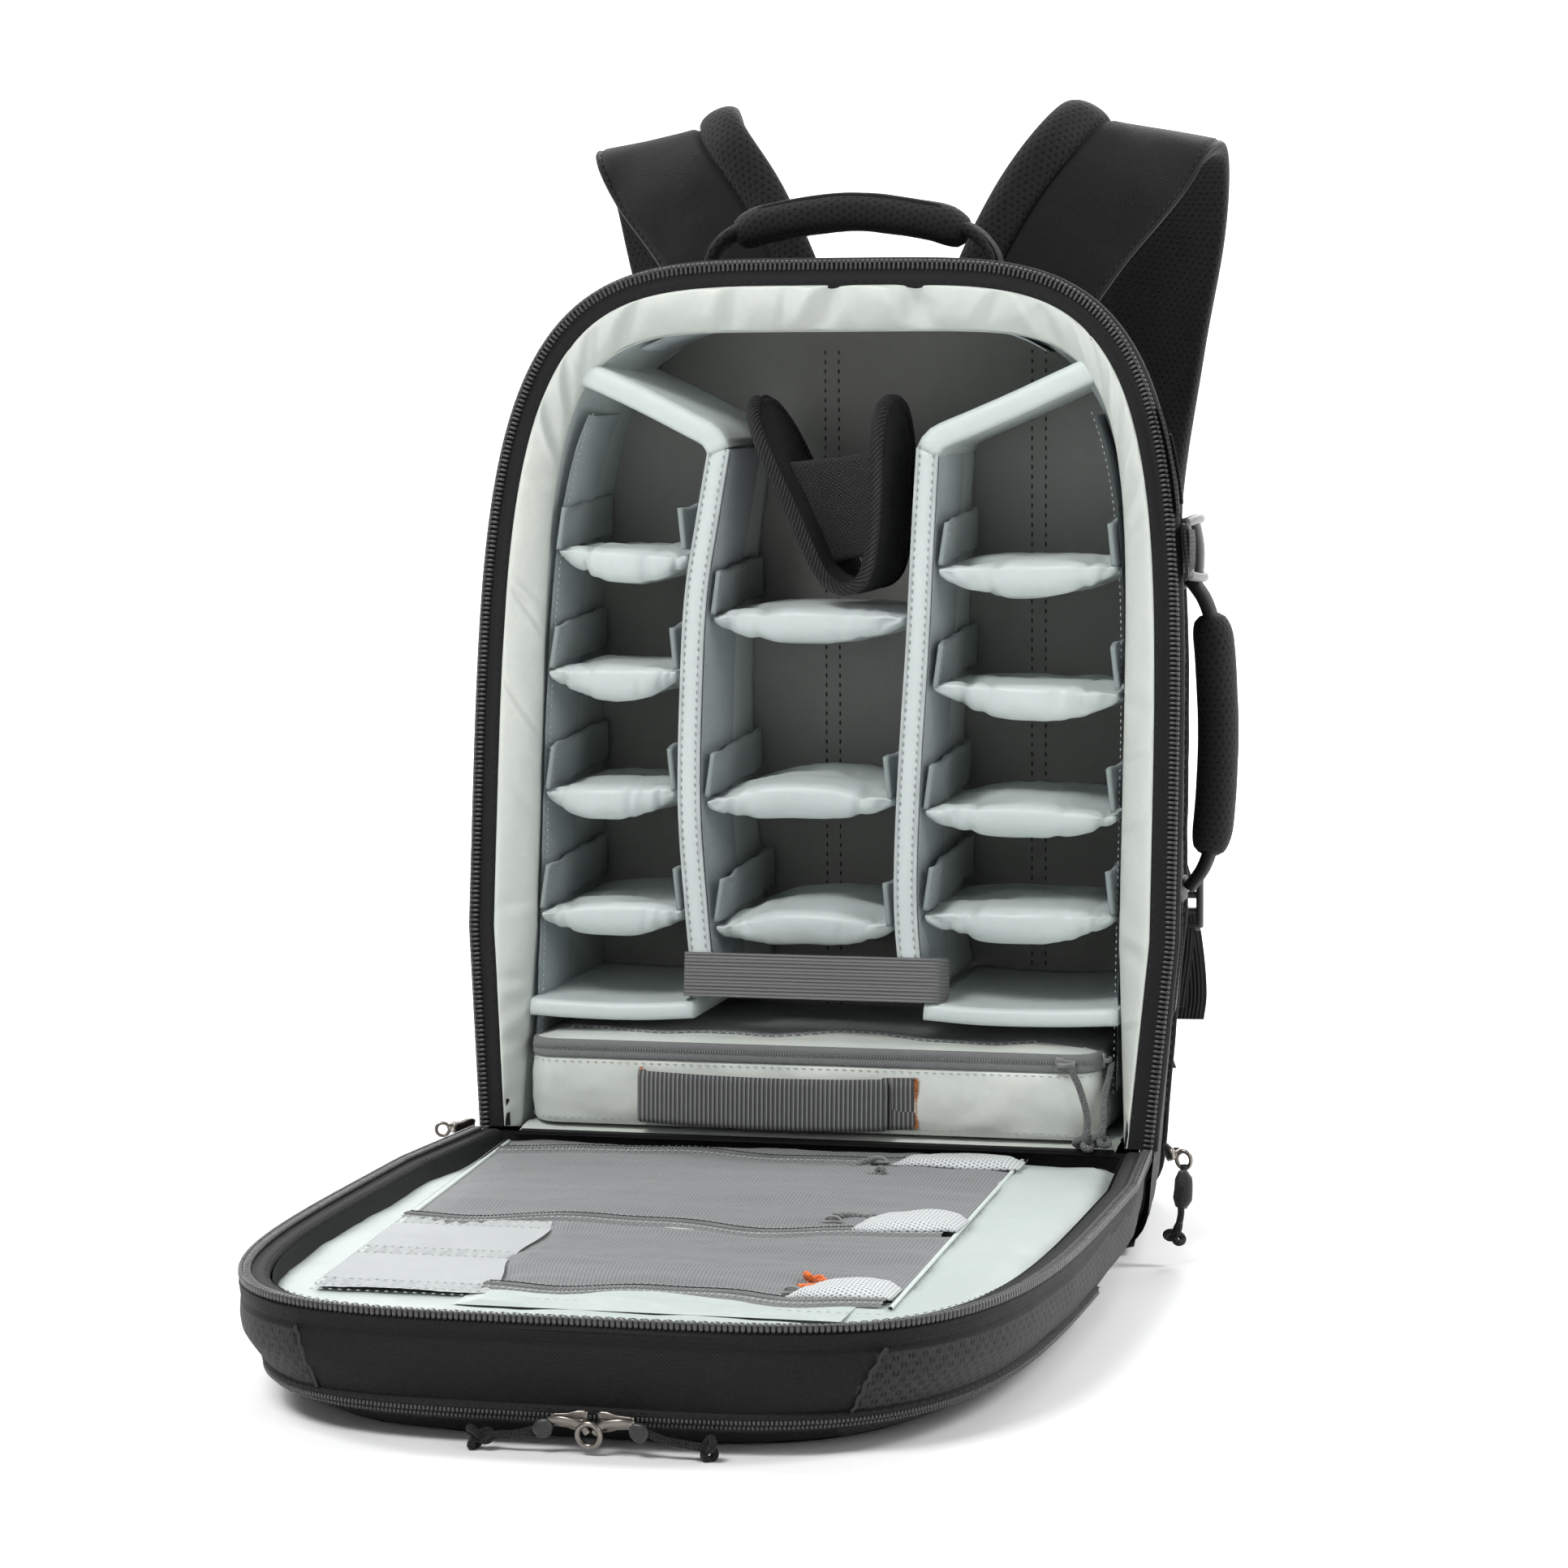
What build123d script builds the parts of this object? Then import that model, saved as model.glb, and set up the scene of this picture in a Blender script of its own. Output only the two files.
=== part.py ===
from build123d import *
import math, os

os.makedirs("parts", exist_ok=True)

# ---------------------------------------------------------------- driving dimensions (mm)
LEAN = 7.311          # the opening leans back from the vertical by this angle, degrees
HINGE_Y = -84.0       # front face of the bag at the fabric hinge
HINGE_Z = 50.0        # height of the fabric hinge
RIM_W0 = 159.63       # half width of the opening at the hinge
RIM_W = 168.0         # half width of the opening at its widest
RIM_HS = 97.85        # height up the opening where the arch starts
RIM_H = 416.9         # height of the opening
RIM_N = 4.521         # squareness of the arch
BACK_Y = 84.0         # outer face of the back
LINING_BACK_Y = 64.0  # inner face of the compartment's back
WALL_IN = -22.0       # inner face of the padded walls, from the opening's line
LIP_IN = -27.0        # inner edge of the padded lip
LID_D = 50.0          # depth of the lid
PAD_T = 9.0           # thickness of a divider pad
WEB = 25.0            # webbing width
CORD_D = 3.2          # cord of the zip pulls

SL, CL = math.sin(math.radians(LEAN)), math.cos(math.radians(LEAN))


def P(x, s, n):
    """point on the opening's plane: x across, s up the plane, n out of the bag"""
    return (x, HINGE_Y + s * SL - n * CL, HINGE_Z + s * CL + n * SL)


RIM = Plane(origin=(0, HINGE_Y, HINGE_Z), x_dir=(1, 0, 0), z_dir=(0, -CL, SL))


def yfront(z, n):
    """y of the plane n in front of the opening, at height z"""
    s = (z - HINGE_Z - n * SL) / CL
    return HINGE_Y + s * SL - n * CL


# ---------------------------------------------------------------- helpers
def half(off, W=RIM_W, W0=RIM_W0, HS=RIM_HS, H=RIM_H, N=RIM_N, s0=0.0, k=12):
    """right half of the opening's outline moved by off, from s0 up to the top centre"""
    base = []
    for i in range(4):
        s = s0 + (HS - s0) * i / 4
        base.append((W0 + (W - W0) * max(s, 0) / HS, s))
    for i in range(k + 1):
        t = math.pi / 2 * (i / k)
        base.append((W * max(math.cos(t), 0) ** (2 / N), HS + (H - HS) * math.sin(t) ** (2 / N)))
    base[-1] = (0.0, H)
    # even spacing along the arch
    arch = base[3:]
    fine = []
    for i in range(400):
        t = math.pi / 2 * i / 399
        fine.append((W * max(math.cos(t), 0) ** (2 / N), HS + (H - HS) * math.sin(t) ** (2 / N)))
    ln = [0.0]
    for a, b in zip(fine, fine[1:]):
        ln.append(ln[-1] + math.dist(a, b))
    m = 16
    pts = base[:4]
    j = 0
    for i in range(m + 1):
        want = ln[-1] * i / m
        while j < len(ln) - 1 and ln[j] < want:
            j += 1
        pts.append(fine[j])
    out = []
    for i, p in enumerate(pts):
        a = pts[max(i - 1, 0)]
        b = pts[min(i + 1, len(pts) - 1)]
        tx, ts = b[0] - a[0], b[1] - a[1]
        if i == len(pts) - 1:
            nx, ns = 0.0, 1.0
        elif i == 0:
            nx, ns = 1.0, 0.0
        else:
            d = math.hypot(tx, ts)
            nx, ns = ts / d, -tx / d
        out.append((p[0] + off * nx, p[1] + off * ns))
    out[-1] = (0.0, H + off)
    return out


def closed(h):
    """a full outline from its right half"""
    return h + [(-x, s) for x, s in reversed(h[:-1])]


def body_poly(off, zb, rc, narrow=0.0):
    """the body's outline in x and z: arch above, flat base below with rounded corners"""
    h = [(x - narrow, HINGE_Z + s * CL) if i < len(half(off)) - 1 else (0.0, HINGE_Z + s * CL)
         for i, (x, s) in enumerate(half(off))]
    xb = h[0][0] - (HINGE_Z - zb) * 0.08
    cor = [(xb - rc + rc * math.cos(a), zb + rc + rc * math.sin(a))
           for a in [math.radians(-90 + 90 * i / 5) for i in range(6)]]
    return closed(cor + h)


def face_y(pts, y):
    return Wire.make_polygon([Vector(x, y, z) for x, z in pts], close=True)


def prism_y(pts, y0, y1, hole=None):
    f = Face(face_y(pts, y0), [face_y(hole, y0)] if hole else [])
    return extrude(f, amount=y1 - y0, dir=(0, 1, 0))


def prism_x(pts, x0, x1):
    """outline in y and z, swept across the bag"""
    f = Face(Wire.make_polygon([Vector(x0, y, z) for y, z in pts], close=True))
    return extrude(f, amount=x1 - x0, dir=(1, 0, 0))


def prism_rim(pts, n0, n1, hole=None):
    """outline in x and s, from n0 to n1"""
    f = Face(Wire.make_polygon([Vector(*P(x, s, n0)) for x, s in pts], close=True),
             [Wire.make_polygon([Vector(*P(x, s, n0)) for x, s in hole], close=True)] if hole else [])
    return extrude(f, amount=n1 - n0, dir=(0, -CL, SL))


def prism_lid(pts, d0, d1, hole=None):
    """outline in x and t on the open lid, from depth d0 to d1"""
    f = Face(Wire.make_polygon([Vector(x, HINGE_Y - t, HINGE_Z - d0) for x, t in pts], close=True),
             [Wire.make_polygon([Vector(x, HINGE_Y - t, HINGE_Z - d0) for x, t in hole], close=True)] if hole else [])
    return extrude(f, amount=d1 - d0, dir=(0, 0, -1))


def box(x0, x1, y0, y1, z0, z1):
    return Pos((x0 + x1) / 2, (y0 + y1) / 2, (z0 + z1) / 2) * Box(abs(x1 - x0), abs(y1 - y0), abs(z1 - z0))


def rbox(x0, x1, s0, s1, n0, n1):
    return RIM * Pos((x0 + x1) / 2, (s0 + s1) / 2, (n0 + n1) / 2) * Box(abs(x1 - x0), abs(s1 - s0), abs(n1 - n0))


def behind(shape, n):
    """the part of a shape behind the plane n"""
    return shape & (RIM * Pos(0, 0, n - 600) * Box(1600, 1600, 1200))


def solids(shape):
    if isinstance(shape, (list, tuple)):
        out = []
        for s in shape:
            out += solids(s)
        return out
    return list(shape.solids())


def save(name, shape):
    ss = solids(shape)
    obj = ss[0] if len(ss) == 1 else Compound(ss)
    export_step(obj, "parts/%s.step" % name)


def strip(path, thick):
    """closed outline of a bent strip from its centre line, in the path's own plane"""
    L, R = [], []
    for i, p in enumerate(path):
        a = path[max(i - 1, 0)]
        b = path[min(i + 1, len(path) - 1)]
        dx, dz = b[0] - a[0], b[1] - a[1]
        d = math.hypot(dx, dz)
        nx, nz = -dz / d * thick / 2, dx / d * thick / 2
        L.append((p[0] + nx, p[1] + nz))
        R.append((p[0] - nx, p[1] - nz))
    return L + R[::-1]


def frustum(rings):
    """ruled solid through closed outlines with equal numbers of points"""
    return Solid.make_loft([Wire.make_polygon([Vector(*p) for p in r], close=True) for r in rings], ruled=True)


# ================================================================ body shell
def inner_half(g=0.0, s0=0.0):
    """right half of the compartment's inner outline, g inside it"""
    return half(-g, 146.0, 146.0, 98.0, RIM_H - 22.0, 4.3, s0=s0)


def inner_poly(g, zb):
    h = [(x, HINGE_Z + s * CL) for x, s in inner_half(g)]
    return closed([(h[0][0], zb)] + h)


def lip_half(g=0.0, s0=0.0):
    return half(-g, 141.0, 147.0, 98.0, RIM_H - 27.0, 4.3, s0=s0)


def sections(off_f, off_b, zb, y):
    """body outline at depth y: straight lines from the opening's plane to the back"""
    a = body_poly(off_f, zb, 20.0 - zb)
    b = body_poly(off_b, zb, 20.0 - zb)
    out = []
    for (xf, zf), (xb, zb_) in zip(a, b):
        s = max((zf - HINGE_Z) / CL, 0.0)
        yf = HINGE_Y + s * SL
        f = (y - yf) / (BACK_Y - yf)
        out.append((xf + (xb - xf) * f, y, zf + (zb_ - zf) * f))
    return out


YF = -100.0
outer = frustum([sections(6.0, -14.0, -0.5, YF), sections(6.0, -14.0, -0.5, BACK_Y)]) & box(-400, 400, -400, 400, 0, 900)
skin_in = frustum([sections(3.0, -17.0, 3.0, YF - 1), sections(3.0, -17.0, 3.0, BACK_Y + 1)])
core = frustum([sections(2.7, -17.3, 3.3, YF), sections(2.7, -17.3, 3.3, BACK_Y)])
front_cut = box(-400, 400, -83.0, 400, -10, 600)          # nothing of the body stands in front of the hinge
skin = behind(outer - skin_in, -2.8) & front_cut
shell = skin & box(-400, 400, -400, BACK_Y, 30.0, 600)
save("outer_shell", shell)
save("base_panel", (skin & box(-400, 400, -400, BACK_Y, -10, 29.7)))

core_b = behind(core, -2.8) & front_cut
# thick padded base under the compartment floor, closing the front below the hinge
save("base_padding", core_b & box(-400, 400, -83.0, 79.0, 3.3, 45.5))

# padded walls: left, right, top and floor, behind the lip
tube = (behind(core, -19.0) & front_cut & box(-400, 400, -400, LINING_BACK_Y - 0.0, 46.0, 600))
hollow = prism_y(inner_poly(0.0, 46.0), -200, LINING_BACK_Y + 5)
wall = tube - hollow
walls = solids(wall & box(-400, -0.2, -400, 400, 50.3, 372.0)) + solids(wall & box(0.2, 400, -400, 400, 50.3, 372.0))
walls += solids(wall & box(-400, 400, -400, 400, 372.3, 600))
walls += solids(core_b & box(-136, 136, -78.0, LINING_BACK_Y, 45.9, 49.9))
save("padded_walls", walls)

# back of the compartment: lined stiff board, outer cover
bk = core_b & box(-400, 400, LINING_BACK_Y + 0.3, 79.0, 46.0, 600)
save("back_board", bk & box(-400, 400, LINING_BACK_Y + 0.3, 78.7, 46.0, 600))
save("back_cover", core & box(-400, 400, 79.3, BACK_Y, 3.3, 600))

# back pads against the wearer: two long side pads and a lumbar pad
pads = []
for sg in (-1, 1):
    pads.append(fillet(box(sg * 62 - 38, sg * 62 + 38, 84.3, 97.0, 170, 392).edges().filter_by(Axis.Z), 5))
pads.append(fillet(box(-105, 105, 84.3, 99.0, 55, 150).edges().filter_by(Axis.Z), 6))
save("back_pads", pads)

# padded lip all round the opening, and the half of the main zip on the body
lip = prism_rim(closed(half(-0.6)), -18.7, -2.8) - prism_rim(closed(lip_half(s0=-40.0)), -30, 10)
lip = lip & core & box(-400, 400, -83.0, 400, 50.4, 600)
save("rim_lip", lip)
lip_clear = prism_rim(closed(half(6.0, s0=-20.0)), -19.1, 5.0) - prism_rim(closed(lip_half(0.4, s0=-40.0)), -30, 20)
zip_body = prism_rim(closed(half(2.4)), -2.5, -0.5) - prism_rim(closed(half(-7.5, s0=-40.0)), -10, 10)
save("main_zip_body", zip_body)

room = prism_y(inner_poly(1.9, 46.0), -200, LINING_BACK_Y)


# ================================================================ dividers
def depth_prism(outline, nf, yb):
    """an outline in x and z swept in depth from nf behind the opening to yb"""
    body = behind(prism_y(outline, -120, yb), nf)
    return body - lip_clear


YB = LINING_BACK_Y - 1.0
NF = -10.5


def zz(s, n=-12.0):
    return HINGE_Z + s * CL + n * SL


# long dividers: slanted top wing, spine, foot; three pads joined by fabric folds
def long_divider(name, wing, spine, foot, t=10.0):
    parts = []
    for seg in (wing, spine, foot):
        pad = depth_prism(strip([(x, zz(s)) for x, s in seg], t), NF, YB)
        parts.append(max(solids(pad - wall), key=lambda q: q.volume))
    save(name, parts)


SPINE_L = [(-57.6, 327.0), (-62.0, 300.0), (-67.0, 262.0), (-68.3, 220.0), (-67.8, 160.0), (-63.0, 110.0), (-57.5, 68.0)]
SPINE_R = [(46.5, 327.0), (45.0, 290.0), (43.8, 240.0), (41.8, 190.0), (40.6, 140.0), (41.5, 105.0), (46.0, 70.0)]
long_divider("long_divider_left", [(-132.0, 371.5), (-95.0, 355.5), (-60.5, 338.6)], SPINE_L, [(-64.5, 59.0), (-144.0, 58.5)])
long_divider("long_divider_right", [(132.0, 374.0), (90.0, 354.5), (49.0, 338.0)], SPINE_R, [(53.0, 61.5), (144.0, 61.5)])


# short dividers: a pad with a hook tab standing at each end
def short_divider(x0, x1, s, sag=0.0, tabs=(True, True)):
    z0, z1 = zz(s) - PAD_T / 2, zz(s) + PAD_T / 2
    pts = [(x0, z0), (x1, z0), (x1, z1), (x0, z1)]
    if sag:
        k = 6
        lowr = [(x0 + (x1 - x0) * i / k, z0 + sag * math.sin(math.pi * i / k)) for i in range(k + 1)]
        upr = [(x0 + (x1 - x0) * i / k, z1 + sag * math.sin(math.pi * i / k)) for i in range(k + 1)]
        pts = lowr + upr[::-1]
    pad = depth_prism(pts, NF - 1.0, YB)
    for on, a, b in ((tabs[0], x0, x0 + 2.0), (tabs[1], x1 - 2.0, x1)):
        if on:
            pad = pad + depth_prism([(a, z1 - 0.5), (b, z1 - 0.5), (b, z1 + 20.0), (a, z1 + 20.0)], NF - 4.0, YB - 4.0)
    return solids(pad)


def room_x(s):
    """half width free between the padded walls at height s"""
    if s <= 98.0:
        return 145.5
    return 146.0 * (1 - ((s - 98.0) / (RIM_H - 120.0)) ** 4.3) ** (1 / 4.3) - 0.5


def at(path, s):
    for (x0, s0), (x1, s1) in zip(path, path[1:]):
        if min(s0, s1) <= s <= max(s0, s1):
            return x0 + (x1 - x0) * (s - s0) / (s1 - s0)


def clear_x(path, s, sg):
    """x just clear of a spine over the height of a divider and its tabs"""
    xs = [at(path, s + k) for k in (-6.0, 0.0, 8.0, 16.0, 27.0)]
    return (max(xs) if sg > 0 else min(xs)) + sg * 5.7


left_div, mid_div, right_div = [], [], []
for s in (281.0, 223.0, 164.0, 105.0):
    left_div += short_divider(-room_x(s + 29.0), clear_x(SPINE_L, s, -1), s)
for s, sag in ((250.0, 0.0), (161.0, 4.5), (100.0, 4.5)):
    mid_div += short_divider(clear_x(SPINE_L, s, 1), clear_x(SPINE_R, s, -1), s, sag)
for s in (275.0, 216.0, 157.0, 108.0):
    right_div += short_divider(clear_x(SPINE_R, s, 1), room_x(s + 29.0), s)
save("dividers_left", left_div)
save("dividers_middle", mid_div)
save("dividers_right", right_div)

# elastic band round the feet of the two spines
band = rbox(-68.6, 55.0, 72.0, 92.0, -9.9, -8.7) + rbox(53.8, 55.0, 72.0, 92.0, -40.0, -8.7) + rbox(-68.6, -67.4, 72.0, 92.0, -40.0, -8.7)
save("elastic_band", solids(band)[0] if len(solids(band)) == 1 else band)

# camera cradle: a padded sling bent to a narrow U that rests on the top middle divider
cr_c = [(-44.0, 354.0), (-31.0, 326.0), (-17.0, 296.0), (-6.0, 272.0), (2.0, 264.0), (10.0, 263.5), (17.0, 270.0),
        (21.0, 290.0), (22.5, 322.0), (22.0, 354.0)]
cradle = prism_y(strip([(x, zz(s)) for x, s in cr_c], 7.0), -36.0, 42.0)
web = prism_y([(-20.5, zz(317)), (17.5, zz(329)), (16.5, zz(290)), (-7.5, zz(290))], 2.0, 3.6)
save("cradle_sling", solids(cradle) + solids(web - cradle))

# ================================================================ accessory case on the compartment floor
CX0, CX1 = -143.5, 136.5
CY1 = LINING_BACK_Y - 3.0
zc0, zc1, zc2, zc3 = 50.4, 84.0, 92.0, 97.0


def case_slab(z0, z1, shrink=0.0):
    yf = yfront(z0, -9.0)
    b = box(CX0 + shrink, CX1 - shrink, yf + shrink, CY1 - shrink, z0, z1)
    return fillet(b.edges().filter_by(Axis.Z), 14.0)


save("case_body", case_slab(zc0, zc1))
save("case_top", case_slab(zc1 + 0.2, zc3, 1.0))
# grey webbing grab handle, lying against the front of the case
yc = yfront(zc0, -9.0)
hw = box(-82.0, 44.0, yc - 7.0, yc - 5.2, 54.5, 79.5)
save("case_handle", [hw, box(-88.0, -82.3, yc - 6.5, yc - 0.3, 54.5, 79.5), box(44.3, 50.0, yc - 6.5, yc - 0.3, 54.5, 79.5)])
# two zip sliders at the right end of the zip
save("case_slider_front", fillet(box(118.0, 127.0, yc - 3.6, yc - 0.2, zc1 + 1, zc2 - 1).edges().filter_by(Axis.Y), 1.2))
save("case_slider_side", fillet(box(136.2, 139.4, yc + 14, yc + 23, zc1 + 1, zc2 - 1).edges().filter_by(Axis.X), 1.2))


# ---------------------------------------------------------------- cords of the zip pulls
def cord(name, pts, d=CORD_D):
    """tube on straight runs joined by the largest tangent arcs"""
    v = [Vector(*p) for p in pts]
    radii = []
    for a, b, c in zip(v, v[1:], v[2:]):
        u, w = (b - a), (c - b)
        turn = math.radians(u.get_angle(w))
        radii.append(0.45 * min(u.length, w.length) / math.tan(turn / 2))
    print(name, "length %.1f" % sum((b - a).length for a, b in zip(v, v[1:])), "radii", ["%.1f" % r for r in radii])
    path = FilletPolyline(*v, radius=radii)
    pl = Plane(origin=v[0], z_dir=(v[1] - v[0]).normalized())
    tube = sweep(Sketch() + pl * Circle(d / 2), path=path)
    vol, want = tube.volume, math.pi * d * d / 4 * path.length
    print("   tube %.1f mm3, section times length %.1f" % (vol, want))
    save(name, tube)


cord("case_cord_front", [(124.6, yc - 5.4, 88.0), (128.6, yc - 7.4, 82.5), (131.4, yc - 7.9, 75.0), (133.6, yc - 7.6, 67.0),
                         (134.2, yc - 7.4, 59.0), (132.6, yc - 7.9, 52.9)])
cord("case_cord_side", [(141.4, yc + 17.0, 86.0), (141.2, yc + 12.0, 81.0), (140.6, yc + 5.0, 76.0), (140.6, yc - 1.0, 69.5),
                        (141.4, yc - 4.6, 62.0), (140.2, yc - 6.6, 54.4)])

# ================================================================ lid, open and lying on the floor
def lid_section(d, g=0.0, t0=4.0):
    """the lid's outline at depth d, g inside its outer face"""
    table = [(0.5, 173.0, 163.5, 422.5, 4.52), (20.0, 172.0, 160.5, 423.0, 4.45), (38.0, 162.0, 151.0, 421.0, 4.1),
             (50.0, 147.0, 138.0, 408.0, 3.8)]
    for a, b in zip(table, table[1:]):
        if d <= b[0]:
            f = (d - a[0]) / (b[0] - a[0])
            break
    W, W0, H, N = [a[i] + (b[i] - a[i]) * f for i in (1, 2, 3, 4)]
    return closed(half(0.0, W - g, W0 - g, RIM_HS, H - g, N, s0=t0 + g))


def lid_ring(d, g=0.0, t0=4.0):
    return [(x, HINGE_Y - t, HINGE_Z - d) for x, t in lid_section(d, g, t0)]


lid_out = frustum([lid_ring(d) for d in (2.8, 20.0, 38.0, 50.0)])
ztop_in = lid_section(2.8, 3.5)
cav = frustum([[(x, HINGE_Y - t, HINGE_Z + 2) for x, t in ztop_in]] + [lid_ring(d, 3.5) for d in (2.8, 20.0, 38.0, 46.5)])
padc = frustum([lid_ring(d, 3.9) for d in (9.0, 20.0, 38.0, 46.1)])


def wedge(lift):
    """space below the lid's sloping underside near the hinge"""
    z1, z0 = HINGE_Z - 13.0 + lift, lift
    return prism_x([(HINGE_Y + 30, z1 + 13.0 * 30 / 225), (HINGE_Y - 4, z1 + 0.0), (HINGE_Y - 229, z0), (HINGE_Y - 229, -60), (HINGE_Y + 30, -60)], -400, 400)


cav_w = cav - wedge(3.5)
pad_w = padc - wedge(3.9)
lid_all = (lid_out - wedge(0.0)) - cav_w
save("lid_shell", lid_all & box(-400, 400, -900, 0, HINGE_Z - 38.0, 100))
# the pocket's underside stands a hair off the floor, so that the body's base alone bears the bag
save("front_pocket", (lid_all & box(-400, 400, -900, 0, -10, HINGE_Z - 38.3)) - box(-400, 400, -900, -80, -10, 0.2))
save("lid_padding", pad_w)
zl = prism_lid(closed(half(2.4, s0=4.0)), 0.5, 2.5) - prism_lid(closed(half(-7.5, s0=-40.0)), -5.0, 12.0)
save("main_zip_lid", zl)
# second zip round the front pocket: a thin band standing on the outside of the lid's wall
zip_band = frustum([[(x, HINGE_Y - t, HINGE_Z - d) for x, t in lid_section(d, -2.2, 40)] for d in (34.0, 38.0, 42.0)])
zip_hole = frustum([[(x, HINGE_Y - t, HINGE_Z - d) for x, t in lid_section(min(max(d, 20.0), 50.0), -0.5, 40)] for d in (33.9, 38.0, 42.1)])
fzip = (zip_band - zip_hole) & box(-400, 400, -900, HINGE_Y - 150, 0, 60)
save("front_pocket_zip", fzip)

# mesh pockets and organiser patch on the lid's lining
DP0, DP1 = 7.2, 8.7
save("lid_pocket_near", prism_lid([(-141, 33), (112, 33), (107, 178), (-137, 178)], DP0, DP1))
save("lid_pocket_middle", prism_lid([(-70, 181), (106, 181), (101, 328), (-60, 328)], DP0, DP1))
save("lid_pocket_far", prism_lid([(-60, 331), (101, 331), (95, 372), (-60, 372)], DP0, DP1))
save("lid_organiser", prism_lid([(-136, 181), (-73, 181), (-63, 372), (-120, 372), (-130, 300)], DP0, DP1))


def lbox(x0, x1, t0, t1, d0, d1):
    return box(x0, x1, HINGE_Y - t1, HINGE_Y - t0, HINGE_Z - d1, HINGE_Z - d0)


def lpt(x, t, d):
    return (x, HINGE_Y - t, HINGE_Z - d)


# sliders of the three pockets, with cord pulls lying on the mesh
save("pocket_slider_near", fillet(lbox(36, 45, 28.5, 34.5, 4.4, 6.9).edges().filter_by(Axis.Z), 1.2))
cord("pocket_cord_near", [lpt(38.5, 34.0, 2.75), lpt(34.0, 41.0, 3.2), lpt(31.6, 49.5, 4.6), lpt(34.2, 58.0, 5.3), lpt(40.4, 63.6, 5.3), lpt(46.8, 62.6, 5.3)], 2.8)
save("pocket_slider_middle", fillet(lbox(48, 57, 176.5, 182.5, 4.4, 6.9).edges().filter_by(Axis.Z), 1.2))
cord("pocket_cord_middle", [lpt(52.5, 177.0, 2.75), lpt(55.5, 171.0, 3.2), lpt(60.5, 165.5, 4.6), lpt(67.5, 164.5, 5.3), lpt(72.5, 169.5, 5.3), lpt(71.5, 176.5, 5.3)], 2.8)
save("pocket_slider_far", fillet(lbox(66, 75, 326.5, 332.5, 4.4, 6.9).edges().filter_by(Axis.Z), 1.2))
cord("pocket_cord_far", [lpt(72.0, 327.0, 2.75), lpt(77.5, 321.5, 3.2), lpt(83.0, 316.0, 4.6), lpt(84.5, 308.0, 5.3), lpt(79.5, 302.5, 5.3), lpt(72.5, 303.5, 5.3)], 2.8)

# two sliders back to back on the front pocket zip, each with its cord pull
YZP = HINGE_Y - 424.2
save("front_slider_left", fillet(box(-2.0, 14.0, YZP - 6.5, YZP - 0.6, 8.0, 17.0).edges().filter_by(Axis.Y), 2.5))
save("front_slider_right", fillet(box(14.6, 30.6, YZP - 6.5, YZP - 0.6, 8.0, 17.0).edges().filter_by(Axis.Y), 2.5))
cord("front_cord_left", [(-2.7, YZP - 4.0, 10.5), (-8.5, YZP - 5.2, 8.6), (-16.0, YZP - 5.6, 6.3), (-24.0, YZP - 4.6, 5.5), (-31.5, YZP - 5.6, 4.6)])
cord("front_cord_right", [(31.3, YZP - 4.0, 10.5), (37.0, YZP - 5.2, 9.0), (44.5, YZP - 5.6, 6.6), (52.5, YZP - 4.4, 5.4), (60.0, YZP - 4.8, 4.4)])

# fabric hinge between the body and the lid
save("hinge_gusset", Pos(0, HINGE_Y, HINGE_Z - 1.5) * Rot(0, 90, 0) * Cylinder(0.9, 284.0))

# sliders of the main zip, parked at the ends of the hinge, each with a moulded pull
sl_l = fillet(box(-171.0, -161.0, -83.0, -71.5, 50.6, 55.6).edges().filter_by(Axis.Z), 2.2)
sl_r = fillet(box(161.0, 171.0, -83.0, -71.5, 50.6, 55.6).edges().filter_by(Axis.Z), 2.2)
save("main_sliders", [Pos(-14.5, -9, -4) * sl_l, Pos(14.5, -9, -4) * sl_r])
cord("main_cord_right", [(181.5, -93.0, 45.5), (182.2, -95.5, 38.0), (180.6, -98.5, 30.0), (181.8, -100.0, 22.0), (179.0, -101.0, 14.0)])

# ================================================================ handles
# top handle: padded grip on a webbing bridge
HY = 12.0
gp = ThreePointArc((-56, HY, 483.5), (0, HY, 493.5), (56, HY, 483.5))
t0 = gp % 0
grip = sweep(Plane(origin=gp @ 0, z_dir=t0) * Circle(9.5), path=gp)
save("top_handle_grip", grip)
hwb = []
for sg in (-1, 1):
    w = prism_y([(sg * 58.6, 488.0), (sg * 59.0, 480.0), (sg * 67.5, 470.0), (sg * 71.5, 470.0), (sg * 66.0, 482.0)], HY - 11, HY + 11)
    w = w + prism_y([(sg * 67.5, 470.0), (sg * 68.5, 463.3), (sg * 72.0, 463.3), (sg * 71.5, 470.0)], HY - 5, HY + 5)
    hwb += solids(w)
save("top_handle_webbing", hwb)
# side handle on the right wall
SHX, SHY = 181.5, 2.0
gs = ThreePointArc((SHX - 3.0, SHY, 184.0), (SHX + 2.0, SHY, 240.0), (SHX - 3.0, SHY, 296.0))
sgrip = sweep(Plane(origin=gs @ 0, z_dir=gs % 0) * Circle(9.5), path=gs)
save("side_handle_grip", sgrip)
sw = []
for z0, z1, z2 in ((299.0, 306.0, 313.0), (181.0, 174.0, 167.0)):
    lo_, hi_ = min(z0, z1), max(z0, z1)
    w = prism_y([(SHX - 8.5, z0), (SHX + 2.0, z0), (SHX - 2.5, z1), (SHX - 8.0, z2), (SHX - 11.5, z2), (SHX - 11.0, z1)], SHY - 11, SHY + 11)
    sw += solids(w)
sw2 = [s for s in solids([w_ - outer for w_ in sw]) if s.volume > 50]
save("side_handle_webbing", sw2)

# side compression strap with a side-release buckle, and the grey webbing down the side
ob = outer


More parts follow.
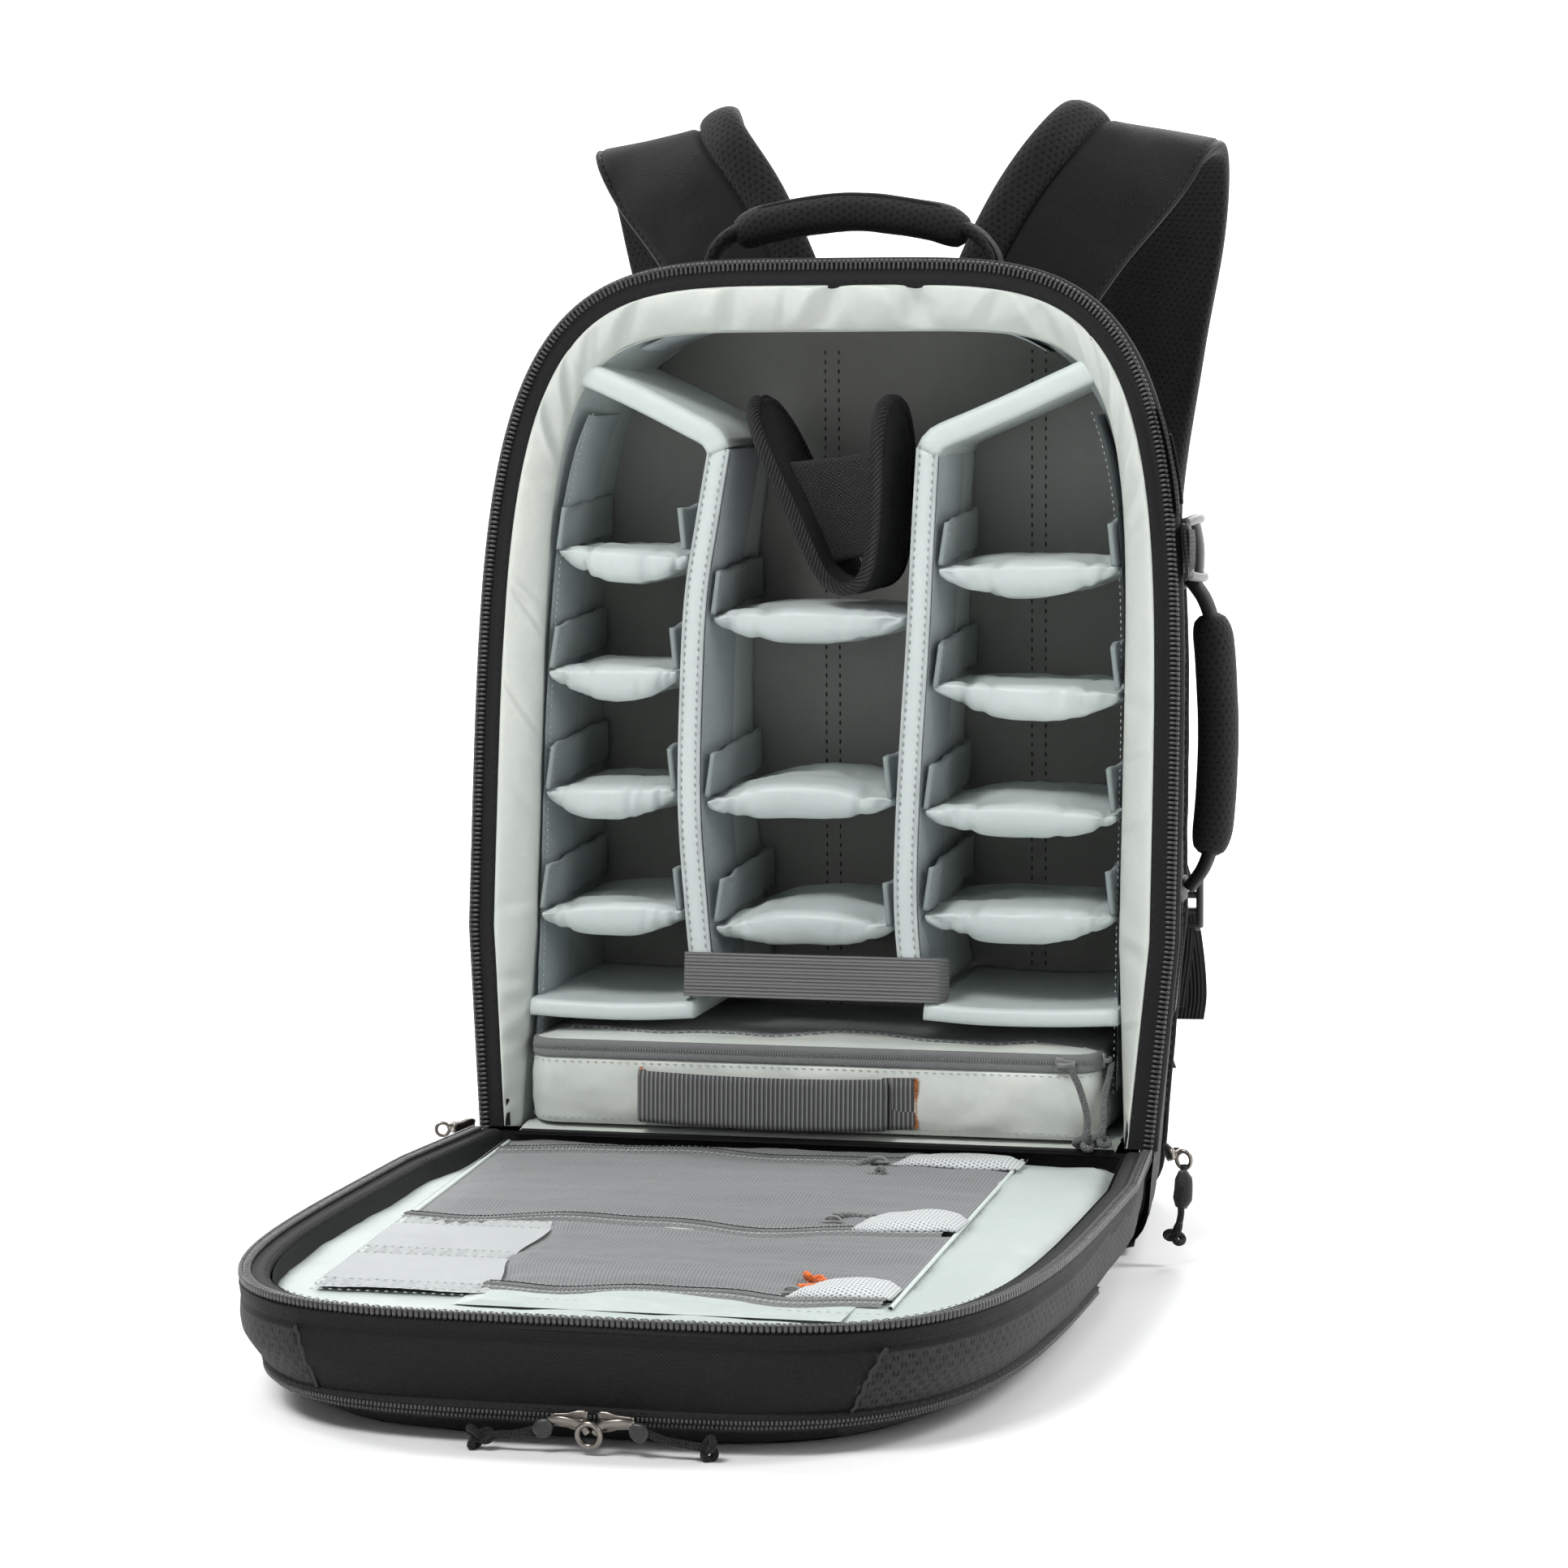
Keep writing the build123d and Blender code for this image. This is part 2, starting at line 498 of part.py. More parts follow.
def side_x(y, z):
    """outer wall on the right at depth y, height z, for straight part of the side"""
    s = (z - HINGE_Z) / CL
    yf = HINGE_Y + max(s, 0) * SL
    f = (y - yf) / (BACK_Y - yf)
    w = RIM_W0 + (RIM_W - RIM_W0) * min(max(s, 0), RIM_HS) / RIM_HS
    if s > RIM_HS:
        w = RIM_W * (1 - ((s - RIM_HS) / (RIM_H - RIM_HS)) ** RIM_N) ** (1 / RIM_N)
    return w + 6.6 - 20.0 * f


def on_side(y0, y1, z0, z1, t0, t1):
    """a slab lying t0 to t1 off the right wall"""
    pts = []
    for z in (z0, z1):
        pts.append([(side_x(y, z) + t, y, z) for y, t in ((y0, t0), (y1, t0), (y1, t1), (y0, t1))])
    return frustum(pts)


save("side_webbing", [on_side(-52.0, -24.4, 318.0, 343.0, 3.0, 5.4), on_side(-26.0, -1.0, 352.0, 385.0, 1.6, 3.0), on_side(-44.0, -19.0, 112.0, 160.0, 1.6, 3.0)])
save("buckle_socket", on_side(-24.0, 3.0, 315.5, 345.5, 4.2, 13.2))
save("buckle_plug", on_side(3.6, 30.0, 318.0, 343.0, 4.8, 12.6))
save("buckle_webbing_rear", on_side(30.4, 58.0, 318.0, 343.0, 5.4, 7.4))


# ================================================================ shoulder straps
def strap(sg):
    """padded strap: looped up over the top of the bag and down behind it"""
    C = [(60, 93.5, 424), (66, 95, 450), (88, 101, 490), (110, 110, 519), (122, 128, 533), (125, 152, 524), (122, 170, 488),
         (112, 176, 430), (104, 168, 350), (110, 147, 270), (122, 128, 205)]
    Wd = [(0.97, 0, -0.15), (0.96, 0.02, -0.26), (0.93, 0.05, -0.36), (0.92, 0.12, -0.33), (0.94, 0.15, -0.22), (0.96, 0.15, -0.12),
          (0.98, 0.12, 0.0), (0.99, 0.10, 0.05), (1, 0, 0.05), (1, 0, -0.1), (1, 0, -0.15)]
    wid = [66, 70, 76, 78, 78, 78, 76, 74, 70, 64, 48]
    th = [7, 9, 12, 13, 13, 13, 13, 13, 13, 12, 10]
    rings = []
    for i, c in enumerate(C):
        a = C[max(i - 1, 0)]
        b = C[min(i + 1, len(C) - 1)]
        tv = Vector(b[0] - a[0], b[1] - a[1], b[2] - a[2]).normalized()
        w = Vector(*Wd[i])
        w = (w - tv * w.dot(tv)).normalized()
        n = tv.cross(w).normalized()
        cc = Vector(*c)
        q = []
        for aa, bb in ((-1, -1), (1, -1), (1, 1), (-1, 1)):
            p = cc + w * (aa * wid[i] / 2) + n * (bb * th[i] / 2)
            q.append((sg * p.X, p.Y, p.Z))
        rings.append(q)
    return frustum(rings)


for sg, side in ((-1, "left"), (1, "right")):
    save("shoulder_strap_%s" % side, strap(sg))
    # ladder-lock adjuster under the pad and the webbing down to the anchor
    wv = [(126, 124.0, 199), (143, 107, 158), (146, 95.5, 122), (140, 92.5, 92)]
    ring = []
    for i, (x, y, z) in enumerate(wv[:2]):
        ring.append([(sg * (x - 12.5), y - 1, z), (sg * (x + 12.5), y - 1, z), (sg * (x + 12.5), y + 1, z), (sg * (x - 12.5), y + 1, z)])
    up = frustum(ring)
    ring = []
    for i, (x, y, z) in enumerate([(145.0, 100.0, 131.0), (142, 93.5, 95.5)]):
        ring.append([(sg * (x - 12.5), y - 1, z), (sg * (x + 12.5), y - 1, z), (sg * (x + 12.5), y + 1, z), (sg * (x - 12.5), y + 1, z)])
    dn = frustum(ring)
    save("strap_webbing_%s" % side, [up, dn])
    lk = Pos(sg * 144.5, 104.0, 144.5) * Box(33, 9, 25.0)
    lk = lk - (Pos(sg * 144.5, 104.0, 150.5) * Box(26, 20, 5)) - (Pos(sg * 144.5, 104.0, 139.0) * Box(26, 20, 5))
    save("strap_adjuster_%s" % side, lk)

anch = []
for sg in (-1, 1):
    anch.append(box(sg * 60 - 33, sg * 60 + 33, 84.3, 92.0, 400, 416.0))
    anch.append(prism_y([(sg * 126, 62), (sg * 150, 62), (sg * 151, 80), (sg * 146, 93.5), (sg * 134, 93.5), (sg * 122, 80)], 84.3, 88.5))
save("strap_anchors", anch)
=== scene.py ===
import bpy, bmesh, math, random
import numpy as np
from mathutils import Vector, Matrix, noise


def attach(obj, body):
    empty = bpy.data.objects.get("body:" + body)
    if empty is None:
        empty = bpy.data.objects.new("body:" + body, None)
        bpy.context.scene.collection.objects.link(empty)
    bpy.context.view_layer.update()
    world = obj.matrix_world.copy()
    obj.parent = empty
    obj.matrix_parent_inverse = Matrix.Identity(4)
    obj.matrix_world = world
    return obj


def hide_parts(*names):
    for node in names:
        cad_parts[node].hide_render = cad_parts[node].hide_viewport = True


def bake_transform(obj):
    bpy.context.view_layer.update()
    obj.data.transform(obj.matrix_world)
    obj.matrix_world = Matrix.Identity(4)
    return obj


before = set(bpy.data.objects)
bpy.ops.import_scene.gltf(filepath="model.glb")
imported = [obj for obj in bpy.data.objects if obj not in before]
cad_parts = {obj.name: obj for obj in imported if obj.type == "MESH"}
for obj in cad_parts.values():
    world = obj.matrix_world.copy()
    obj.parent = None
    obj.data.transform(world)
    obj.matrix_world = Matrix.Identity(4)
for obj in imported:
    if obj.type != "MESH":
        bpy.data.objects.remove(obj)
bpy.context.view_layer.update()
scene = bpy.context.scene
rng = np.random.default_rng(7)
MM = 0.001
LEAN = math.radians(7.311)
SL, CL = math.sin(LEAN), math.cos(LEAN)
HY, HZ = -84.0, 50.0
BODY = "pack_body"

# ------------------------------------------------------------------ camera
AZ, EL, ROLL, DIST = math.radians(13.684), math.radians(5.380), math.radians(-0.283), 2138.6
back = np.array([math.sin(AZ) * math.cos(EL), -math.cos(AZ) * math.cos(EL), math.sin(EL)])
cpos = np.array([-12.3, HY, 170.2 + HZ]) + back * DIST
right = np.array([math.cos(AZ), math.sin(AZ), 0.0])
upv = np.cross(right, -back)
R_ = math.cos(ROLL) * right + math.sin(ROLL) * upv
U_ = -math.sin(ROLL) * right + math.cos(ROLL) * upv
cam_data = bpy.data.cameras.new("view_camera")
cam_data.sensor_width = 36.0
cam_data.lens = 103.062
cam_data.clip_end = 50.0
cam = bpy.data.objects.new("view_camera", cam_data)
scene.collection.objects.link(cam)
cam.matrix_world = Matrix(((R_[0], U_[0], back[0], cpos[0] * MM), (R_[1], U_[1], back[1], cpos[1] * MM),
                           (R_[2], U_[2], back[2], cpos[2] * MM), (0, 0, 0, 1)))
scene.camera = cam
scene.view_settings.view_transform = "Standard"


# ------------------------------------------------------------------ material kit
class NT:
    def __init__(self, name):
        self.m = bpy.data.materials.new(name)
        self.m.use_nodes = True
        self.t = self.m.node_tree
        self.b = self.t.nodes["Principled BSDF"]
        self.l = self.t.links

    def n(self, kind, **kw):
        nd = self.t.nodes.new(kind)
        for k, v in kw.items():
            if k.startswith("i_"):
                nd.inputs[k[2:].replace("_", " ")].default_value = v
            else:
                setattr(nd, k, v)
        return nd

    def link(self, a, b):
        self.l.new(a, b)

    def math(self, op, a, b=None, c=None, clamp=False):
        nd = self.t.nodes.new("ShaderNodeMath")
        nd.operation = op
        nd.use_clamp = clamp
        for i, v in enumerate((a, b, c)):
            if v is None:
                continue
            if isinstance(v, (int, float)):
                nd.inputs[i].default_value = v
            else:
                self.link(v, nd.inputs[i])
        return nd.outputs[0]

    def coords(self, uv):
        tc = self.n("ShaderNodeTexCoord")
        return tc.outputs["UV"] if uv else tc.outputs["Object"]

    def xyz(self, v):
        s = self.n("ShaderNodeSeparateXYZ")
        self.link(v, s.inputs[0])
        return s.outputs

    def noise(self, co, scale, detail=3.0, rough=0.55):
        nd = self.n("ShaderNodeTexNoise")
        nd.inputs["Scale"].default_value = scale
        nd.inputs["Detail"].default_value = detail
        nd.inputs["Roughness"].default_value = rough
        self.link(co, nd.inputs["Vector"])
        return nd.outputs["Fac"]

    def ramp(self, fac, stops):
        nd = self.n("ShaderNodeValToRGB")
        el = nd.color_ramp.elements
        while len(el) < len(stops):
            el.new(0.5)
        for e, (p, c) in zip(el, stops):
            e.position = p
            e.color = (*c, 1.0)
        self.link(fac, nd.inputs[0])
        return nd.outputs[0]

    def bump(self, height, strength, dist, prev=None):
        nd = self.n("ShaderNodeBump")
        nd.inputs["Strength"].default_value = strength
        nd.inputs["Distance"].default_value = dist
        self.link(height, nd.inputs["Height"])
        if prev is not None:
            self.link(prev, nd.inputs["Normal"])
        return nd.outputs[0]

    def done(self, color=None, rough=None, normal=None, **fix):
        if color is not None:
            self.link(color, self.b.inputs["Base Color"])
        if rough is not None:
            if isinstance(rough, (int, float)):
                self.b.inputs["Roughness"].default_value = rough
            else:
                self.link(rough, self.b.inputs["Roughness"])
        if normal is not None:
            self.link(normal, self.b.inputs["Normal"])
        for k, v in fix.items():
            self.b.inputs[k.replace("_", " ")].default_value = v
        return self.m


def mul(c, k):
    return tuple(min(1.0, x * k) for x in c)


def weave(m, co, f, kind="basket"):
    """height of a weave; f threads per metre"""
    x, y, z = m.xyz(co)
    tau = 2 * math.pi
    if kind == "rib":                      # ribs across v
        return m.math("SINE", m.math("MULTIPLY", y, tau * f))
    if kind == "ribx":                     # ribs across u
        return m.math("SINE", m.math("MULTIPLY", x, tau * f))
    if kind == "twill":
        d = m.math("ADD", x, m.math("MULTIPLY", y, 1.0))
        return m.math("SINE", m.math("MULTIPLY", d, tau * f))
    sx = m.math("SINE", m.math("MULTIPLY", x, tau * f))
    sy = m.math("SINE", m.math("MULTIPLY", y, tau * f))
    if kind == "basket":
        sx2 = m.math("ABSOLUTE", sx)
        sy2 = m.math("ABSOLUTE", sy)
        chk = m.math("GREATER_THAN", m.math("MULTIPLY", sx, sy), 0.0)
        return m.math("ADD", m.math("MULTIPLY", chk, sx2), m.math("MULTIPLY", m.math("SUBTRACT", 1.0, chk), sy2))
    return m.math("MULTIPLY", sx, sy)


def weave3(m, co, f):
    """a weave that needs no UV: threads along the object's axes"""
    x, y, z = m.xyz(co)
    tau = 2 * math.pi
    s = [m.math("SINE", m.math("MULTIPLY", a, tau * f)) for a in (x, y, z)]
    return m.math("ADD", m.math("MULTIPLY", s[0], s[2]), m.math("MULTIPLY", s[1], s[0]))


def mat_cloth(name, color, f=900.0, kind="basket", uv=True, bump=0.35, dist=0.0004, rough=0.6, sheen=0.25, var=0.10, crinkle=0.0,
              crinkle_scale=60.0, tint=None, contrast=0.25, spec=0.35, dust=0.0):
    m = NT(name)
    co = m.coords(uv)
    obj = m.coords(False)
    h = weave(m, co, f, kind) if uv else weave3(m, co, f)
    big = m.noise(obj, 9.0, 4.0)
    fine = m.noise(obj, 260.0, 2.0)
    mixv = m.math("ADD", m.math("MULTIPLY", big, 1.0), m.math("MULTIPLY", fine, 0.35))
    hh = m.math("MULTIPLY", h, contrast * 0.5)
    fac = m.math("ADD", m.math("SUBTRACT", mixv, 0.175), hh, clamp=True)
    c = m.ramp(fac, [(0.15, mul(color, 1 - var * 1.6)), (0.5, color), (0.85, mul(tint or color, 1 + var * 1.3))])
    nrm = None
    if crinkle:
        w = m.noise(obj, crinkle_scale, 5.0, 0.6)
        w2 = m.noise(obj, crinkle_scale * 0.28, 3.0, 0.5)
        nrm = m.bump(m.math("ADD", m.math("MULTIPLY", w, 0.45), w2), 0.7, crinkle)
    nrm = m.bump(h, bump, dist, nrm)
    rr = m.math("ADD", m.math("MULTIPLY", fine, 0.12), rough - 0.06)
    return m.done(c, rr, nrm, Sheen_Weight=sheen, Sheen_Roughness=0.45, Specular_IOR_Level=spec)


def mat_mesh(name, color, hole, pitch, bump=1.0, dist=0.0012, rough=0.75, uv=True, sheen=0.2, edge=0.36, soft=0.16):
    """spacer mesh: staggered open cells"""
    m = NT(name)
    co = m.coords(uv)
    x, y, z = m.xyz(co)
    tau = 2 * math.pi
    k = tau / pitch
    if uv:
        a = m.math("COSINE", m.math("MULTIPLY", x, k))
        b = m.math("COSINE", m.math("MULTIPLY", m.math("ADD", m.math("MULTIPLY", x, 0.5), m.math("MULTIPLY", y, 0.866)), k))
        c = m.math("COSINE", m.math("MULTIPLY", m.math("SUBTRACT", m.math("MULTIPLY", x, 0.5), m.math("MULTIPLY", y, 0.866)), k))
        h = m.math("MULTIPLY", m.math("ADD", m.math("ADD", a, b), c), 0.333)
    else:
        v = m.n("ShaderNodeTexVoronoi")
        v.inputs["Scale"].default_value = 1.0 / pitch
        v.inputs["Randomness"].default_value = 0.25
        m.link(co, v.inputs["Vector"])
        h = m.math("SUBTRACT", 0.9, m.math("MULTIPLY", v.outputs["Distance"], 1.6))
    t = m.math("MULTIPLY", m.math("SUBTRACT", h, edge - soft), 1.0 / (2 * soft), clamp=True)       # 1 inside a hole
    obj = m.coords(False)
    n1 = m.noise(obj, 12.0, 3.0)
    n2 = m.noise(obj, 900.0, 1.0)
    inv = m.math("SUBTRACT", 1.0, t)
    col = m.ramp(m.math("MULTIPLY", inv, m.math("ADD", 0.75, m.math("MULTIPLY", n2, 0.5)), clamp=True),
                 [(0.0, hole), (0.55, mul(color, 0.8)), (1.0, mul(color, 1.25))])
    nrm = m.bump(m.math("ADD", inv, m.math("MULTIPLY", n2, 0.15)), bump, dist)
    return m.done(col, m.math("ADD", rough, m.math("MULTIPLY", n1, 0.1)), nrm, Sheen_Weight=sheen, Sheen_Roughness=0.5, Specular_IOR_Level=0.3)


def mat_fuzzy(name, color, scale=900.0, dist=0.0009, bump=0.9, rough=0.95, sheen=0.6, var=0.14, uv=False):
    m = NT(name)
    obj = m.coords(False)
    n1 = m.noise(obj, scale, 4.0, 0.7)
    n2 = m.noise(obj, 14.0, 4.0)
    n3 = m.noise(obj, 110.0, 2.0)
    s = m.math("ADD", m.math("MULTIPLY", n1, 0.5), m.math("ADD", m.math("MULTIPLY", n2, 0.3), m.math("MULTIPLY", n3, 0.2)))
    c = m.ramp(s, [(0.3, mul(color, 1 - var)), (0.5, color), (0.7, mul(color, 1 + var))])
    nrm = m.bump(n1, bump, dist)
    return m.done(c, rough, nrm, Sheen_Weight=sheen, Sheen_Roughness=0.6, Specular_IOR_Level=0.2)


def mat_dots(name, color, dark, pitch=0.0034):
    """embossed textured cloth with rows of small dashes"""
    m = NT(name)
    co = m.coords(True)
    x, y, z = m.xyz(co)
    k = 2 * math.pi / pitch
    a = m.math("SINE", m.math("MULTIPLY", x, k))
    b = m.math("SINE", m.math("MULTIPLY", m.math("ADD", y, m.math("MULTIPLY", m.math("GREATER_THAN", m.math("SINE", m.math("MULTIPLY", x, k / 2)), 0.0), pitch * 0.8)), k * 0.62))
    h = m.math("MULTIPLY", a, b)
    obj = m.coords(False)
    sp = m.noise(obj, 700.0, 3.0, 0.8)
    n2 = m.noise(obj, 10.0, 3.0)
    t = m.math("MULTIPLY", m.math("SUBTRACT", h, 0.35), 3.0, clamp=True)
    c1 = m.ramp(sp, [(0.38, mul(color, 0.55)), (0.55, color), (0.72, mul(color, 2.1))])
    mix = m.n("ShaderNodeMix", data_type="RGBA")
    m.link(t, mix.inputs["Factor"])
    m.link(c1, mix.inputs["A"])
    mix.inputs["B"].default_value = (*dark, 1)
    nrm = m.bump(m.math("SUBTRACT", m.math("MULTIPLY", sp, 0.5), t), 0.8, 0.0007)
    return m.done(mix.outputs["Result"], m.math("ADD", 0.6, m.math("MULTIPLY", n2, 0.15)), nrm, Sheen_Weight=0.04, Specular_IOR_Level=0.3)


def mat_hard(name, color, rough=0.4, metallic=0.0, grain=500.0, dist=0.00012, wear=None, coat=0.0):
    m = NT(name)
    obj = m.coords(False)
    n1 = m.noise(obj, grain, 3.0)
    n2 = m.noise(obj, 45.0, 4.0)
    c = m.ramp(n2, [(0.3, mul(color, 0.86)), (0.55, color), (0.75, mul(color, 1.18))])
    if wear:
        g = m.n("ShaderNodeNewGeometry")
        p = m.ramp(g.outputs["Pointiness"], [(0.52, (0, 0, 0)), (0.60, (1, 1, 1))])
        mix = m.n("ShaderNodeMix", data_type="RGBA")
        m.link(p, mix.inputs["Factor"])
        m.link(c, mix.inputs["A"])
        mix.inputs["B"].default_value = (*wear, 1)
        c = mix.outputs["Result"]
    nrm = m.bump(n1, 0.5, dist)
    return m.done(c, m.math("ADD", rough - 0.08, m.math("MULTIPLY", n2, 0.18)), nrm, Metallic=metallic, Coat_Weight=coat)


LIN = (0.60, 0.665, 0.645)
M = {}
M["lining"] = mat_cloth("pale_lining", LIN, f=1500, uv=False, kind="plain", bump=0.10, dist=0.0002, rough=0.40, sheen=0.15, var=0.035,
                        crinkle=0.0016, crinkle_scale=70.0, tint=(0.63, 0.685, 0.665), contrast=0.05, spec=0.5)
M["lining_cream"] = mat_cloth("cream_lining", (0.66, 0.70, 0.65), f=1500, uv=False, kind="plain", bump=0.10, dist=0.0002, rough=0.38,
                              sheen=0.15, var=0.035, crinkle=0.0013, crinkle_scale=60.0, tint=(0.73, 0.745, 0.69), contrast=0.05, spec=0.5)
M["loop"] = mat_fuzzy("loop_pile", (0.40, 0.455, 0.465), sheen=0.25)
# the side-wall lining is the pale lining darkened: painted shade of the walls inside the compartment
M["lining_painted_shade"] = mat_cloth("side_lining_painted_shade", (0.46, 0.515, 0.50), f=1500, uv=False, kind="plain", bump=0.10, dist=0.0002, rough=0.42, sheen=0.1, var=0.04,
                              crinkle=0.0014, crinkle_scale=60.0, tint=(0.50, 0.55, 0.535), contrast=0.05, spec=0.45)
# the hook tabs' colour is darkened as painted shade inside the bays
M["tab"] = mat_cloth("tab_cloth_painted_shade", (0.27, 0.315, 0.31), f=1200, uv=False, bump=0.2, rough=0.55, var=0.06, crinkle=0.0006, crinkle_scale=120)
M["tricot"] = mat_fuzzy("back_tricot", (0.30, 0.30, 0.285), scale=1200.0, dist=0.0004, bump=0.5, sheen=0.10, var=0.08)
M["ballistic"] = mat_cloth("black_ballistic", (0.0034, 0.0034, 0.0037), f=620, kind="basket", bump=0.5, dist=0.0005, rough=0.60, sheen=0.02,
                           var=0.25, contrast=0.9, tint=(0.008, 0.008, 0.0084), spec=0.18)
M["strapcloth"] = mat_cloth("strap_cloth", (0.0052, 0.0049, 0.0054), f=700, kind="basket", bump=0.45, dist=0.0004, rough=0.66, sheen=0.05,
                            var=0.22, contrast=0.8, tint=(0.010, 0.0095, 0.0104), spec=0.18)
M["charcoal"] = mat_dots("charcoal_textured", (0.021, 0.021, 0.0225), (0.002, 0.002, 0.002))
M["spacer"] = mat_mesh("black_spacer_mesh", (0.0075, 0.0073, 0.0078), (0.0006, 0.0006, 0.0006), 0.0030, sheen=0.05)
M["spacer3"] = mat_mesh("black_spacer_mesh_3d", (0.011, 0.011, 0.012), (0.0012, 0.0012, 0.0012), 0.0030, uv=False, sheen=0.05)
M["tape"] = mat_cloth("black_tape", (0.0048, 0.0048, 0.0052), f=900, kind="twill", bump=0.35, dist=0.0003, rough=0.7, sheen=0.02, var=0.2, contrast=0.6)
M["webblack"] = mat_cloth("black_webbing", (0.0050, 0.0050, 0.0054), f=520, kind="rib", bump=0.6, dist=0.0006, rough=0.6, sheen=0.04, var=0.25, contrast=0.8)
M["webgrey"] = mat_cloth("grey_webbing", (0.125, 0.128, 0.128), f=450, kind="ribx", bump=1.0, dist=0.0009, rough=0.62, sheen=0.2, var=0.18, contrast=1.3,
                         tint=(0.27, 0.273, 0.273))
M["elastic"] = mat_cloth("grey_elastic", (0.185, 0.185, 0.185), f=560, kind="ribx", bump=0.7, dist=0.0006, rough=0.6, sheen=0.2, var=0.12, contrast=0.9)
M["greyzip"] = mat_cloth("grey_zip_tape", (0.20, 0.205, 0.205), f=700, kind="twill", bump=0.4, dist=0.0004, rough=0.65, sheen=0.15, var=0.12, contrast=0.5)
M["greymesh"] = mat_mesh("grey_twill_mesh", (0.155, 0.16, 0.163), (0.06, 0.062, 0.064), 0.0017, bump=0.45, dist=0.0005, rough=0.6, edge=0.40, soft=0.22)
M["whitemesh"] = mat_mesh("white_vent_mesh", (0.47, 0.49, 0.49), (0.20, 0.21, 0.215), 0.0019, bump=0.8, dist=0.0008, rough=0.6, edge=0.42, soft=0.16)
M["teeth"] = mat_hard("zip_teeth", (0.010, 0.010, 0.011), rough=0.27, grain=900, wear=(0.06, 0.06, 0.06))
M["greycoil"] = mat_hard("grey_coil", (0.19, 0.195, 0.195), rough=0.5, grain=900)
M["gunmetal"] = mat_hard("gunmetal", (0.135, 0.120, 0.105), rough=0.30, metallic=1.0, grain=300, wear=(0.45, 0.42, 0.38))
M["plasticgrey"] = mat_hard("grey_acetal", (0.20, 0.20, 0.205), rough=0.42, wear=(0.32, 0.32, 0.32))
M["plasticblack"] = mat_hard("black_acetal", (0.015, 0.015, 0.016), rough=0.38, wear=(0.06, 0.06, 0.06))
M["cordgrey"] = mat_cloth("grey_cord", (0.16, 0.165, 0.162), f=650, uv=False, bump=0.9, dist=0.0006, rough=0.7, sheen=0.3, var=0.25)
M["cordorange"] = mat_cloth("orange_cord", (0.90, 0.17, 0.012), f=650, uv=False, bump=0.8, dist=0.0005, rough=0.6, sheen=0.3, var=0.12)
M["cordblack"] = mat_cloth("black_cord", (0.008, 0.008, 0.0085), f=650, uv=False, bump=0.9, dist=0.0006, rough=0.7, sheen=0.06, var=0.25)
M["webdark"] = mat_cloth("dark_webbing", (0.035, 0.036, 0.038), f=420, kind="rib", bump=0.8, dist=0.0008, rough=0.62, sheen=0.04, var=0.2, contrast=0.9)
M["cradleweb"] = mat_cloth("cradle_weave", (0.018, 0.0165, 0.0175), f=480, kind="basket", bump=0.9, dist=0.0008, rough=0.6, sheen=0.05, var=0.25, contrast=1.1, tint=(0.035, 0.032, 0.034))
# the lid's lining is the pale lining darkened to hold back the key light falling on it: painted shade
M["lid_lining_painted_shade"] = mat_cloth("lid_lining", (0.47, 0.53, 0.51), f=1500, uv=False, kind="plain", bump=0.10, dist=0.0002, rough=0.42, sheen=0.1, var=0.035,
                            crinkle=0.0016, crinkle_scale=60.0, tint=(0.50, 0.555, 0.535), contrast=0.05, spec=0.45)
M["penloop"] = mat_cloth("pen_loop_elastic", (0.53, 0.555, 0.555), f=700, kind="rib", bump=0.7, dist=0.0005, rough=0.6, sheen=0.15, var=0.06, contrast=0.5)
M["orange"] = mat_cloth("orange_thread", (0.88, 0.24, 0.02), f=900, uv=False, bump=0.9, dist=0.0005, rough=0.55, sheen=0.3, var=0.12)
M["threadgrey"] = mat_hard("grey_thread", (0.33, 0.345, 0.35), rough=0.6)
M["threadpale"] = mat_hard("pale_thread", (0.50, 0.54, 0.53), rough=0.6)
M["threadblack"] = mat_hard("black_thread", (0.010, 0.010, 0.0105), rough=0.55)
M["binding"] = mat_cloth("binding_tape", (0.012, 0.0115, 0.0125), f=380, kind="twill", bump=0.9, dist=0.0007, rough=0.6, sheen=0.04, var=0.3, contrast=1.0,
                         tint=(0.022, 0.022, 0.023))


# ------------------------------------------------------------------ geometry kit
def P(x, s, n):
    return np.stack(np.broadcast_arrays(x, HY + np.asarray(s) * SL - np.asarray(n) * CL, HZ + np.asarray(s) * CL + np.asarray(n) * SL), -1).astype(float)


def yfront(z, n):
    s = (z - HZ - n * SL) / CL
    return HY + s * SL - n * CL


def zz(s, n=-12.0):
    return HZ + s * CL + n * SL


def outline(W=168.0, W0=159.63, HS=97.85, H=416.9, N=4.521, s0=0.0, M_=240, off=0.0):
    """the opening's outline from the right end of the hinge over the top to the left end, evenly spaced, with outward normals"""
    ss = np.linspace(s0, HS, 60, endpoint=False)
    xs = W0 + (W - W0) * np.clip(ss, 0, None) / HS
    t = np.pi / 2 * np.linspace(0, 1, 5000) ** 2.0
    xa, sa = W * np.clip(np.cos(t), 0, 1) ** (2 / N), HS + (H - HS) * np.sin(t) ** (2 / N)
    h = np.c_[np.r_[xs, xa], np.r_[ss, sa]]
    h[-1, 0] = 0.0
    full = np.r_[h, (h[:-1] * [-1, 1])[::-1]]
    d = np.r_[0, np.cumsum(np.hypot(*np.diff(full, axis=0).T))]
    q = np.linspace(0, d[-1], M_)
    p = np.c_[np.interp(q, d, full[:, 0]), np.interp(q, d, full[:, 1])]
    g = np.gradient(p, axis=0)
    g /= np.linalg.norm(g, axis=1)[:, None]
    nr = np.c_[g[:, 1], -g[:, 0]]
    for _ in range(3):
        nr[1:-1] = (nr[:-2] + nr[1:-1] * 2 + nr[2:]) / 4
    nr /= np.linalg.norm(nr, axis=1)[:, None]
    return p + off * nr, nr


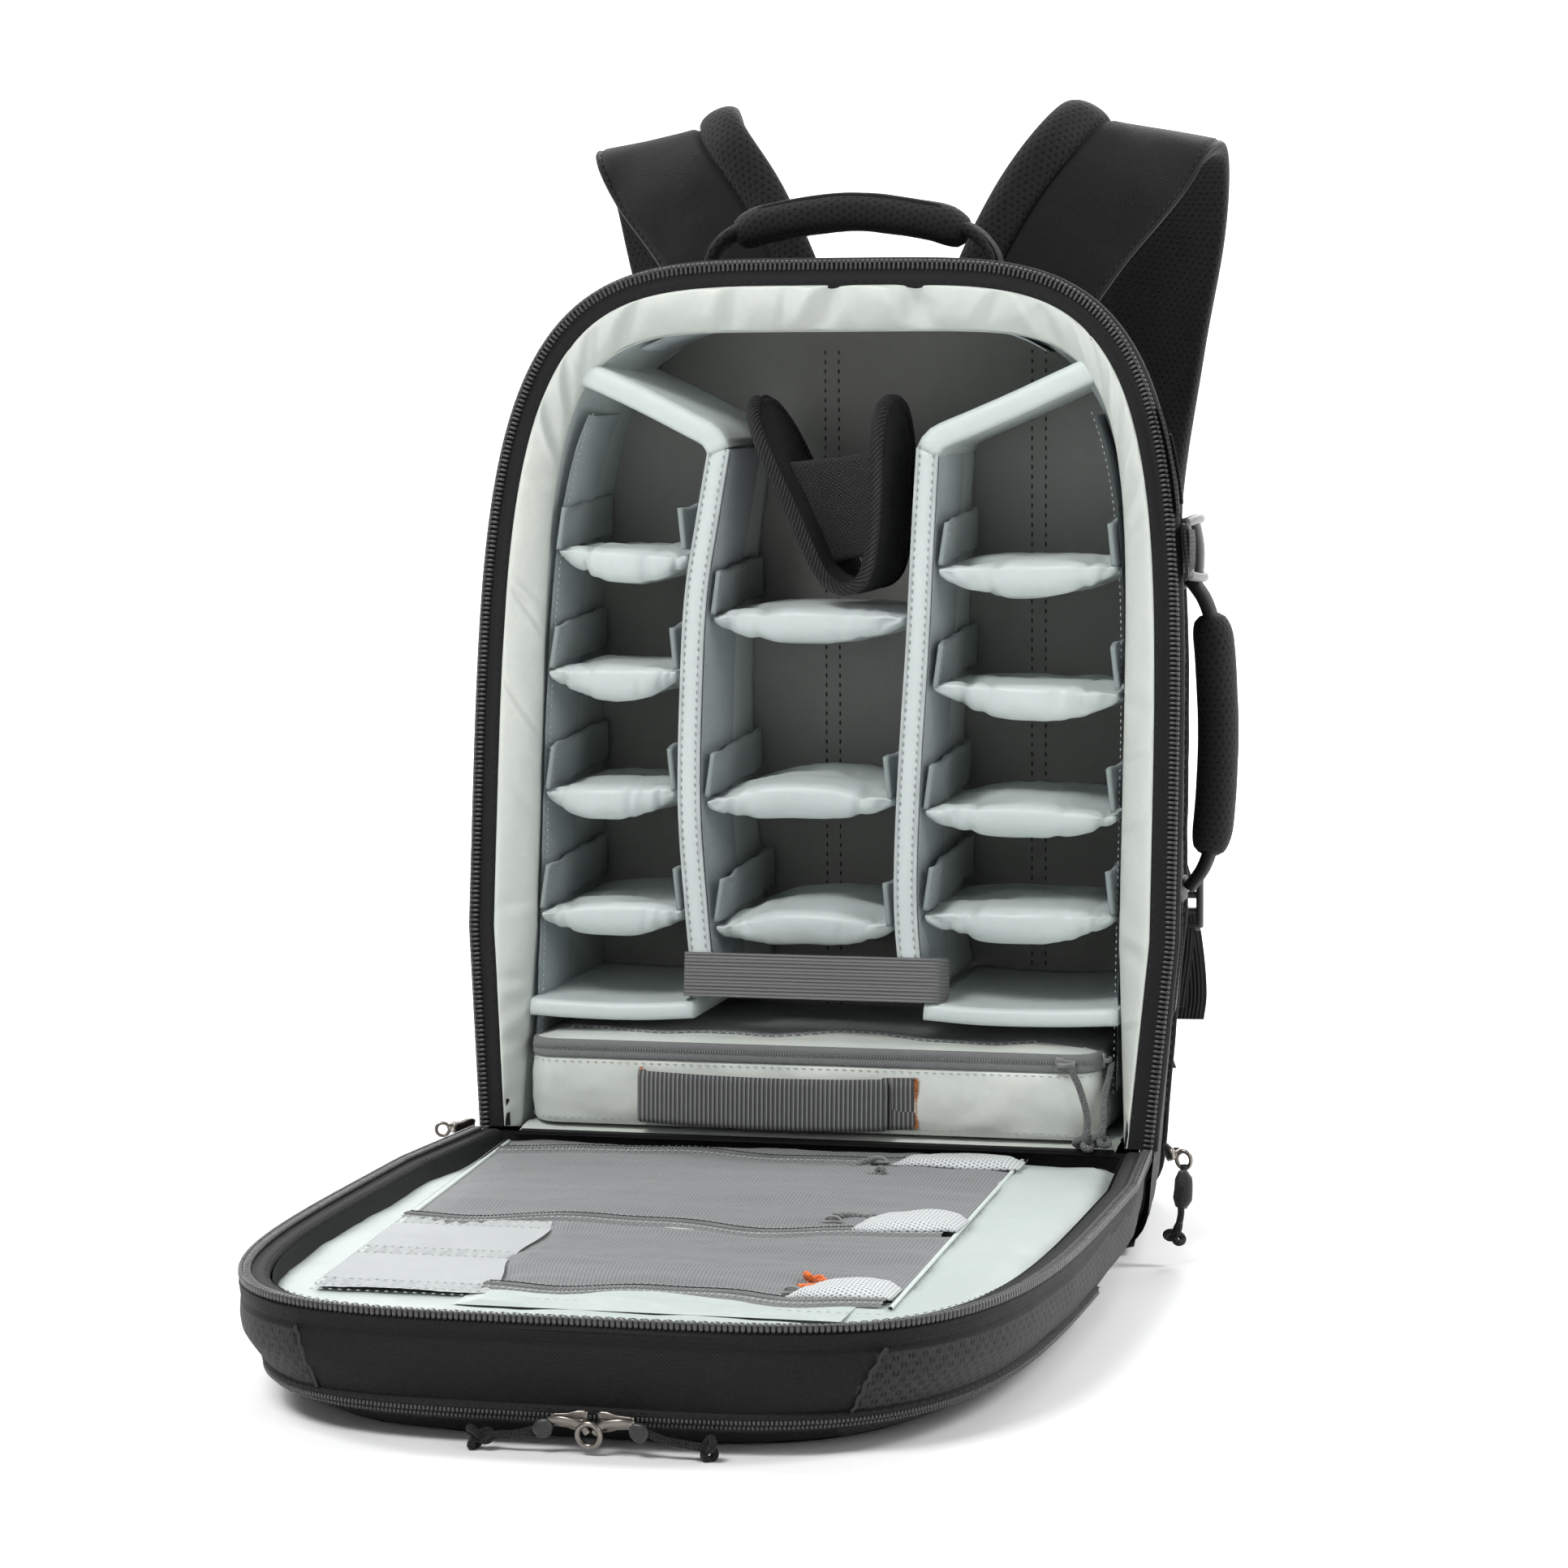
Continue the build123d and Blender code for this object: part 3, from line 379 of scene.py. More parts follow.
def fbm(p, scale, seed=0.0, octaves=3):
    v = Vector((p[0] * scale + seed, p[1] * scale + seed * 1.7, p[2] * scale - seed))
    return noise.fractal(v, 1.0, 2.0, octaves)


def fbm_arr(Pts, scale, seed=0.0, octaves=3):
    flat = Pts.reshape(-1, 3)
    return np.array([fbm(p, scale, seed, octaves) for p in flat]).reshape(Pts.shape[:-1])


def link(name, me):
    o = bpy.data.objects.new(name, me)
    scene.collection.objects.link(o)
    return o


def mesh_obj(name, verts, faces, mat, smooth=True, uv=None, mats=None, midx=None):
    """verts in mm"""
    me = bpy.data.meshes.new(name)
    me.from_pydata([tuple(v) for v in (np.asarray(verts, float) * MM)], [], [tuple(int(i) for i in f) for f in faces])
    me.validate(clean_customdata=False)
    for m_ in ([M[mat]] if mats is None else [M[k] for k in mats]):
        me.materials.append(m_)
    if midx is not None:
        me.polygons.foreach_set("material_index", np.asarray(midx, np.int32))
    if smooth:
        me.polygons.foreach_set("use_smooth", np.ones(len(me.polygons), bool))
    if uv is not None:
        lay = me.uv_layers.new(name="UVMap")
        lay.data.foreach_set("uv", np.asarray(uv, np.float32).ravel())
    me.update()
    return link(name, me)


def grid(name, G, mat, closed_u=False, closed_v=False, sub=0, flip=False, mats=None, mfun=None, cap0=False, cap1=False):
    """G is (nu, nv, 3) in mm. u closed means the first and last rows join. UVs are arc lengths in metres."""
    nu, nv = G.shape[:2]
    du = np.linalg.norm(np.diff(G, axis=0), axis=2).mean(1)
    dv = np.linalg.norm(np.diff(G, axis=1), axis=2).mean(0)
    U = np.r_[0, np.cumsum(du)] * MM
    V = np.r_[0, np.cumsum(dv)] * MM
    if closed_u:
        U = np.r_[U, U[-1] + np.linalg.norm(G[0] - G[-1], axis=1).mean() * MM]
    if closed_v:
        V = np.r_[V, V[-1] + np.linalg.norm(G[:, 0] - G[:, -1], axis=1).mean() * MM]
    faces, uv, mi = [], [], []
    for i in range(nu if closed_u else nu - 1):
        for j in range(nv if closed_v else nv - 1):
            a, b = i * nv + j, ((i + 1) % nu) * nv + j
            c, d = ((i + 1) % nu) * nv + (j + 1) % nv, i * nv + (j + 1) % nv
            f = (a, b, c, d)
            q = [(U[i], V[j]), (U[i + 1], V[j]), (U[i + 1], V[j + 1]), (U[i], V[j + 1])]
            if flip:
                f, q = f[::-1], q[::-1]
            faces.append(f)
            uv += q
            mi.append(mfun(i, j) if mfun else 0)
    if cap0:
        ring = [j if closed_v else 0 for j in range(nv)]
        f = list(range(nv))
        f = f if not flip else f[::-1]
        faces.append(tuple(f)); uv += [(0, 0)] * nv; mi.append(0)
    if cap1:
        f = [(nu - 1) * nv + j for j in range(nv)][::-1]
        f = f if not flip else f[::-1]
        faces.append(tuple(f)); uv += [(0, 0)] * nv; mi.append(0)
    o = mesh_obj(name, G.reshape(-1, 3), faces, mat, uv=uv, mats=mats, midx=mi)
    if (closed_v and cap0 and cap1) or (closed_u and closed_v):
        bm = bmesh.new()
        bm.from_mesh(o.data)
        bmesh.ops.recalc_face_normals(bm, faces=bm.faces)
        bm.to_mesh(o.data)
        bm.free()
    if sub:
        md = o.modifiers.new("sub", "SUBSURF")
        md.levels = md.render_levels = sub
    return o


def piece(o, body=BODY, rep=()):
    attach(o, body)
    if rep:
        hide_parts(*([rep] if isinstance(rep, str) else rep))
    return o


def thicken(o, t, offset=-1.0):
    md = o.modifiers.new("thick", "SOLIDIFY")
    md.thickness = t * MM
    md.offset = offset
    return o


def catmull(pts, k):
    """smooth path through points, k samples a span"""
    p = np.asarray(pts, float)
    q = np.vstack([2 * p[0] - p[1], p, 2 * p[-1] - p[-2]])
    out = []
    for i in range(1, len(q) - 2):
        for t in np.linspace(0, 1, k, endpoint=False):
            a, b, c, d = q[i - 1], q[i], q[i + 1], q[i + 2]
            out.append(0.5 * ((2 * b) + (-a + c) * t + (2 * a - 5 * b + 4 * c - d) * t ** 2 + (-a + 3 * b - 3 * c + d) * t ** 3))
    out.append(p[-1])
    return np.array(out)


def resample(p, step=None, n=None):
    p = np.asarray(p, float)
    d = np.r_[0, np.cumsum(np.linalg.norm(np.diff(p, axis=0), axis=1))]
    if n is None:
        n = max(2, int(round(d[-1] / step)) + 1)
    q = np.linspace(0, d[-1], n)
    return np.stack([np.interp(q, d, p[:, k]) for k in range(p.shape[1])], -1)


def frames(p, up):
    """tangent, side and up along a path; up is a vector or an array of vectors"""
    t = np.gradient(p, axis=0)
    t /= np.linalg.norm(t, axis=1)[:, None] + 1e-12
    up = np.broadcast_to(np.asarray(up, float), p.shape)
    s = np.cross(t, up)
    s /= np.linalg.norm(s, axis=1)[:, None] + 1e-12
    u = np.cross(s, t)
    return t, s, u


BOXV = np.array([(-1, -1, -1), (1, -1, -1), (1, 1, -1), (-1, 1, -1), (-1, -1, 1), (1, -1, 1), (1, 1, 1), (-1, 1, 1)], float) / 2
BOXF = [(0, 3, 2, 1), (4, 5, 6, 7), (0, 1, 5, 4), (1, 2, 6, 5), (2, 3, 7, 6), (3, 0, 4, 7)]
# a tooth: a short bar with rounded edges
_tb = bmesh.new()
bmesh.ops.create_cube(_tb, size=1.0)
bmesh.ops.bevel(_tb, geom=list(_tb.edges), offset=0.22, segments=1, affect="EDGES")
TV = np.array([v.co[:] for v in _tb.verts])
TF = [[v.index for v in f.verts] for f in _tb.faces]
_tb.free()
# a stitch: a small lozenge
SV = np.array([(-0.5, 0, 0), (0, -0.5, 0), (0, 0.5, 0), (0, 0, 0.5), (0.5, 0, 0), (0, 0, -0.3)], float)
SF = [(0, 1, 3), (0, 3, 2), (4, 3, 1), (4, 2, 3), (0, 2, 5), (0, 5, 1), (4, 1, 5), (4, 5, 2)]


def scatter(name, pos, T, S, U, size, mat, V0=TV, F0=TF, smooth=True):
    """copies of a small form along a path: size = (along tangent, along side, along up)"""
    verts, faces = [], []
    k = len(V0)
    for i in range(len(pos)):
        v = pos[i] + V0[:, :1] * size[0] * T[i] + V0[:, 1:2] * size[1] * S[i] + V0[:, 2:3] * size[2] * U[i]
        verts.append(v)
        faces += [[a + i * k for a in f] for f in F0]
    return mesh_obj(name, np.vstack(verts), faces, mat, smooth=smooth)


def stitches(name, paths, up, mat, body=BODY, length=3.2, gap=1.6, w=0.75, h=0.7):
    """running stitch along one or more paths in mm"""
    if isinstance(paths, np.ndarray) and paths.ndim == 2:
        paths = [paths]
    Ps, Ts, Ss, Us = [], [], [], []
    for i, p in enumerate(paths):
        q = resample(p, step=length + gap)
        if len(q) < 3:
            continue
        upv_ = up if not isinstance(up, list) else up[i]
        if isinstance(upv_, np.ndarray) and upv_.ndim == 2:
            upv_ = resample(np.hstack([p, upv_]), n=len(q))[:, 3:]
        t, s, u = frames(q, upv_)
        Ps.append(q); Ts.append(t); Ss.append(s); Us.append(u)
    o = scatter(name, np.vstack(Ps), np.vstack(Ts), np.vstack(Ss), np.vstack(Us), (length, w, h), mat, SV, SF)
    return piece(o, body)


def ribbon(name, path, side, width, mat, body=BODY, t=1.4, rep=(), slot=None, nw=6, crown=0.0, edge=0.35, **kw):
    """a flat strap: path in mm, side = direction of its width (vector or array); closed section with rounded edges"""
    p = np.asarray(path, float)
    sd = np.broadcast_to(np.asarray(side, float), p.shape)
    sd = sd / np.linalg.norm(sd, axis=1)[:, None]
    tg = np.gradient(p, axis=0)
    tg /= np.linalg.norm(tg, axis=1)[:, None] + 1e-12
    nn = np.cross(tg, sd)
    nn /= np.linalg.norm(nn, axis=1)[:, None] + 1e-12
    a = np.linspace(-1, 1, nw)
    top = [(x, 0.5 - edge * abs(x) ** 8) for x in a]
    bot = [(x, -0.5 + edge * abs(x) ** 8) for x in a[::-1]]
    sec = np.array(top + bot)
    w = width if np.ndim(width) else np.full(len(p), width)
    G = p[:, None, :] + sec[None, :, :1] * (w[:, None, None] / 2) * sd[:, None, :] + (sec[None, :, 1:] * t + crown * (1 - sec[None, :, :1] ** 2)) * nn[:, None, :]
    o = grid(name, G, mat, closed_v=True, cap0=True, cap1=True, **kw)
    return piece(o, body, rep)


def tube_grid(path, up, rx, ry, n=20, power=2.0, squash_top=None):
    """closed section along a path; rx along side, ry along up; arrays allowed"""
    t, s, u = frames(path, up)
    a = np.linspace(0, 2 * np.pi, n, endpoint=False)
    c, d = np.cos(a), np.sin(a)
    c = np.sign(c) * np.abs(c) ** (2 / power)
    d = np.sign(d) * np.abs(d) ** (2 / power)
    rx = np.broadcast_to(rx, (len(path),))[:, None, None]
    ry = np.broadcast_to(ry, (len(path),))[:, None, None]
    return path[:, None, :] + c[None, :, None] * rx * s[:, None, :] + d[None, :, None] * ry * u[:, None, :]


def rbox(name, lo, hi, mat, body=BODY, bevel=0.8, seg=3, rep=()):
    """a moulded block with rounded edges, in mm"""
    lo, hi = np.asarray(lo, float), np.asarray(hi, float)
    bm = bmesh.new()
    bmesh.ops.create_cube(bm, size=1.0)
    for v in bm.verts:
        v.co = Vector(tuple(((lo + hi) / 2 + np.array(v.co) * (hi - lo)) * MM))
    bmesh.ops.bevel(bm, geom=list(bm.edges), offset=bevel * MM, segments=seg, affect="EDGES", profile=0.6)
    me = bpy.data.meshes.new(name)
    bm.to_mesh(me)
    bm.free()
    me.materials.append(M[mat])
    me.polygons.foreach_set("use_smooth", np.ones(len(me.polygons), bool))
    return piece(link(name, me), body, rep)


def join(name, objs):
    """one mesh from several, modifiers applied"""
    deps = bpy.context.evaluated_depsgraph_get()
    bm = bmesh.new()
    mats = []
    for o in objs:
        me = bpy.data.meshes.new_from_object(o.evaluated_get(deps))
        me.transform(o.matrix_world)
        off = len(mats)
        mats += list(me.materials)
        for p in me.polygons:
            p.material_index += off
        bm.from_mesh(me)
    me = bpy.data.meshes.new(name)
    bm.to_mesh(me)
    bm.free()
    uniq = []
    for m_ in mats:
        if m_ not in uniq:
            uniq.append(m_)
    for m_ in uniq:
        me.materials.append(m_)
    idx = [uniq.index(mats[p.material_index]) for p in me.polygons]
    me.polygons.foreach_set("material_index", np.asarray(idx, np.int32))
    for o in objs:
        bpy.data.objects.remove(o)
    return link(name, me)


def apply_mods(o):
    deps = bpy.context.evaluated_depsgraph_get()
    me = bpy.data.meshes.new_from_object(o.evaluated_get(deps))
    o.modifiers.clear()
    o.data = me
    return o


def cloth(o, pin=None, pressure=4.0, frames_=20, cap=6.0, shrink=0.0, voxel=None, gravity=0.0, bend=0.5, tension=8.0, sub=0):
    """swells a closed form as cloth, then keeps the result. pin is a function of the vertices in mm giving 0..1"""
    if voxel:
        rm = o.modifiers.new("rm", "REMESH")
        rm.mode = "VOXEL"
        rm.voxel_size = voxel * MM
        rm.use_smooth_shade = True
        apply_mods(o)
    me = o.data
    rest = np.zeros(len(me.vertices) * 3)
    me.vertices.foreach_get("co", rest)
    rest = rest.reshape(-1, 3)
    md = o.modifiers.new("cloth", "CLOTH")
    st = md.settings
    st.quality = 5
    st.mass = 0.2
    st.use_pressure = pressure != 0
    st.uniform_pressure_force = pressure
    st.effector_weights.gravity = gravity
    st.tension_stiffness = st.compression_stiffness = tension
    st.shear_stiffness = tension * 0.6
    st.bending_stiffness = bend
    st.tension_damping = st.compression_damping = 8.0
    st.air_damping = 2.0
    st.shrink_min = shrink
    md.collision_settings.use_collision = False
    md.collision_settings.use_self_collision = False
    if pin is not None:
        g = o.vertex_groups.new(name="pin")
        w = np.clip(pin(rest / MM), 0, 1)
        for i, x in enumerate(w):
            if x > 0:
                g.add([i], float(x), "REPLACE")
        st.vertex_group_mass = "pin"
    md.point_cache.frame_start, md.point_cache.frame_end = 1, frames_ + 1
    for f in range(1, frames_ + 1):
        scene.frame_set(f)
    deps = bpy.context.evaluated_depsgraph_get()
    ev = o.evaluated_get(deps).data
    co = np.zeros(len(ev.vertices) * 3)
    ev.vertices.foreach_get("co", co)
    co = co.reshape(-1, 3)
    o.modifiers.clear()
    o.vertex_groups.clear()
    scene.frame_set(1)
    if len(co) == len(rest):
        d = co - rest
        L = np.linalg.norm(d, axis=1)
        k = np.where(L > cap * MM, cap * MM / np.maximum(L, 1e-9), 1.0)
        d *= k[:, None]
        d[~np.isfinite(d).all(1)] = 0
        me.vertices.foreach_set("co", (rest + d).ravel())
        me.update()
    if sub:
        m2 = o.modifiers.new("sub", "SUBSURF")
        m2.levels = m2.render_levels = sub
    return o


def cord(name, pts, d, mat, body, rep, knot=None):
    """a free cord on one NURBS line"""
    cu = bpy.data.curves.new(name, "CURVE")
    cu.dimensions = "3D"
    sp = cu.splines.new("NURBS")
    sp.points.add(len(pts) - 1)
    for q, p in zip(sp.points, pts):
        q.co = (p[0] * MM, p[1] * MM, p[2] * MM, 1.0)
    sp.order_u = 3
    sp.use_endpoint_u = True
    sp.resolution_u = 12
    cu.bevel_depth = d * MM / 2
    cu.bevel_resolution = 5
    cu.use_fill_caps = True
    cu.materials.append(M[mat])
    o = bpy.data.objects.new(name, cu)
    scene.collection.objects.link(o)
    piece(o, body, rep)
    if knot is not None:
        make_knot(name + "_knot", knot[0], knot[1], d, mat, body)
    return o


def make_knot(name, c, axis, d, mat, body, size=1.0):
    """an overhand knot drawn tight: a trefoil tube pulled along the cord"""
    a = np.asarray(axis, float)
    a /= np.linalg.norm(a)
    e1 = np.cross(a, (0.3, 0.9, 0.2)); e1 /= np.linalg.norm(e1)
    e2 = np.cross(a, e1)
    t = np.linspace(0, 2 * np.pi, 72, endpoint=False)
    r = d * 0.62 * size
    X = r * (np.sin(t) + 1.25 * np.sin(2 * t))
    Y = r * (np.cos(t) - 1.25 * np.cos(2 * t))
    Z = r * -1.0 * np.sin(3 * t)
    p = np.asarray(c, float) + X[:, None] * e1 + Y[:, None] * a * 1.15 + Z[:, None] * e2
    tg = np.roll(p, -1, 0) - np.roll(p, 1, 0)
    tg /= np.linalg.norm(tg, axis=1)[:, None]
    s = np.cross(tg, np.asarray(c) - p + e2 * 0.01); s /= np.linalg.norm(s, axis=1)[:, None]
    u = np.cross(s, tg)
    b = np.linspace(0, 2 * np.pi, 12, endpoint=False)
    G = p[:, None] + (np.cos(b)[None, :, None] * s[:, None] + np.sin(b)[None, :, None] * u[:, None]) * d * 0.5
    o = grid(name, G, mat, closed_u=True, closed_v=True)
    return piece(o, body)


# ------------------------------------------------------------------ cords
YC, YZP = -74.875, -508.2
ZT = HZ


def L3(x, t, d):
    return np.stack(np.broadcast_arrays(x, HY - np.asarray(t, float), HZ - np.asarray(d, float)), -1).astype(float)


def end_knot(pts, back_off=0.0):
    p = np.asarray(pts, float)
    a = p[-1] - p[-2]
    return (tuple(p[-1] - a / np.linalg.norm(a) * back_off), a)


for nm, pts, d, mt, bd in [
    ("case_cord_front", [(124.6, YC - 5.4, 88), (128.6, YC - 7.4, 82.5), (131.4, YC - 7.9, 75), (133.6, YC - 7.6, 67), (134.2, YC - 7.4, 59), (132.6, YC - 7.9, 52.9)], 3.2, "cordgrey", "case_slider_a"),
    ("case_cord_side", [(141.4, YC + 17, 86), (141.2, YC + 12, 81), (140.6, YC + 5, 76), (140.6, YC - 1, 69.5), (141.4, YC - 4.6, 62), (140.2, YC - 6.6, 54.4)], 3.2, "cordgrey", "case_slider_b"),
    ("pocket_cord_near", [tuple(L3(*q)) for q in [(38.5, 34, 2.75), (34, 41, 3.2), (31.6, 49.5, 4.6), (34.2, 58, 5.3), (40.4, 63.6, 5.3), (46.8, 62.6, 5.3)]], 2.8, "cordgrey", "pocket_slider_1"),
    ("pocket_cord_middle", [tuple(L3(*q)) for q in [(52.5, 177, 2.75), (55.5, 171, 3.2), (60.5, 165.5, 4.6), (67.5, 164.5, 5.3), (72.5, 169.5, 5.3), (71.5, 176.5, 5.3)]], 2.8, "cordgrey", "pocket_slider_2"),
    ("pocket_cord_far", [tuple(L3(*q)) for q in [(72, 327, 2.75), (77.5, 321.5, 3.2), (83, 316, 4.6), (84.5, 308, 5.3), (79.5, 302.5, 5.3), (72.5, 303.5, 5.3)]], 2.8, "cordorange", "pocket_slider_3"),
    ("front_cord_left", [(-2.7, YZP - 4, 10.5), (-8.5, YZP - 5.2, 8.6), (-16, YZP - 5.6, 6.3), (-24, YZP - 4.6, 5.5), (-31.5, YZP - 5.6, 4.6)], 3.2, "cordblack", "front_slider_a"),
    ("front_cord_right", [(31.3, YZP - 4, 10.5), (37, YZP - 5.2, 9), (44.5, YZP - 5.6, 6.6), (52.5, YZP - 4.4, 5.4), (60, YZP - 4.8, 4.4)], 3.2, "cordblack", "front_slider_b"),
    ("main_cord_right", [(181.5, -93, 45.5), (182.2, -95.5, 38), (180.6, -98.5, 30), (181.8, -100, 22), (179, -101, 14)], 3.2, "cordblack", "main_pull"),
]:
    cord(nm + "_line", pts, d, mt, bd, nm, knot=end_knot(pts))

# ------------------------------------------------------------------ body shell
def body_ring(off_f, off_b, y, M_=240, s0=0.0):
    """shell outline at depth y, from the right foot over the top to the left foot"""
    a, nr = outline(M_=M_, off=off_f, s0=s0)
    b, _ = outline(M_=M_, off=off_b, s0=s0)
    za, zb = HZ + a[:, 1] * CL, HZ + b[:, 1] * CL
    yf = HY + a[:, 1] * SL
    f = (y - yf) / (84.0 - yf)
    return np.stack([a[:, 0] + (b[:, 0] - a[:, 0]) * f, np.broadcast_to(y, yf.shape), za + (zb - za) * f], -1), nr


def shell_point(p, nr, f, off):
    """the wall between opening and back at fraction f, pushed out by off"""
    x = p[:, 0] + nr[:, 0] * (6.0 - 20.0 * f + off)
    z = HZ + (p[:, 1] + nr[:, 1] * (6.0 - 20.0 * f + off)) * CL
    yf = HY + p[:, 1] * SL
    return x, yf, z


p0, nr0 = outline(M_=220)
# wall from the zip's tape round to the back with a rounded rear edge, carried down to the floor
def side_wall(name, k0, k1, mat, extra=0.0):
    prof = []                                   # (fraction of depth, outward offset)
    for f in np.linspace(0.0, 0.90, 22):
        prof.append((f, 1.2 * math.sin(math.pi * f) + extra))
    for a in np.linspace(0, math.pi / 2, 7)[1:]:
        prof.append((0.90 + 0.10 * math.sin(a), -11.0 * (1 - math.cos(a)) + extra))
    rows = []
    for f, o in prof:
        x, yf, z = shell_point(p0, nr0, f, o)
        y = yf + (84.0 - yf) * f
        if f == 0.0:
            y = y + 2.6
        rows.append(np.stack([x, y, z], -1))
    G = np.stack(rows, 1)                        # (outline, depth, 3)
    # down to the floor on both sides with a rounded bottom edge
    def foot(row, sgn):
        out = []
        for a in np.linspace(0, 1, 14)[1:]:
            r = row.copy()
            zt = HZ * (1 - a)
            r[:, 2] = row[:, 2] * 0 + zt + (row[:, 2] - HZ) * (1 - a)
            q = max(0.0, (20.0 - zt) / 20.0)
            r[:, 0] = row[:, 0] - sgn * (20.0 * (1 - math.sqrt(max(0.0, 1 - q * q))) + 4.0 * a)
            out.append(r)
        return out
    R = foot(G[0], 1)
    Lf = foot(G[-1], -1)
    G = np.concatenate([np.stack(R[::-1]), G, np.stack(Lf)])
    w = fbm_arr(G, 0.022, 3.0) * 0.8
    nrm = np.gradient(G, axis=0)
    G[..., 0] += np.sign(G[..., 0]) * w * (np.abs(G[..., 0]) > 60)
    G[:, 0, 1] = np.maximum(G[:, 0, 1], -81.5)
    return G


GS = side_wall("wall", 0, 1, "ballistic")
GS[..., 1] = np.maximum(GS[..., 1], -83.2)
nv_ = GS.shape[1]


def wall_mat(i, j):
    z = GS[i, j, 2]
    ax = abs(GS[i, j, 0])
    return 1 if (ax > 130 and 45 < z < 400 and 3 <= j <= 19) else 0


w = grid("body_wall", GS, "ballistic", flip=True, mats=["ballistic", "charcoal"], mfun=wall_mat)
piece(w, BODY, "outer_shell")
# piping along the rear edge, stitches along the charcoal panels
edge = GS[:, 20] * 1.0
edge_n = np.zeros_like(edge); edge_n[:, 0] = nr0[np.clip(np.arange(len(edge)) - 13, 0, 219), 0]; edge_n[:, 2] = nr0[np.clip(np.arange(len(edge)) - 13, 0, 219), 1]
pe = resample(edge + edge_n * 0.6, step=4.0)
piece(grid("rear_piping", tube_grid(pe, (0, 1, 0), 1.9, 1.9, 12), "ballistic", closed_v=True), BODY)
for sg in (1, -1):
    rows = [i for i in range(len(GS)) if 45 < GS[i, 3, 2] < 400 and GS[i, 3, 0] * sg > 130]
    for j, nm in ((3, "front"), (19, "rear")):
        pth = GS[rows, j] + np.array([sg * 0.5, 0, 0])
        stitches("panel_stitch_%s_%s" % (nm, "r" if sg > 0 else "l"), pth[:: max(1, len(pth) // 60)], (sg, 0, 0), "threadblack", w=0.9, h=0.8)

# underside, back cloth
nb = 40
xs = np.linspace(-1, 1, nb)
ys = np.linspace(0, 1, 24)
G = np.zeros((nb, 24, 3))
for j, v in enumerate(ys):
    y = -83.0 + 166.0 * v
    f = np.clip((y - HY) / (84 - HY), 0, 1)
    hw = 165.6 - 20 * f - 23.0
    G[:, j, 0] = xs * (hw + 14.0)
    G[:, j, 1] = y
    G[:, j, 2] = 0.4 + 1.6 * np.clip((np.abs(xs) - 0.85) / 0.15, 0, 1) ** 2 * 2
piece(grid("base_cloth", G, "ballistic", flip=True), BODY, "base_panel")
# front skirt of the base under the opening
nx = 80
x = np.linspace(-1, 1, nx)
G = np.zeros((nx, 10, 3))
for j, v in enumerate(np.linspace(0, 1, 10)):
    z = 0.5 + 47.5 * v
    hwz = np.interp(z, [0.5, 20, 48], [148, 160.5, 163.5])
    G[:, j, 0] = x * hwz
    G[:, j, 1] = -82.6 + 0.9 * math.sin(math.pi * v)
    G[:, j, 2] = z
piece(grid("base_front", G, "ballistic"), BODY)

# back cloth, follows the wall's rear edge
ring = GS[:, -1]
rr_ = ring[:len(ring) // 2]
G = np.zeros((70, 90, 3))
for j, v in enumerate(np.linspace(0, 1, 90)):
    zb_ = 1.0 + (ring[:, 2].max() - 1.4) * v
    o_ = np.argsort(rr_[:, 2])
    hw = float(np.interp(zb_, rr_[o_, 2], rr_[o_, 0]))
    G[:, j] = np.stack([np.linspace(-1, 1, 70) * max(hw, 1.0), np.full(70, 83.6), np.full(70, zb_)], -1)
piece(grid("back_cloth", G, "ballistic", flip=False), BODY, ("back_cover",))

# ------------------------------------------------------------------ zips
def rim_path(off, n, M_=400, s0=0.0, fn="body"):
    p, nr = outline(M_=M_, off=off, s0=s0)
    if fn == "body":
        return P(p[:, 0], p[:, 1], n), P(nr[:, 0], nr[:, 1], 0) - P(0, 0, 0)
    return L3(p[:, 0], p[:, 1], n), np.stack([nr[:, 0], -nr[:, 1], nr[:, 0] * 0], -1)


def teeth_run(name, path, out, up, size, pitch, mat, body):
    q = resample(np.hstack([path, out]), step=pitch)
    p, o = q[:, :3], q[:, 3:]
    t = np.gradient(p, axis=0); t /= np.linalg.norm(t, axis=1)[:, None]
    o = o - (o * t).sum(1)[:, None] * t
    o /= np.linalg.norm(o, axis=1)[:, None]
    u = np.cross(t, o)
    return piece(scatter(name, p, t, o, u, size, mat), body)


up_rim = np.array([0, -CL, SL])
# body side: a rounded tape with a stitched fold, then the teeth standing on its outer edge
p1, n1 = outline(M_=420)
prof = [(-8.5, -3.0), (-7.6, -0.9), (-6.6, -0.2), (-4.2, 0.35), (-1.6, 0.2), (-0.9, -0.1), (-0.4, 0.15), (2.2, 0.2), (2.8, -0.3), (4.2, -0.7), (5.8, -1.3), (7.2, -2.6), (7.6, -4.6), (7.0, -7.0)]
G = np.stack([P(p1[:, 0] + n1[:, 0] * o, p1[:, 1] + n1[:, 1] * o, n) for o, n in prof], 1)
piece(grid("body_zip_tape", G, "tape", flip=False), BODY, "main_zip_body")
pth, out = rim_path(2.9, 0.9)
teeth_run("body_zip_teeth", pth, out, up_rim, (1.35, 3.8, 1.9), 2.35, "teeth", BODY)
pth, out = rim_path(5.0, 0.7)
teeth_run("body_zip_heads", pth, out, up_rim, (1.75, 1.6, 2.7), 2.35, "teeth", BODY)
for off, nm in ((-5.0, "a"), (4.6, "b")):
    p_, n_ = outline(M_=300, off=off)
    stitches("zip_tape_stitch_" + nm, P(p_[:, 0], p_[:, 1], 0.25 if off < 0 else -0.75), up_rim, "threadblack", w=0.7, h=0.5)

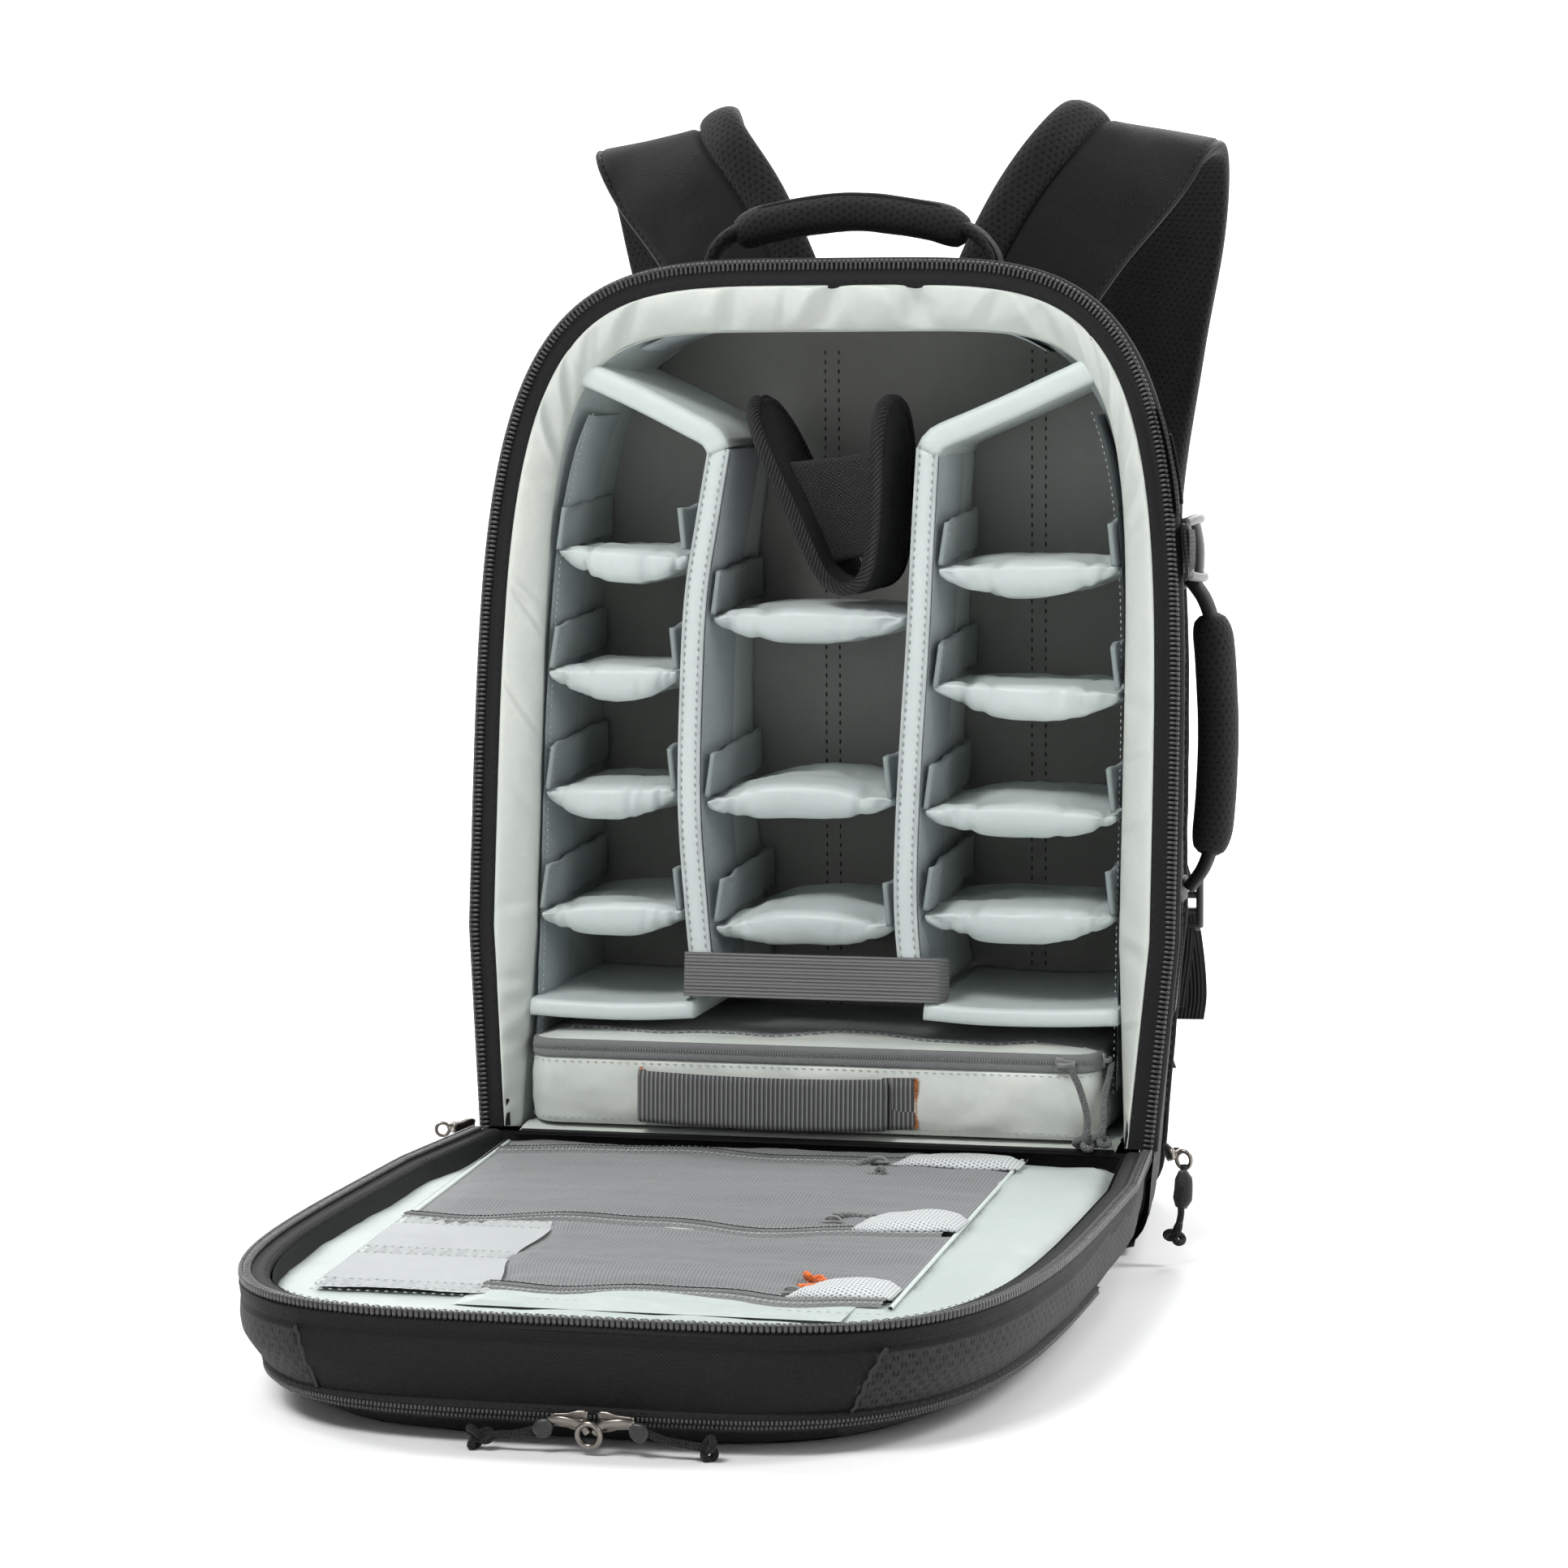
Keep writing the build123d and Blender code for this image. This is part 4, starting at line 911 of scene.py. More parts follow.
# lid side, the same outline laid flat
prof = [(-7.0, 2.4), (-6.4, 1.1), (-5.6, 0.5), (-4.0, 0.1), (-1.6, 0.2), (-0.9, 0.5), (-0.4, 0.2), (2.0, 0.2), (2.6, 0.7), (4.2, 1.2), (5.4, 2.0), (6.0, 3.6)]
G = np.stack([L3(p1[:, 0] + n1[:, 0] * o, p1[:, 1] + n1[:, 1] * o, d) for o, d in prof], 1)
k4 = p1[:, 1] > 3.5
piece(grid("lid_zip_tape", G[k4], "tape", flip=True), "lid", "main_zip_lid")
pth, out = rim_path(2.9, -0.7, fn="lid")
sel = pth[:, 1] < HY - 9
teeth_run("lid_zip_teeth", pth[sel], out[sel], (0, 0, 1), (1.35, 3.8, 2.0), 2.35, "teeth", "lid")
pth, out = rim_path(5.3, -0.3, fn="lid")
teeth_run("lid_zip_heads", pth[sel], out[sel], (0, 0, 1), (1.75, 1.8, 3.4), 2.35, "teeth", "lid")
for off, nm in ((-5.0, "a"), (4.4, "b")):
    p_, n_ = outline(M_=300, off=off)
    kk = p_[:, 1] > 8
    stitches("lid_tape_stitch_" + nm, L3(p_[kk, 0], p_[kk, 1], -0.1 if off < 0 else 1.0), (0, 0, 1), "threadblack", "lid", w=0.7, h=0.5)


# ------------------------------------------------------------------ rim lip, walls and back of the compartment
def inner_outline(W, W0, H, M_, s0=0.0, off=0.0, N=4.7):
    return outline(W=W, W0=W0, HS=98.0, H=H, N=N, M_=M_, s0=s0, off=off)


def ang_match(A, B):
    """points of B at the same share of A's run"""
    return resample(B, n=len(A))


ML = 520
po, no = outline(M_=ML, off=-6.2)
pi, ni = inner_outline(144.5, 149.5, 390.0, ML, s0=0.0, N=6.2)
pw_, nw_ = inner_outline(146.0, 146.0, 394.9, ML, s0=0.0)
arc = np.r_[0, np.cumsum(np.hypot(*np.diff(po, axis=0).T))]
rs = random.Random(5)
folds = [(arc[-1] * u, a, w_, k) for u, a, w_, k in
         [(0.505, 3.2, 7, 0.6), (0.46, 2.6, 8, -0.5), (0.55, 2.2, 6, 0.4), (0.40, 1.8, 6, -0.7), (0.425, 1.4, 5, 0.5), (0.60, 1.7, 6, 0.8), (0.64, 1.4, 5, 0.6), (0.37, 1.5, 5, -0.8), (0.345, 1.2, 5, -0.5),
          (0.66, 1.3, 6, 0.4), (0.31, 1.2, 6, 0.5)]]
for _ in range(42):
    folds.append((rs.uniform(0, arc[-1]), rs.uniform(0.25, 0.8), rs.uniform(2.5, 6), rs.uniform(-0.9, 0.9)))
rows = []
nvL = 30
for j, v in enumerate(np.linspace(0, 1, nvL)):
    # across the roll: from under the tape, over the crown, down inside to the loop strip
    th = math.pi * v
    q = po * (1 - v) + pi * v if v < 1 else pi
    wv = 0.5 - 0.5 * math.cos(th)
    base = po * (1 - wv) + pi * wv
    n = -1.6 - 15.2 * wv + 5.6 * math.sin(th) ** 0.8
    g = np.zeros(len(arc))
    for a0, amp, w_, sk in folds:
        dd = arc - a0 - sk * 26 * (v - 0.5)
        g += amp * (np.exp(-(dd / w_) ** 2) * -1.0 + 0.7 * np.exp(-((dd - w_ * 1.3) / (w_ * 0.9)) ** 2)) * math.sin(th) ** 1.6
    Q = P(base[:, 0], base[:, 1], n)
    f2 = fbm_arr(Q, 0.03, 11.0, 3) * 1.3 * math.sin(th)
    g = g * 1.7
    n = n + g + f2
    rows.append(P(base[:, 0] - no[:, 0] * (g * 0.25), base[:, 1] - no[:, 1] * g * 0.25, n))
# tuck behind
rows.append(P(pi[:, 0] + ni[:, 0] * 1.5, pi[:, 1] + ni[:, 1] * 1.5, -21.0))
rows.append(P(pi[:, 0] + ni[:, 0] * 7.0, pi[:, 1] + ni[:, 1] * 7.0, -23.0))
G = np.stack(rows, 1)
lip = grid("lip_cloth", G, "lining_cream")
md = lip.modifiers.new("sub", "SUBSURF"); md.levels = md.render_levels = 1
piece(lip, BODY, "rim_lip")

# wall cloth: inner outline swept from the lip to the back, with crinkle
nw = 26
pw, nwn = inner_outline(144.6, 144.9, 394.0, 300, s0=-2.0)
rows = []
piw = resample(pi, n=300)
for j, v in enumerate(np.linspace(0, 1, nw)):
    kf = (1 - min(1.0, v / 0.42)) ** 1.4
    pv = piw * kf + pw * (1 - kf)
    y0 = HY + pv[:, 1] * SL + (14.0 + 6.0 * min(1.0, v * 8)) * CL
    y = y0 + (63.0 - y0) * v
    z = HZ + pv[:, 1] * CL - 20 * SL * (1 - v)
    Q = np.stack([pv[:, 0], y, z], -1)
    b = (fbm_arr(Q, 0.028, 5.0, 3) * 1.1 - 0.6) * min(1.0, v * 5)
    rows.append(np.stack([pv[:, 0] + nwn[:, 0] * (b - 0.4 + 1.5 * kf), y, z + nwn[:, 1] * (b - 0.4 + 1.5 * kf)], -1))
G = np.stack(rows, 1)
# the wall cloth takes the darkened copy of the lining, which is painted shade
piece(grid("wall_cloth", G, "lining_painted_shade", flip=False), BODY, "padded_walls")
# floor cloth
G = np.zeros((60, 24, 3))
for j, v in enumerate(np.linspace(0, 1, 24)):
    G[:, j, 0] = np.linspace(-146, 146, 60)
    G[:, j, 1] = -64 + 127 * v
    G[:, j, 2] = 50.1
G[..., 2] += fbm_arr(G, 0.03, 9.0) * 0.7 - 0.3
piece(grid("floor_cloth", G, "lining", flip=True), BODY, "base_padding")
# back lining with seams
G = np.zeros((110, 150, 3))
hb, _ = inner_outline(145.5, 146.0, 394.5, 400)
for j, v in enumerate(np.linspace(0, 1, 150)):
    s = 394.0 * v
    z = 49.5 + s * CL
    right_side = hb[:200]
    hw = np.interp(s, right_side[:, 1], right_side[:, 0]) if s < 393 else 20.0
    G[:, j, 0] = np.linspace(-1, 1, 110) * hw
    G[:, j, 1] = 63.4
    G[:, j, 2] = z
G[..., 1] -= 0.5 * np.exp(-((G[..., 0] - 84) / 1.6) ** 2) * -1.6 + 0.5 * np.exp(-((G[..., 0] + 22) / 1.6) ** 2) * -1.6
G[..., 1] += fbm_arr(G, 0.02, 2.0) * 0.9
piece(grid("back_lining_cloth", G, "tricot", flip=False), BODY, "back_board")
for x_ in (80.5, 87.5, -25.5, -18.5):
    stitches("back_seam_%d" % (x_ + 100), np.array([(x_, 62.6, z) for z in np.linspace(60, 425, 90)]), (0, -1, 0), "threadblack", w=0.9, h=0.9)

# loop strips on the side walls and at the top corners
def loop_on_wall(name, k0, k1, n0, n1, mat="loop"):
    sel = slice(k0, k1)
    rows = []
    pp, nn = pw[sel], nwn[sel]
    for v in np.linspace(0, 1, 12):
        y0 = HY + pp[:, 1] * SL + n0 * CL
        y = y0 + (n1 - n0) * v
        z = HZ + pp[:, 1] * CL - 20 * SL * 0.5
        e = 1.9 - 1.2 * abs(2 * v - 1) ** 6
        Q = np.stack([pp[:, 0], y, z], -1)
        e = e + fbm_arr(Q, 0.12, 4.0, 2) * 0.35
        rows.append(np.stack([pp[:, 0] - nn[:, 0] * e, y, z - nn[:, 1] * e], -1))
    return piece(grid(name, np.stack(rows, 1), mat), BODY)


srun = np.r_[0, np.cumsum(np.hypot(*np.diff(pw, axis=0).T))]
tot = srun[-1]
kR = np.searchsorted(pw[:150, 1], 352.0)
loop_on_wall("loop_wall_right", 8, kR, 19.5, 80.0)
loop_on_wall("loop_wall_left", 300 - kR, 292, 19.5, 80.0)
top_idx = [i for i in range(300) if pw[i, 1] > 380]
ctr = 150
loop_on_wall("loop_top_right", min(i for i in top_idx if pw[i, 0] < 118), min(i for i in top_idx if pw[i, 0] < 60), 18.5, 62.0)
loop_on_wall("loop_top_left", max(i for i in top_idx if pw[i, 0] > -72), max(i for i in top_idx if pw[i, 0] > -120), 18.5, 62.0)
for sg, kk in ((1, slice(8, kR)), (-1, slice(300 - kR, 292))):
    pp, nn = pw[kk], nwn[kk]
    for off, nm in ((22.5, "a"),):
        pth = np.stack([pp[:, 0] - nn[:, 0] * 2.4, HY + pp[:, 1] * SL + off * CL, HZ + pp[:, 1] * CL - 10 * SL], -1)
        stitches("loop_stitch_%s_%s" % (nm, "r" if sg > 0 else "l"), pth, (-sg, 0, 0), "threadpale", w=0.8, h=0.8, length=2.2, gap=1.2)


# ------------------------------------------------------------------ dividers
def pad_grid(name, c, up, wn, depth, y0, y1, mat, body=BODY, rep=(), thick=10.0, puff=1.0, seed=0.0, amp=0.9, n=26, ncol=18, edge=None, sub=0):
    """a long pad standing on edge: centre line c in (x,s), front edge at n=-depth following the lean, back at y1"""
    c = catmull(np.asarray(c, float), 8)
    c = resample(c, step=4.0)
    t = np.gradient(c, axis=0); t /= np.linalg.norm(t, axis=1)[:, None]
    nx_ = np.stack([-t[:, 1], t[:, 0]], -1)
    rows = []
    prof = []
    h = thick / 2
    m = 9
    for a in np.linspace(-90, 90, m):                              # front nose
        prof.append(("f", 3.0 * (1 - math.cos(math.radians(a))), h * math.copysign(abs(math.sin(math.radians(a))) ** 0.7, a)))
    for v in np.linspace(0, 1, 14)[1:]:
        prof.append(("s", v, h))
    for v in np.linspace(1, 0, 14)[:-1]:
        prof.append(("s", v, -h))
    for kind, a, o in prof:
        px = c + nx_ * o
        z = HZ + px[:, 1] * CL + (-depth) * SL * (1 if kind == "f" else (1 - a))
        yf = HY + px[:, 1] * SL + depth * CL
        if kind == "f":
            y = yf + a
        else:
            ys_ = yf + 3.0
            y = ys_ + (y1 - ys_) * a
            bulge = puff * math.sin(math.pi * min(1, a * 1.0)) * np.sign(o)
            px = px + nx_ * bulge
        Q = np.stack([px[:, 0], y, z], -1)
        if amp:
            b = fbm_arr(Q, 0.035, seed, 3) * amp * (0.25 if kind == "f" else 1.0)
            px = px + nx_ * (b * np.sign(o if o else 1))[:, None]
        if edge is not None:
            av = 0.0 if kind == "f" else a
            lim = np.interp(px[:, 1], pw[:150, 1], pw[:150, 0]) + 17.0 * (1 - av) ** 2 - 1.0
            px = np.stack([np.clip(px[:, 0], -lim, lim), px[:, 1]], -1)
            cen = resample(c, n=len(px))
            px[:, 1] = px[:, 1] + (px[:, 1] - cen[:, 1]) * 0.35 * np.sin(np.linspace(0.15, 3.0, len(px))) * (1 - av)
        rows.append(np.stack([px[:, 0], y, z], -1))
    G = np.stack(rows, 1)
    o = grid(name, G, mat, closed_v=True, cap0=True, cap1=True)
    if sub:
        md = o.modifiers.new("sub", "SUBSURF"); md.levels = md.render_levels = sub
    return piece(o, body, rep), c, nx_


SPL = [(-57.2, 333), (-62, 300), (-67, 262), (-68.3, 220), (-67.8, 160), (-63, 110), (-57.5, 66)]
SPR = [(46.5, 333), (45, 290), (43.8, 240), (41.8, 190), (40.6, 140), (41.5, 105), (46, 68)]
spines = {}
for tag, SP, node in (("l", SPL, "long_divider_left"), ("r", SPR, "long_divider_right")):
    o, c_, nx_ = pad_grid("spine_" + tag, SP, 0, 0, 10.5, 0, 63.0, "lining", rep=node, thick=9.6, puff=0.5, seed=3 if tag == "l" else 8, amp=0.5)
    spines[tag] = (c_, nx_)
    # loop strips on both faces and the bound, stitched front edge
    for side_ in (-1, 1):
        cc = c_ + nx_ * side_ * 5.3
        rows = []
        for v in np.linspace(0, 1, 10):
            yf = HY + cc[:, 1] * SL + 14.5 * CL
            e = 0.9 - 0.7 * abs(2 * v - 1) ** 8
            q = cc + nx_ * side_ * e
            rows.append(np.stack([q[:, 0], yf + 62 * v, HZ + q[:, 1] * CL - 10.5 * SL], -1))
        piece(grid("spine_loop_%s%d" % (tag, side_ > 0), np.stack(rows, 1), "loop", flip=side_ > 0), BODY)
        cc = c_ + nx_ * side_ * 4.7
        rows = []
        b = np.linspace(0, 2 * np.pi, 8, endpoint=False)
        pth = P(cc[:, 0], cc[:, 1], -12.0)
        piece(grid("spine_bead_%s%d" % (tag, side_ > 0), tube_grid(pth, (0, -1, 0), 1.0, 1.0, 8), "threadpale", closed_v=True), BODY)
    for off in (-3.4, 3.4):
        q = c_ + nx_ * off
        stitches("spine_stitch_%s%d" % (tag, off > 0), P(q[:, 0], q[:, 1], -10.6), up_rim, "threadgrey", length=2.6, gap=1.5, w=0.7, h=0.7)

for nm, path_, th, am in (("wing_left", [(-145, 377.0), (-118, 366), (-95, 355.5), (-74, 345), (-62, 338.5), (-57.5, 331)], 12, 0.9),
                     ("wing_right", [(145, 379.5), (112, 364.6), (90, 354.5), (68, 345), (51, 337.5), (46.5, 331)], 12, 0.9),
                     ("foot_left", [(-63, 59.2), (-90, 57.5), (-120, 57.5), (-145, 58.5)], 8.6, 1.2),
                     ("foot_right", [(51.5, 61.7), (80, 60.0), (115, 60.2), (145, 61.5)], 8.6, 1.2)):
    pad_grid(nm, path_, 0, 0, 10.2, 0, 63.0, "lining", rep=(), thick=th, puff=1.6, seed=len(nm) * 1.7, amp=am, edge=1 if "wing" in nm else None)


def short_divider(name, x0, x1, s, arch, rep, seed, twist=0.0, tabs=(True, True), frontn=12.0):
    """a puffy pad lying across a bay: pinched ends, a crowned nose, wrinkles near the ends, hook tabs standing at its ends"""
    nxd, nyd = 46, 30
    z0 = HZ + s * CL - 11.5 * SL
    yf = HY + s * SL + frontn * CL
    u = np.linspace(0, 1, nxd)
    hw = 7.2
    prof = []
    for a in np.linspace(-90, 90, 11):
        prof.append((7.0 * (1 - math.cos(math.radians(a))), math.sin(math.radians(a))))
    for v in np.linspace(0, 1, 14)[1:]:
        prof.append((7.0 + (59.0 - yf - 7.0) * v, 1.0))
    for v in np.linspace(1, 0, 14)[:-1]:
        prof.append((7.0 + (59.0 - yf - 7.0) * v, -1.0))
    X = x0 + (x1 - x0) * u
    e = np.clip(np.minimum(u, 1 - u) / 0.40, 0, 1)
    hgt = hw * (0.14 + 0.98 * np.sin(e * math.pi / 2) ** 0.72)
    mid = arch * np.sin(math.pi * u)
    rs_ = random.Random(int(seed * 13))
    cr = []
    for _ in range(9):
        side_ = rs_.choice([0, 1])
        cr.append((rs_.uniform(0.06, 0.34) if side_ == 0 else rs_.uniform(0.66, 0.94), rs_.uniform(0.4, 1.3), rs_.uniform(0.012, 0.03), rs_.uniform(-0.25, 0.25)))
    rows = []
    for d, k in prof:
        dep = d / (59.0 - yf)
        g = np.zeros(nxd)
        for a0, amp, w_, sk in cr:
            dd = u - a0 - sk * min(dep, 0.6) - 0.02 * k
            g += -amp * np.exp(-(dd / w_) ** 2) * max(0.0, 1 - dep * 1.1)
        y = np.full(nxd, yf + d) + 3.0 * (1 - e) * (1 if d < 20 else 0) + 1.6 * np.sin(u * math.pi * 2.2 + seed)
        z = z0 + mid + k * hgt * (1.50 if k < 0 else 0.50) + twist * (u - 0.5) * (1 - dep) + g * np.sign(k) * abs(k)
        y = y - g * (1 if d < 8 else 0) * 0.7
        y = np.minimum(y, 60.5)
        Q = np.stack([X, y, z], -1)
        z = z + fbm_arr(Q, 0.030, seed, 3) * 0.7
        rows.append(np.stack([X, y, z], -1))
    G = np.stack(rows, 1)
    o = grid(name, G, "lining", closed_v=True, cap0=True, cap1=True)
    xa, xb = min(x0, x1), max(x0, x1)
    cloth(o, pin=lambda c: np.maximum((c[:, 1] > 45) * 1.0, np.clip(1 - np.minimum(c[:, 0] - xa, xb - c[:, 0]) / 3.0, 0, 1)), pressure=1.6, frames_=14, cap=2.2, shrink=-0.022, bend=0.6, tension=12.0, sub=1)
    piece(o, BODY, rep)
    for k, on in enumerate(tabs):
        if not on:
            continue
        sg = -1 if k == 0 else 1
        xe = (x0 if k == 0 else x1)
        rows = []
        lean_ = (2.0 if k == 0 else -5.0) * (1 if k == 0 else 1)
        for v in np.linspace(0, 1, 12):
            zt = z0 + 1.5 + 20.5 * v
            nyp = 26
            yv = np.linspace(yf + 2.5 + 2.0 * v, 58.0 - 3 * v, nyp)
            xx = xe - sg * 0.9 - sg * (0.8 + 2.6 * v * (0.4 + 0.6 * np.exp(-((yv - yv[0]) / 30) ** 2))) + 0.7 * np.sin(yv * 0.12 + seed)
            rows.append(np.stack([xx, yv, zt + 0.05 * (yv - yv[0]) + 0.5 * np.sin(yv * 0.2 + seed)], -1))
        G = np.stack(rows, 0)
        tb = grid(name + "_tab%d" % k, G, "tab")
        thicken(tb, 2.2, 0.0)
        piece(tb, BODY)
        hem = G[-1, 2:-2] - np.array([0, 0, 2.6]) - np.array([sg * 1.2, 0, 0])
        stitches(name + "_tabhem%d" % k, hem, (-sg, 0, 0), "threadpale", length=2.2, gap=1.4, w=0.6, h=0.6)
        hem = G[2:-1, 1] - np.array([sg * 1.2, 0, 0])
        stitches(name + "_tabedge%d" % k, hem, (-sg, 0, 0), "threadpale", length=2.2, gap=1.2, w=0.7, h=0.7)


def spine_x(tag, s, off):
    c_, nx_ = spines[tag]
    return float(np.interp(s, c_[::-1, 1], c_[::-1, 0])) + off


def room(s):
    pr_ = pw[:150]
    return float(np.interp(s, pr_[:, 1], pr_[:, 0]))


LS, MS, RS = (281, 223, 164, 105), (250, 161, 100), (275, 216, 157, 108)
for i, s in enumerate(LS):
    short_divider("divider_l%d" % i, -room(s) + 2.0, spine_x("l", s, -7.2), s, [-3.0, -2.5, -1.5, 1.0][i], "dividers_left" if i == 0 else (), 2.0 + i * 3.1, twist=[-3, 1, 2, 3][i])
for i, s in enumerate(MS):
    short_divider("divider_m%d" % i, spine_x("l", s, 7.2), spine_x("r", s, -7.2), s, [0.5, 5.5, 5.5][i], "dividers_middle" if i == 0 else (), 14.0 + i * 2.3, twist=[0, 2, 3][i], tabs=(True, i > 0))
for i, s in enumerate(RS):
    short_divider("divider_r%d" % i, spine_x("r", s, 7.2), room(s) - 2.0, s, [-1.5, -2.5, 2.0, -1.0][i], "dividers_right" if i == 0 else (), 23.0 + i * 2.9, twist=[2, -3, -1, 2][i])

# ribbed elastic band across the middle bay, wrapped round both long dividers
pth = [(-68.5, -40), (-68.9, -22), (-68.0, -12.4), (-63, -9.4), (-40, -9.1), (-6, -9.1), (30, -9.1), (54, -9.4), (59.0, -12.4), (60.0, -24), (58.0, -40)]
q = resample(catmull(pth, 8), step=2.5)
rows = []
for v in np.linspace(0, 1, 40):
    s = 66.0 + 21.5 * v
    rib = 0.45 * abs(math.sin(math.pi * 9 * v))
    rows.append(P(q[:, 0], s, q[:, 1] + rib * (np.abs(q[:, 0]) < 80)))
eb = grid("elastic_cloth", np.stack(rows, 0), "elastic", flip=True)
thicken(eb, 1.2)
piece(eb, BODY, "elastic_band")

# ------------------------------------------------------------------ cradle
CR = [(-44, 354), (-31, 326), (-17, 296), (-6, 272), (2, 264), (10, 263.5), (17, 270), (21, 290), (22.5, 322), (22, 354)]
cp = resample(catmull(CR, 10), step=2.6)
arc_c = np.r_[0, np.cumsum(np.hypot(*np.diff(cp, axis=0).T))]
tt = np.gradient(cp, axis=0); tt /= np.linalg.norm(tt, axis=1)[:, None]
cn = np.stack([-tt[:, 1], tt[:, 0]], -1)
ends = np.minimum(arc_c, arc_c[-1] - arc_c)
shr = 30.0 * (1 - np.sqrt(1 - np.clip(1 - ends / 30.0, 0, 1) ** 2))
ylo, yhi = -37.0 + shr, 41.0 - shr
yhi = np.maximum(yhi, ylo + 8)
rows = []
ncc = 30
for v in np.linspace(0, 1, ncc):
    y = ylo + (yhi - ylo) * v
    pf = 3.6 * (1 - abs(2 * v - 1) ** 4) ** 0.5
    rows.append((y, pf))
top = [np.stack([cp[:, 0] + cn[:, 0] * pf, y, HZ + (cp[:, 1] + cn[:, 1] * pf) * CL], -1) for y, pf in rows]
bot = [np.stack([cp[:, 0] - cn[:, 0] * pf, y, HZ + (cp[:, 1] - cn[:, 1] * pf) * CL], -1) for y, pf in rows[::-1]]
G = np.stack(top + bot[1:-1], 1)
G[..., 0] += fbm_arr(G, 0.03, 6.0) * 0.8
piece(grid("cradle_pad", G, "strapcloth", closed_v=True, cap0=True, cap1=True), BODY, "cradle_sling")
rim_f = np.stack([cp[:, 0], ylo, HZ + cp[:, 1] * CL], -1)
rim_b = np.stack([cp[:, 0], yhi, HZ + cp[:, 1] * CL], -1)
loop_ = np.vstack([rim_f, rim_b[::-1]])
lp = resample(loop_, step=2.2)
piece(grid("cradle_binding", tube_grid(lp, (0.02, 1, 0.01), 3.4, 3.2, 12), "binding", closed_v=True, cap0=True, cap1=True), BODY)
tgl = np.gradient(resample(loop_, step=1.9), axis=0)
G = np.zeros((26, 18, 3))
for i, u in enumerate(np.linspace(0, 1, 26)):
    for j, v in enumerate(np.linspace(0, 1, 18)):
        s = 276 + 50 * v
        xl = float(np.interp(s, cp[:len(cp) // 2, 1][::-1], cp[:len(cp) // 2, 0][::-1])) + 2
        xr = float(np.interp(s, cp[len(cp) // 2:, 1], cp[len(cp) // 2:, 0])) - 2
        G[i, j] = (xl + (xr - xl) * u, -12.0 + 6 * math.sin(math.pi * u), HZ + (s + 5.5 * (u - 0.4)) * CL)
wp = grid("cradle_panel", G, "cradleweb", flip=False)
thicken(wp, 1.6)
piece(wp, BODY)

# ------------------------------------------------------------------ accessory case
CX0, CX1, CY0, CY1 = -143.5, 136.5, YC, 61.0


def case_ring(shrink, r, n=220, grow=0.0):
    x0, x1, y0, y1 = CX0 + shrink, CX1 - shrink, CY0 + shrink, CY1 - shrink
    pts = []
    for cx, cy, a0 in ((x1 - r, y0 + r, -90), (x1 - r, y1 - r, 0), (x0 + r, y1 - r, 90), (x0 + r, y0 + r, 180)):
        for a in np.linspace(a0, a0 + 90, 14):
            pts.append((cx + r * math.cos(math.radians(a)), cy + r * math.sin(math.radians(a))))
    pts.append(pts[0])
    q = resample(np.array(pts), n=n + 1)[:-1]
    t = np.roll(q, -1, 0) - np.roll(q, 1, 0)
    t /= np.linalg.norm(t, axis=1)[:, None]
    return q, np.stack([t[:, 1], -t[:, 0]], -1)


prof = [(-3.0, 51.2), (-0.6, 51.6), (0.6, 53.2)] + [(0.7 + 1.7 * math.sin(math.pi * v) ** 0.8, 53.5 + 29.0 * v) for v in np.linspace(0, 1, 16)] + [(0.2, 84.0), (-1.0, 84.6)]
rows = []
for o, z in prof:
    q, nn = case_ring(0.0, 14.0)
    Q = np.stack([q[:, 0] + nn[:, 0] * o, q[:, 1] + nn[:, 1] * o, np.full(len(q), float(z))], -1)
    k = min(1.0, max(0.0, (z - 52) / 6.0)) * min(1.0, max(0.0, (84.2 - z) / 5.0))
    b = fbm_arr(Q, 0.030, 21.0, 3) * 1.9 * k
    # soft sags toward the corners
    b += k * 0.8 * np.sin(Q[:, 0] * 0.11 + Q[:, 2] * 0.10) * np.exp(-((np.abs(Q[:, 0]) - 118) / 26) ** 2)
    Q[:, 0] += nn[:, 0] * b
    Q[:, 1] += nn[:, 1] * b
    rows.append(Q)
G = np.stack(rows, 1)
G[..., 1] = np.minimum(G[..., 1], 62.0)
G[..., 0] = np.clip(G[..., 0], -145.3, 139.0)
piece(grid("case_walls", G, "lining_cream", closed_u=True, sub=1), "accessory_case", "case_body")
q, nn = case_ring(0.0, 14.0)
for z, nm in ((54.6, "lo"), (82.2, "hi")):
    stitches("case_stitch_" + nm, np.stack([q[:, 0] + nn[:, 0] * 1.3, q[:, 1] + nn[:, 1] * 1.3, np.full(len(q), z)], -1), np.stack([nn[:, 0], nn[:, 1], 0 * nn[:, 0]], -1), "threadpale", "accessory_case",
             length=2.4, gap=1.6, w=0.6, h=0.6)
# zip band of two tapes with the coil between them
prof = [(-0.6, 83.4), (0.9, 83.9), (1.3, 85.0), (1.2, 87.6), (0.8, 88.1), (0.8, 88.7), (1.2, 89.2), (1.0, 91.6), (0.3, 92.4), (-1.4, 92.7)]
G = np.stack([np.stack([q[:, 0] + nn[:, 0] * o, q[:, 1] + nn[:, 1] * o, np.full(len(q), z)], -1) for o, z in prof], 1)
piece(grid("case_zip_band", G, "greyzip", closed_u=True), "accessory_case")
qq = np.vstack([q, q[:1]])
nq = np.vstack([nn, nn[:1]])
pth = np.stack([qq[:, 0] + nq[:, 0] * 1.0, qq[:, 1] + nq[:, 1] * 1.0, np.full(len(qq), 88.4)], -1)
teeth_run("case_coil", pth, np.stack([nq[:, 0], nq[:, 1], 0 * nq[:, 0]], -1), (0, 0, 1), (0.8, 1.0, 2.0), 1.35, "greycoil", "accessory_case")
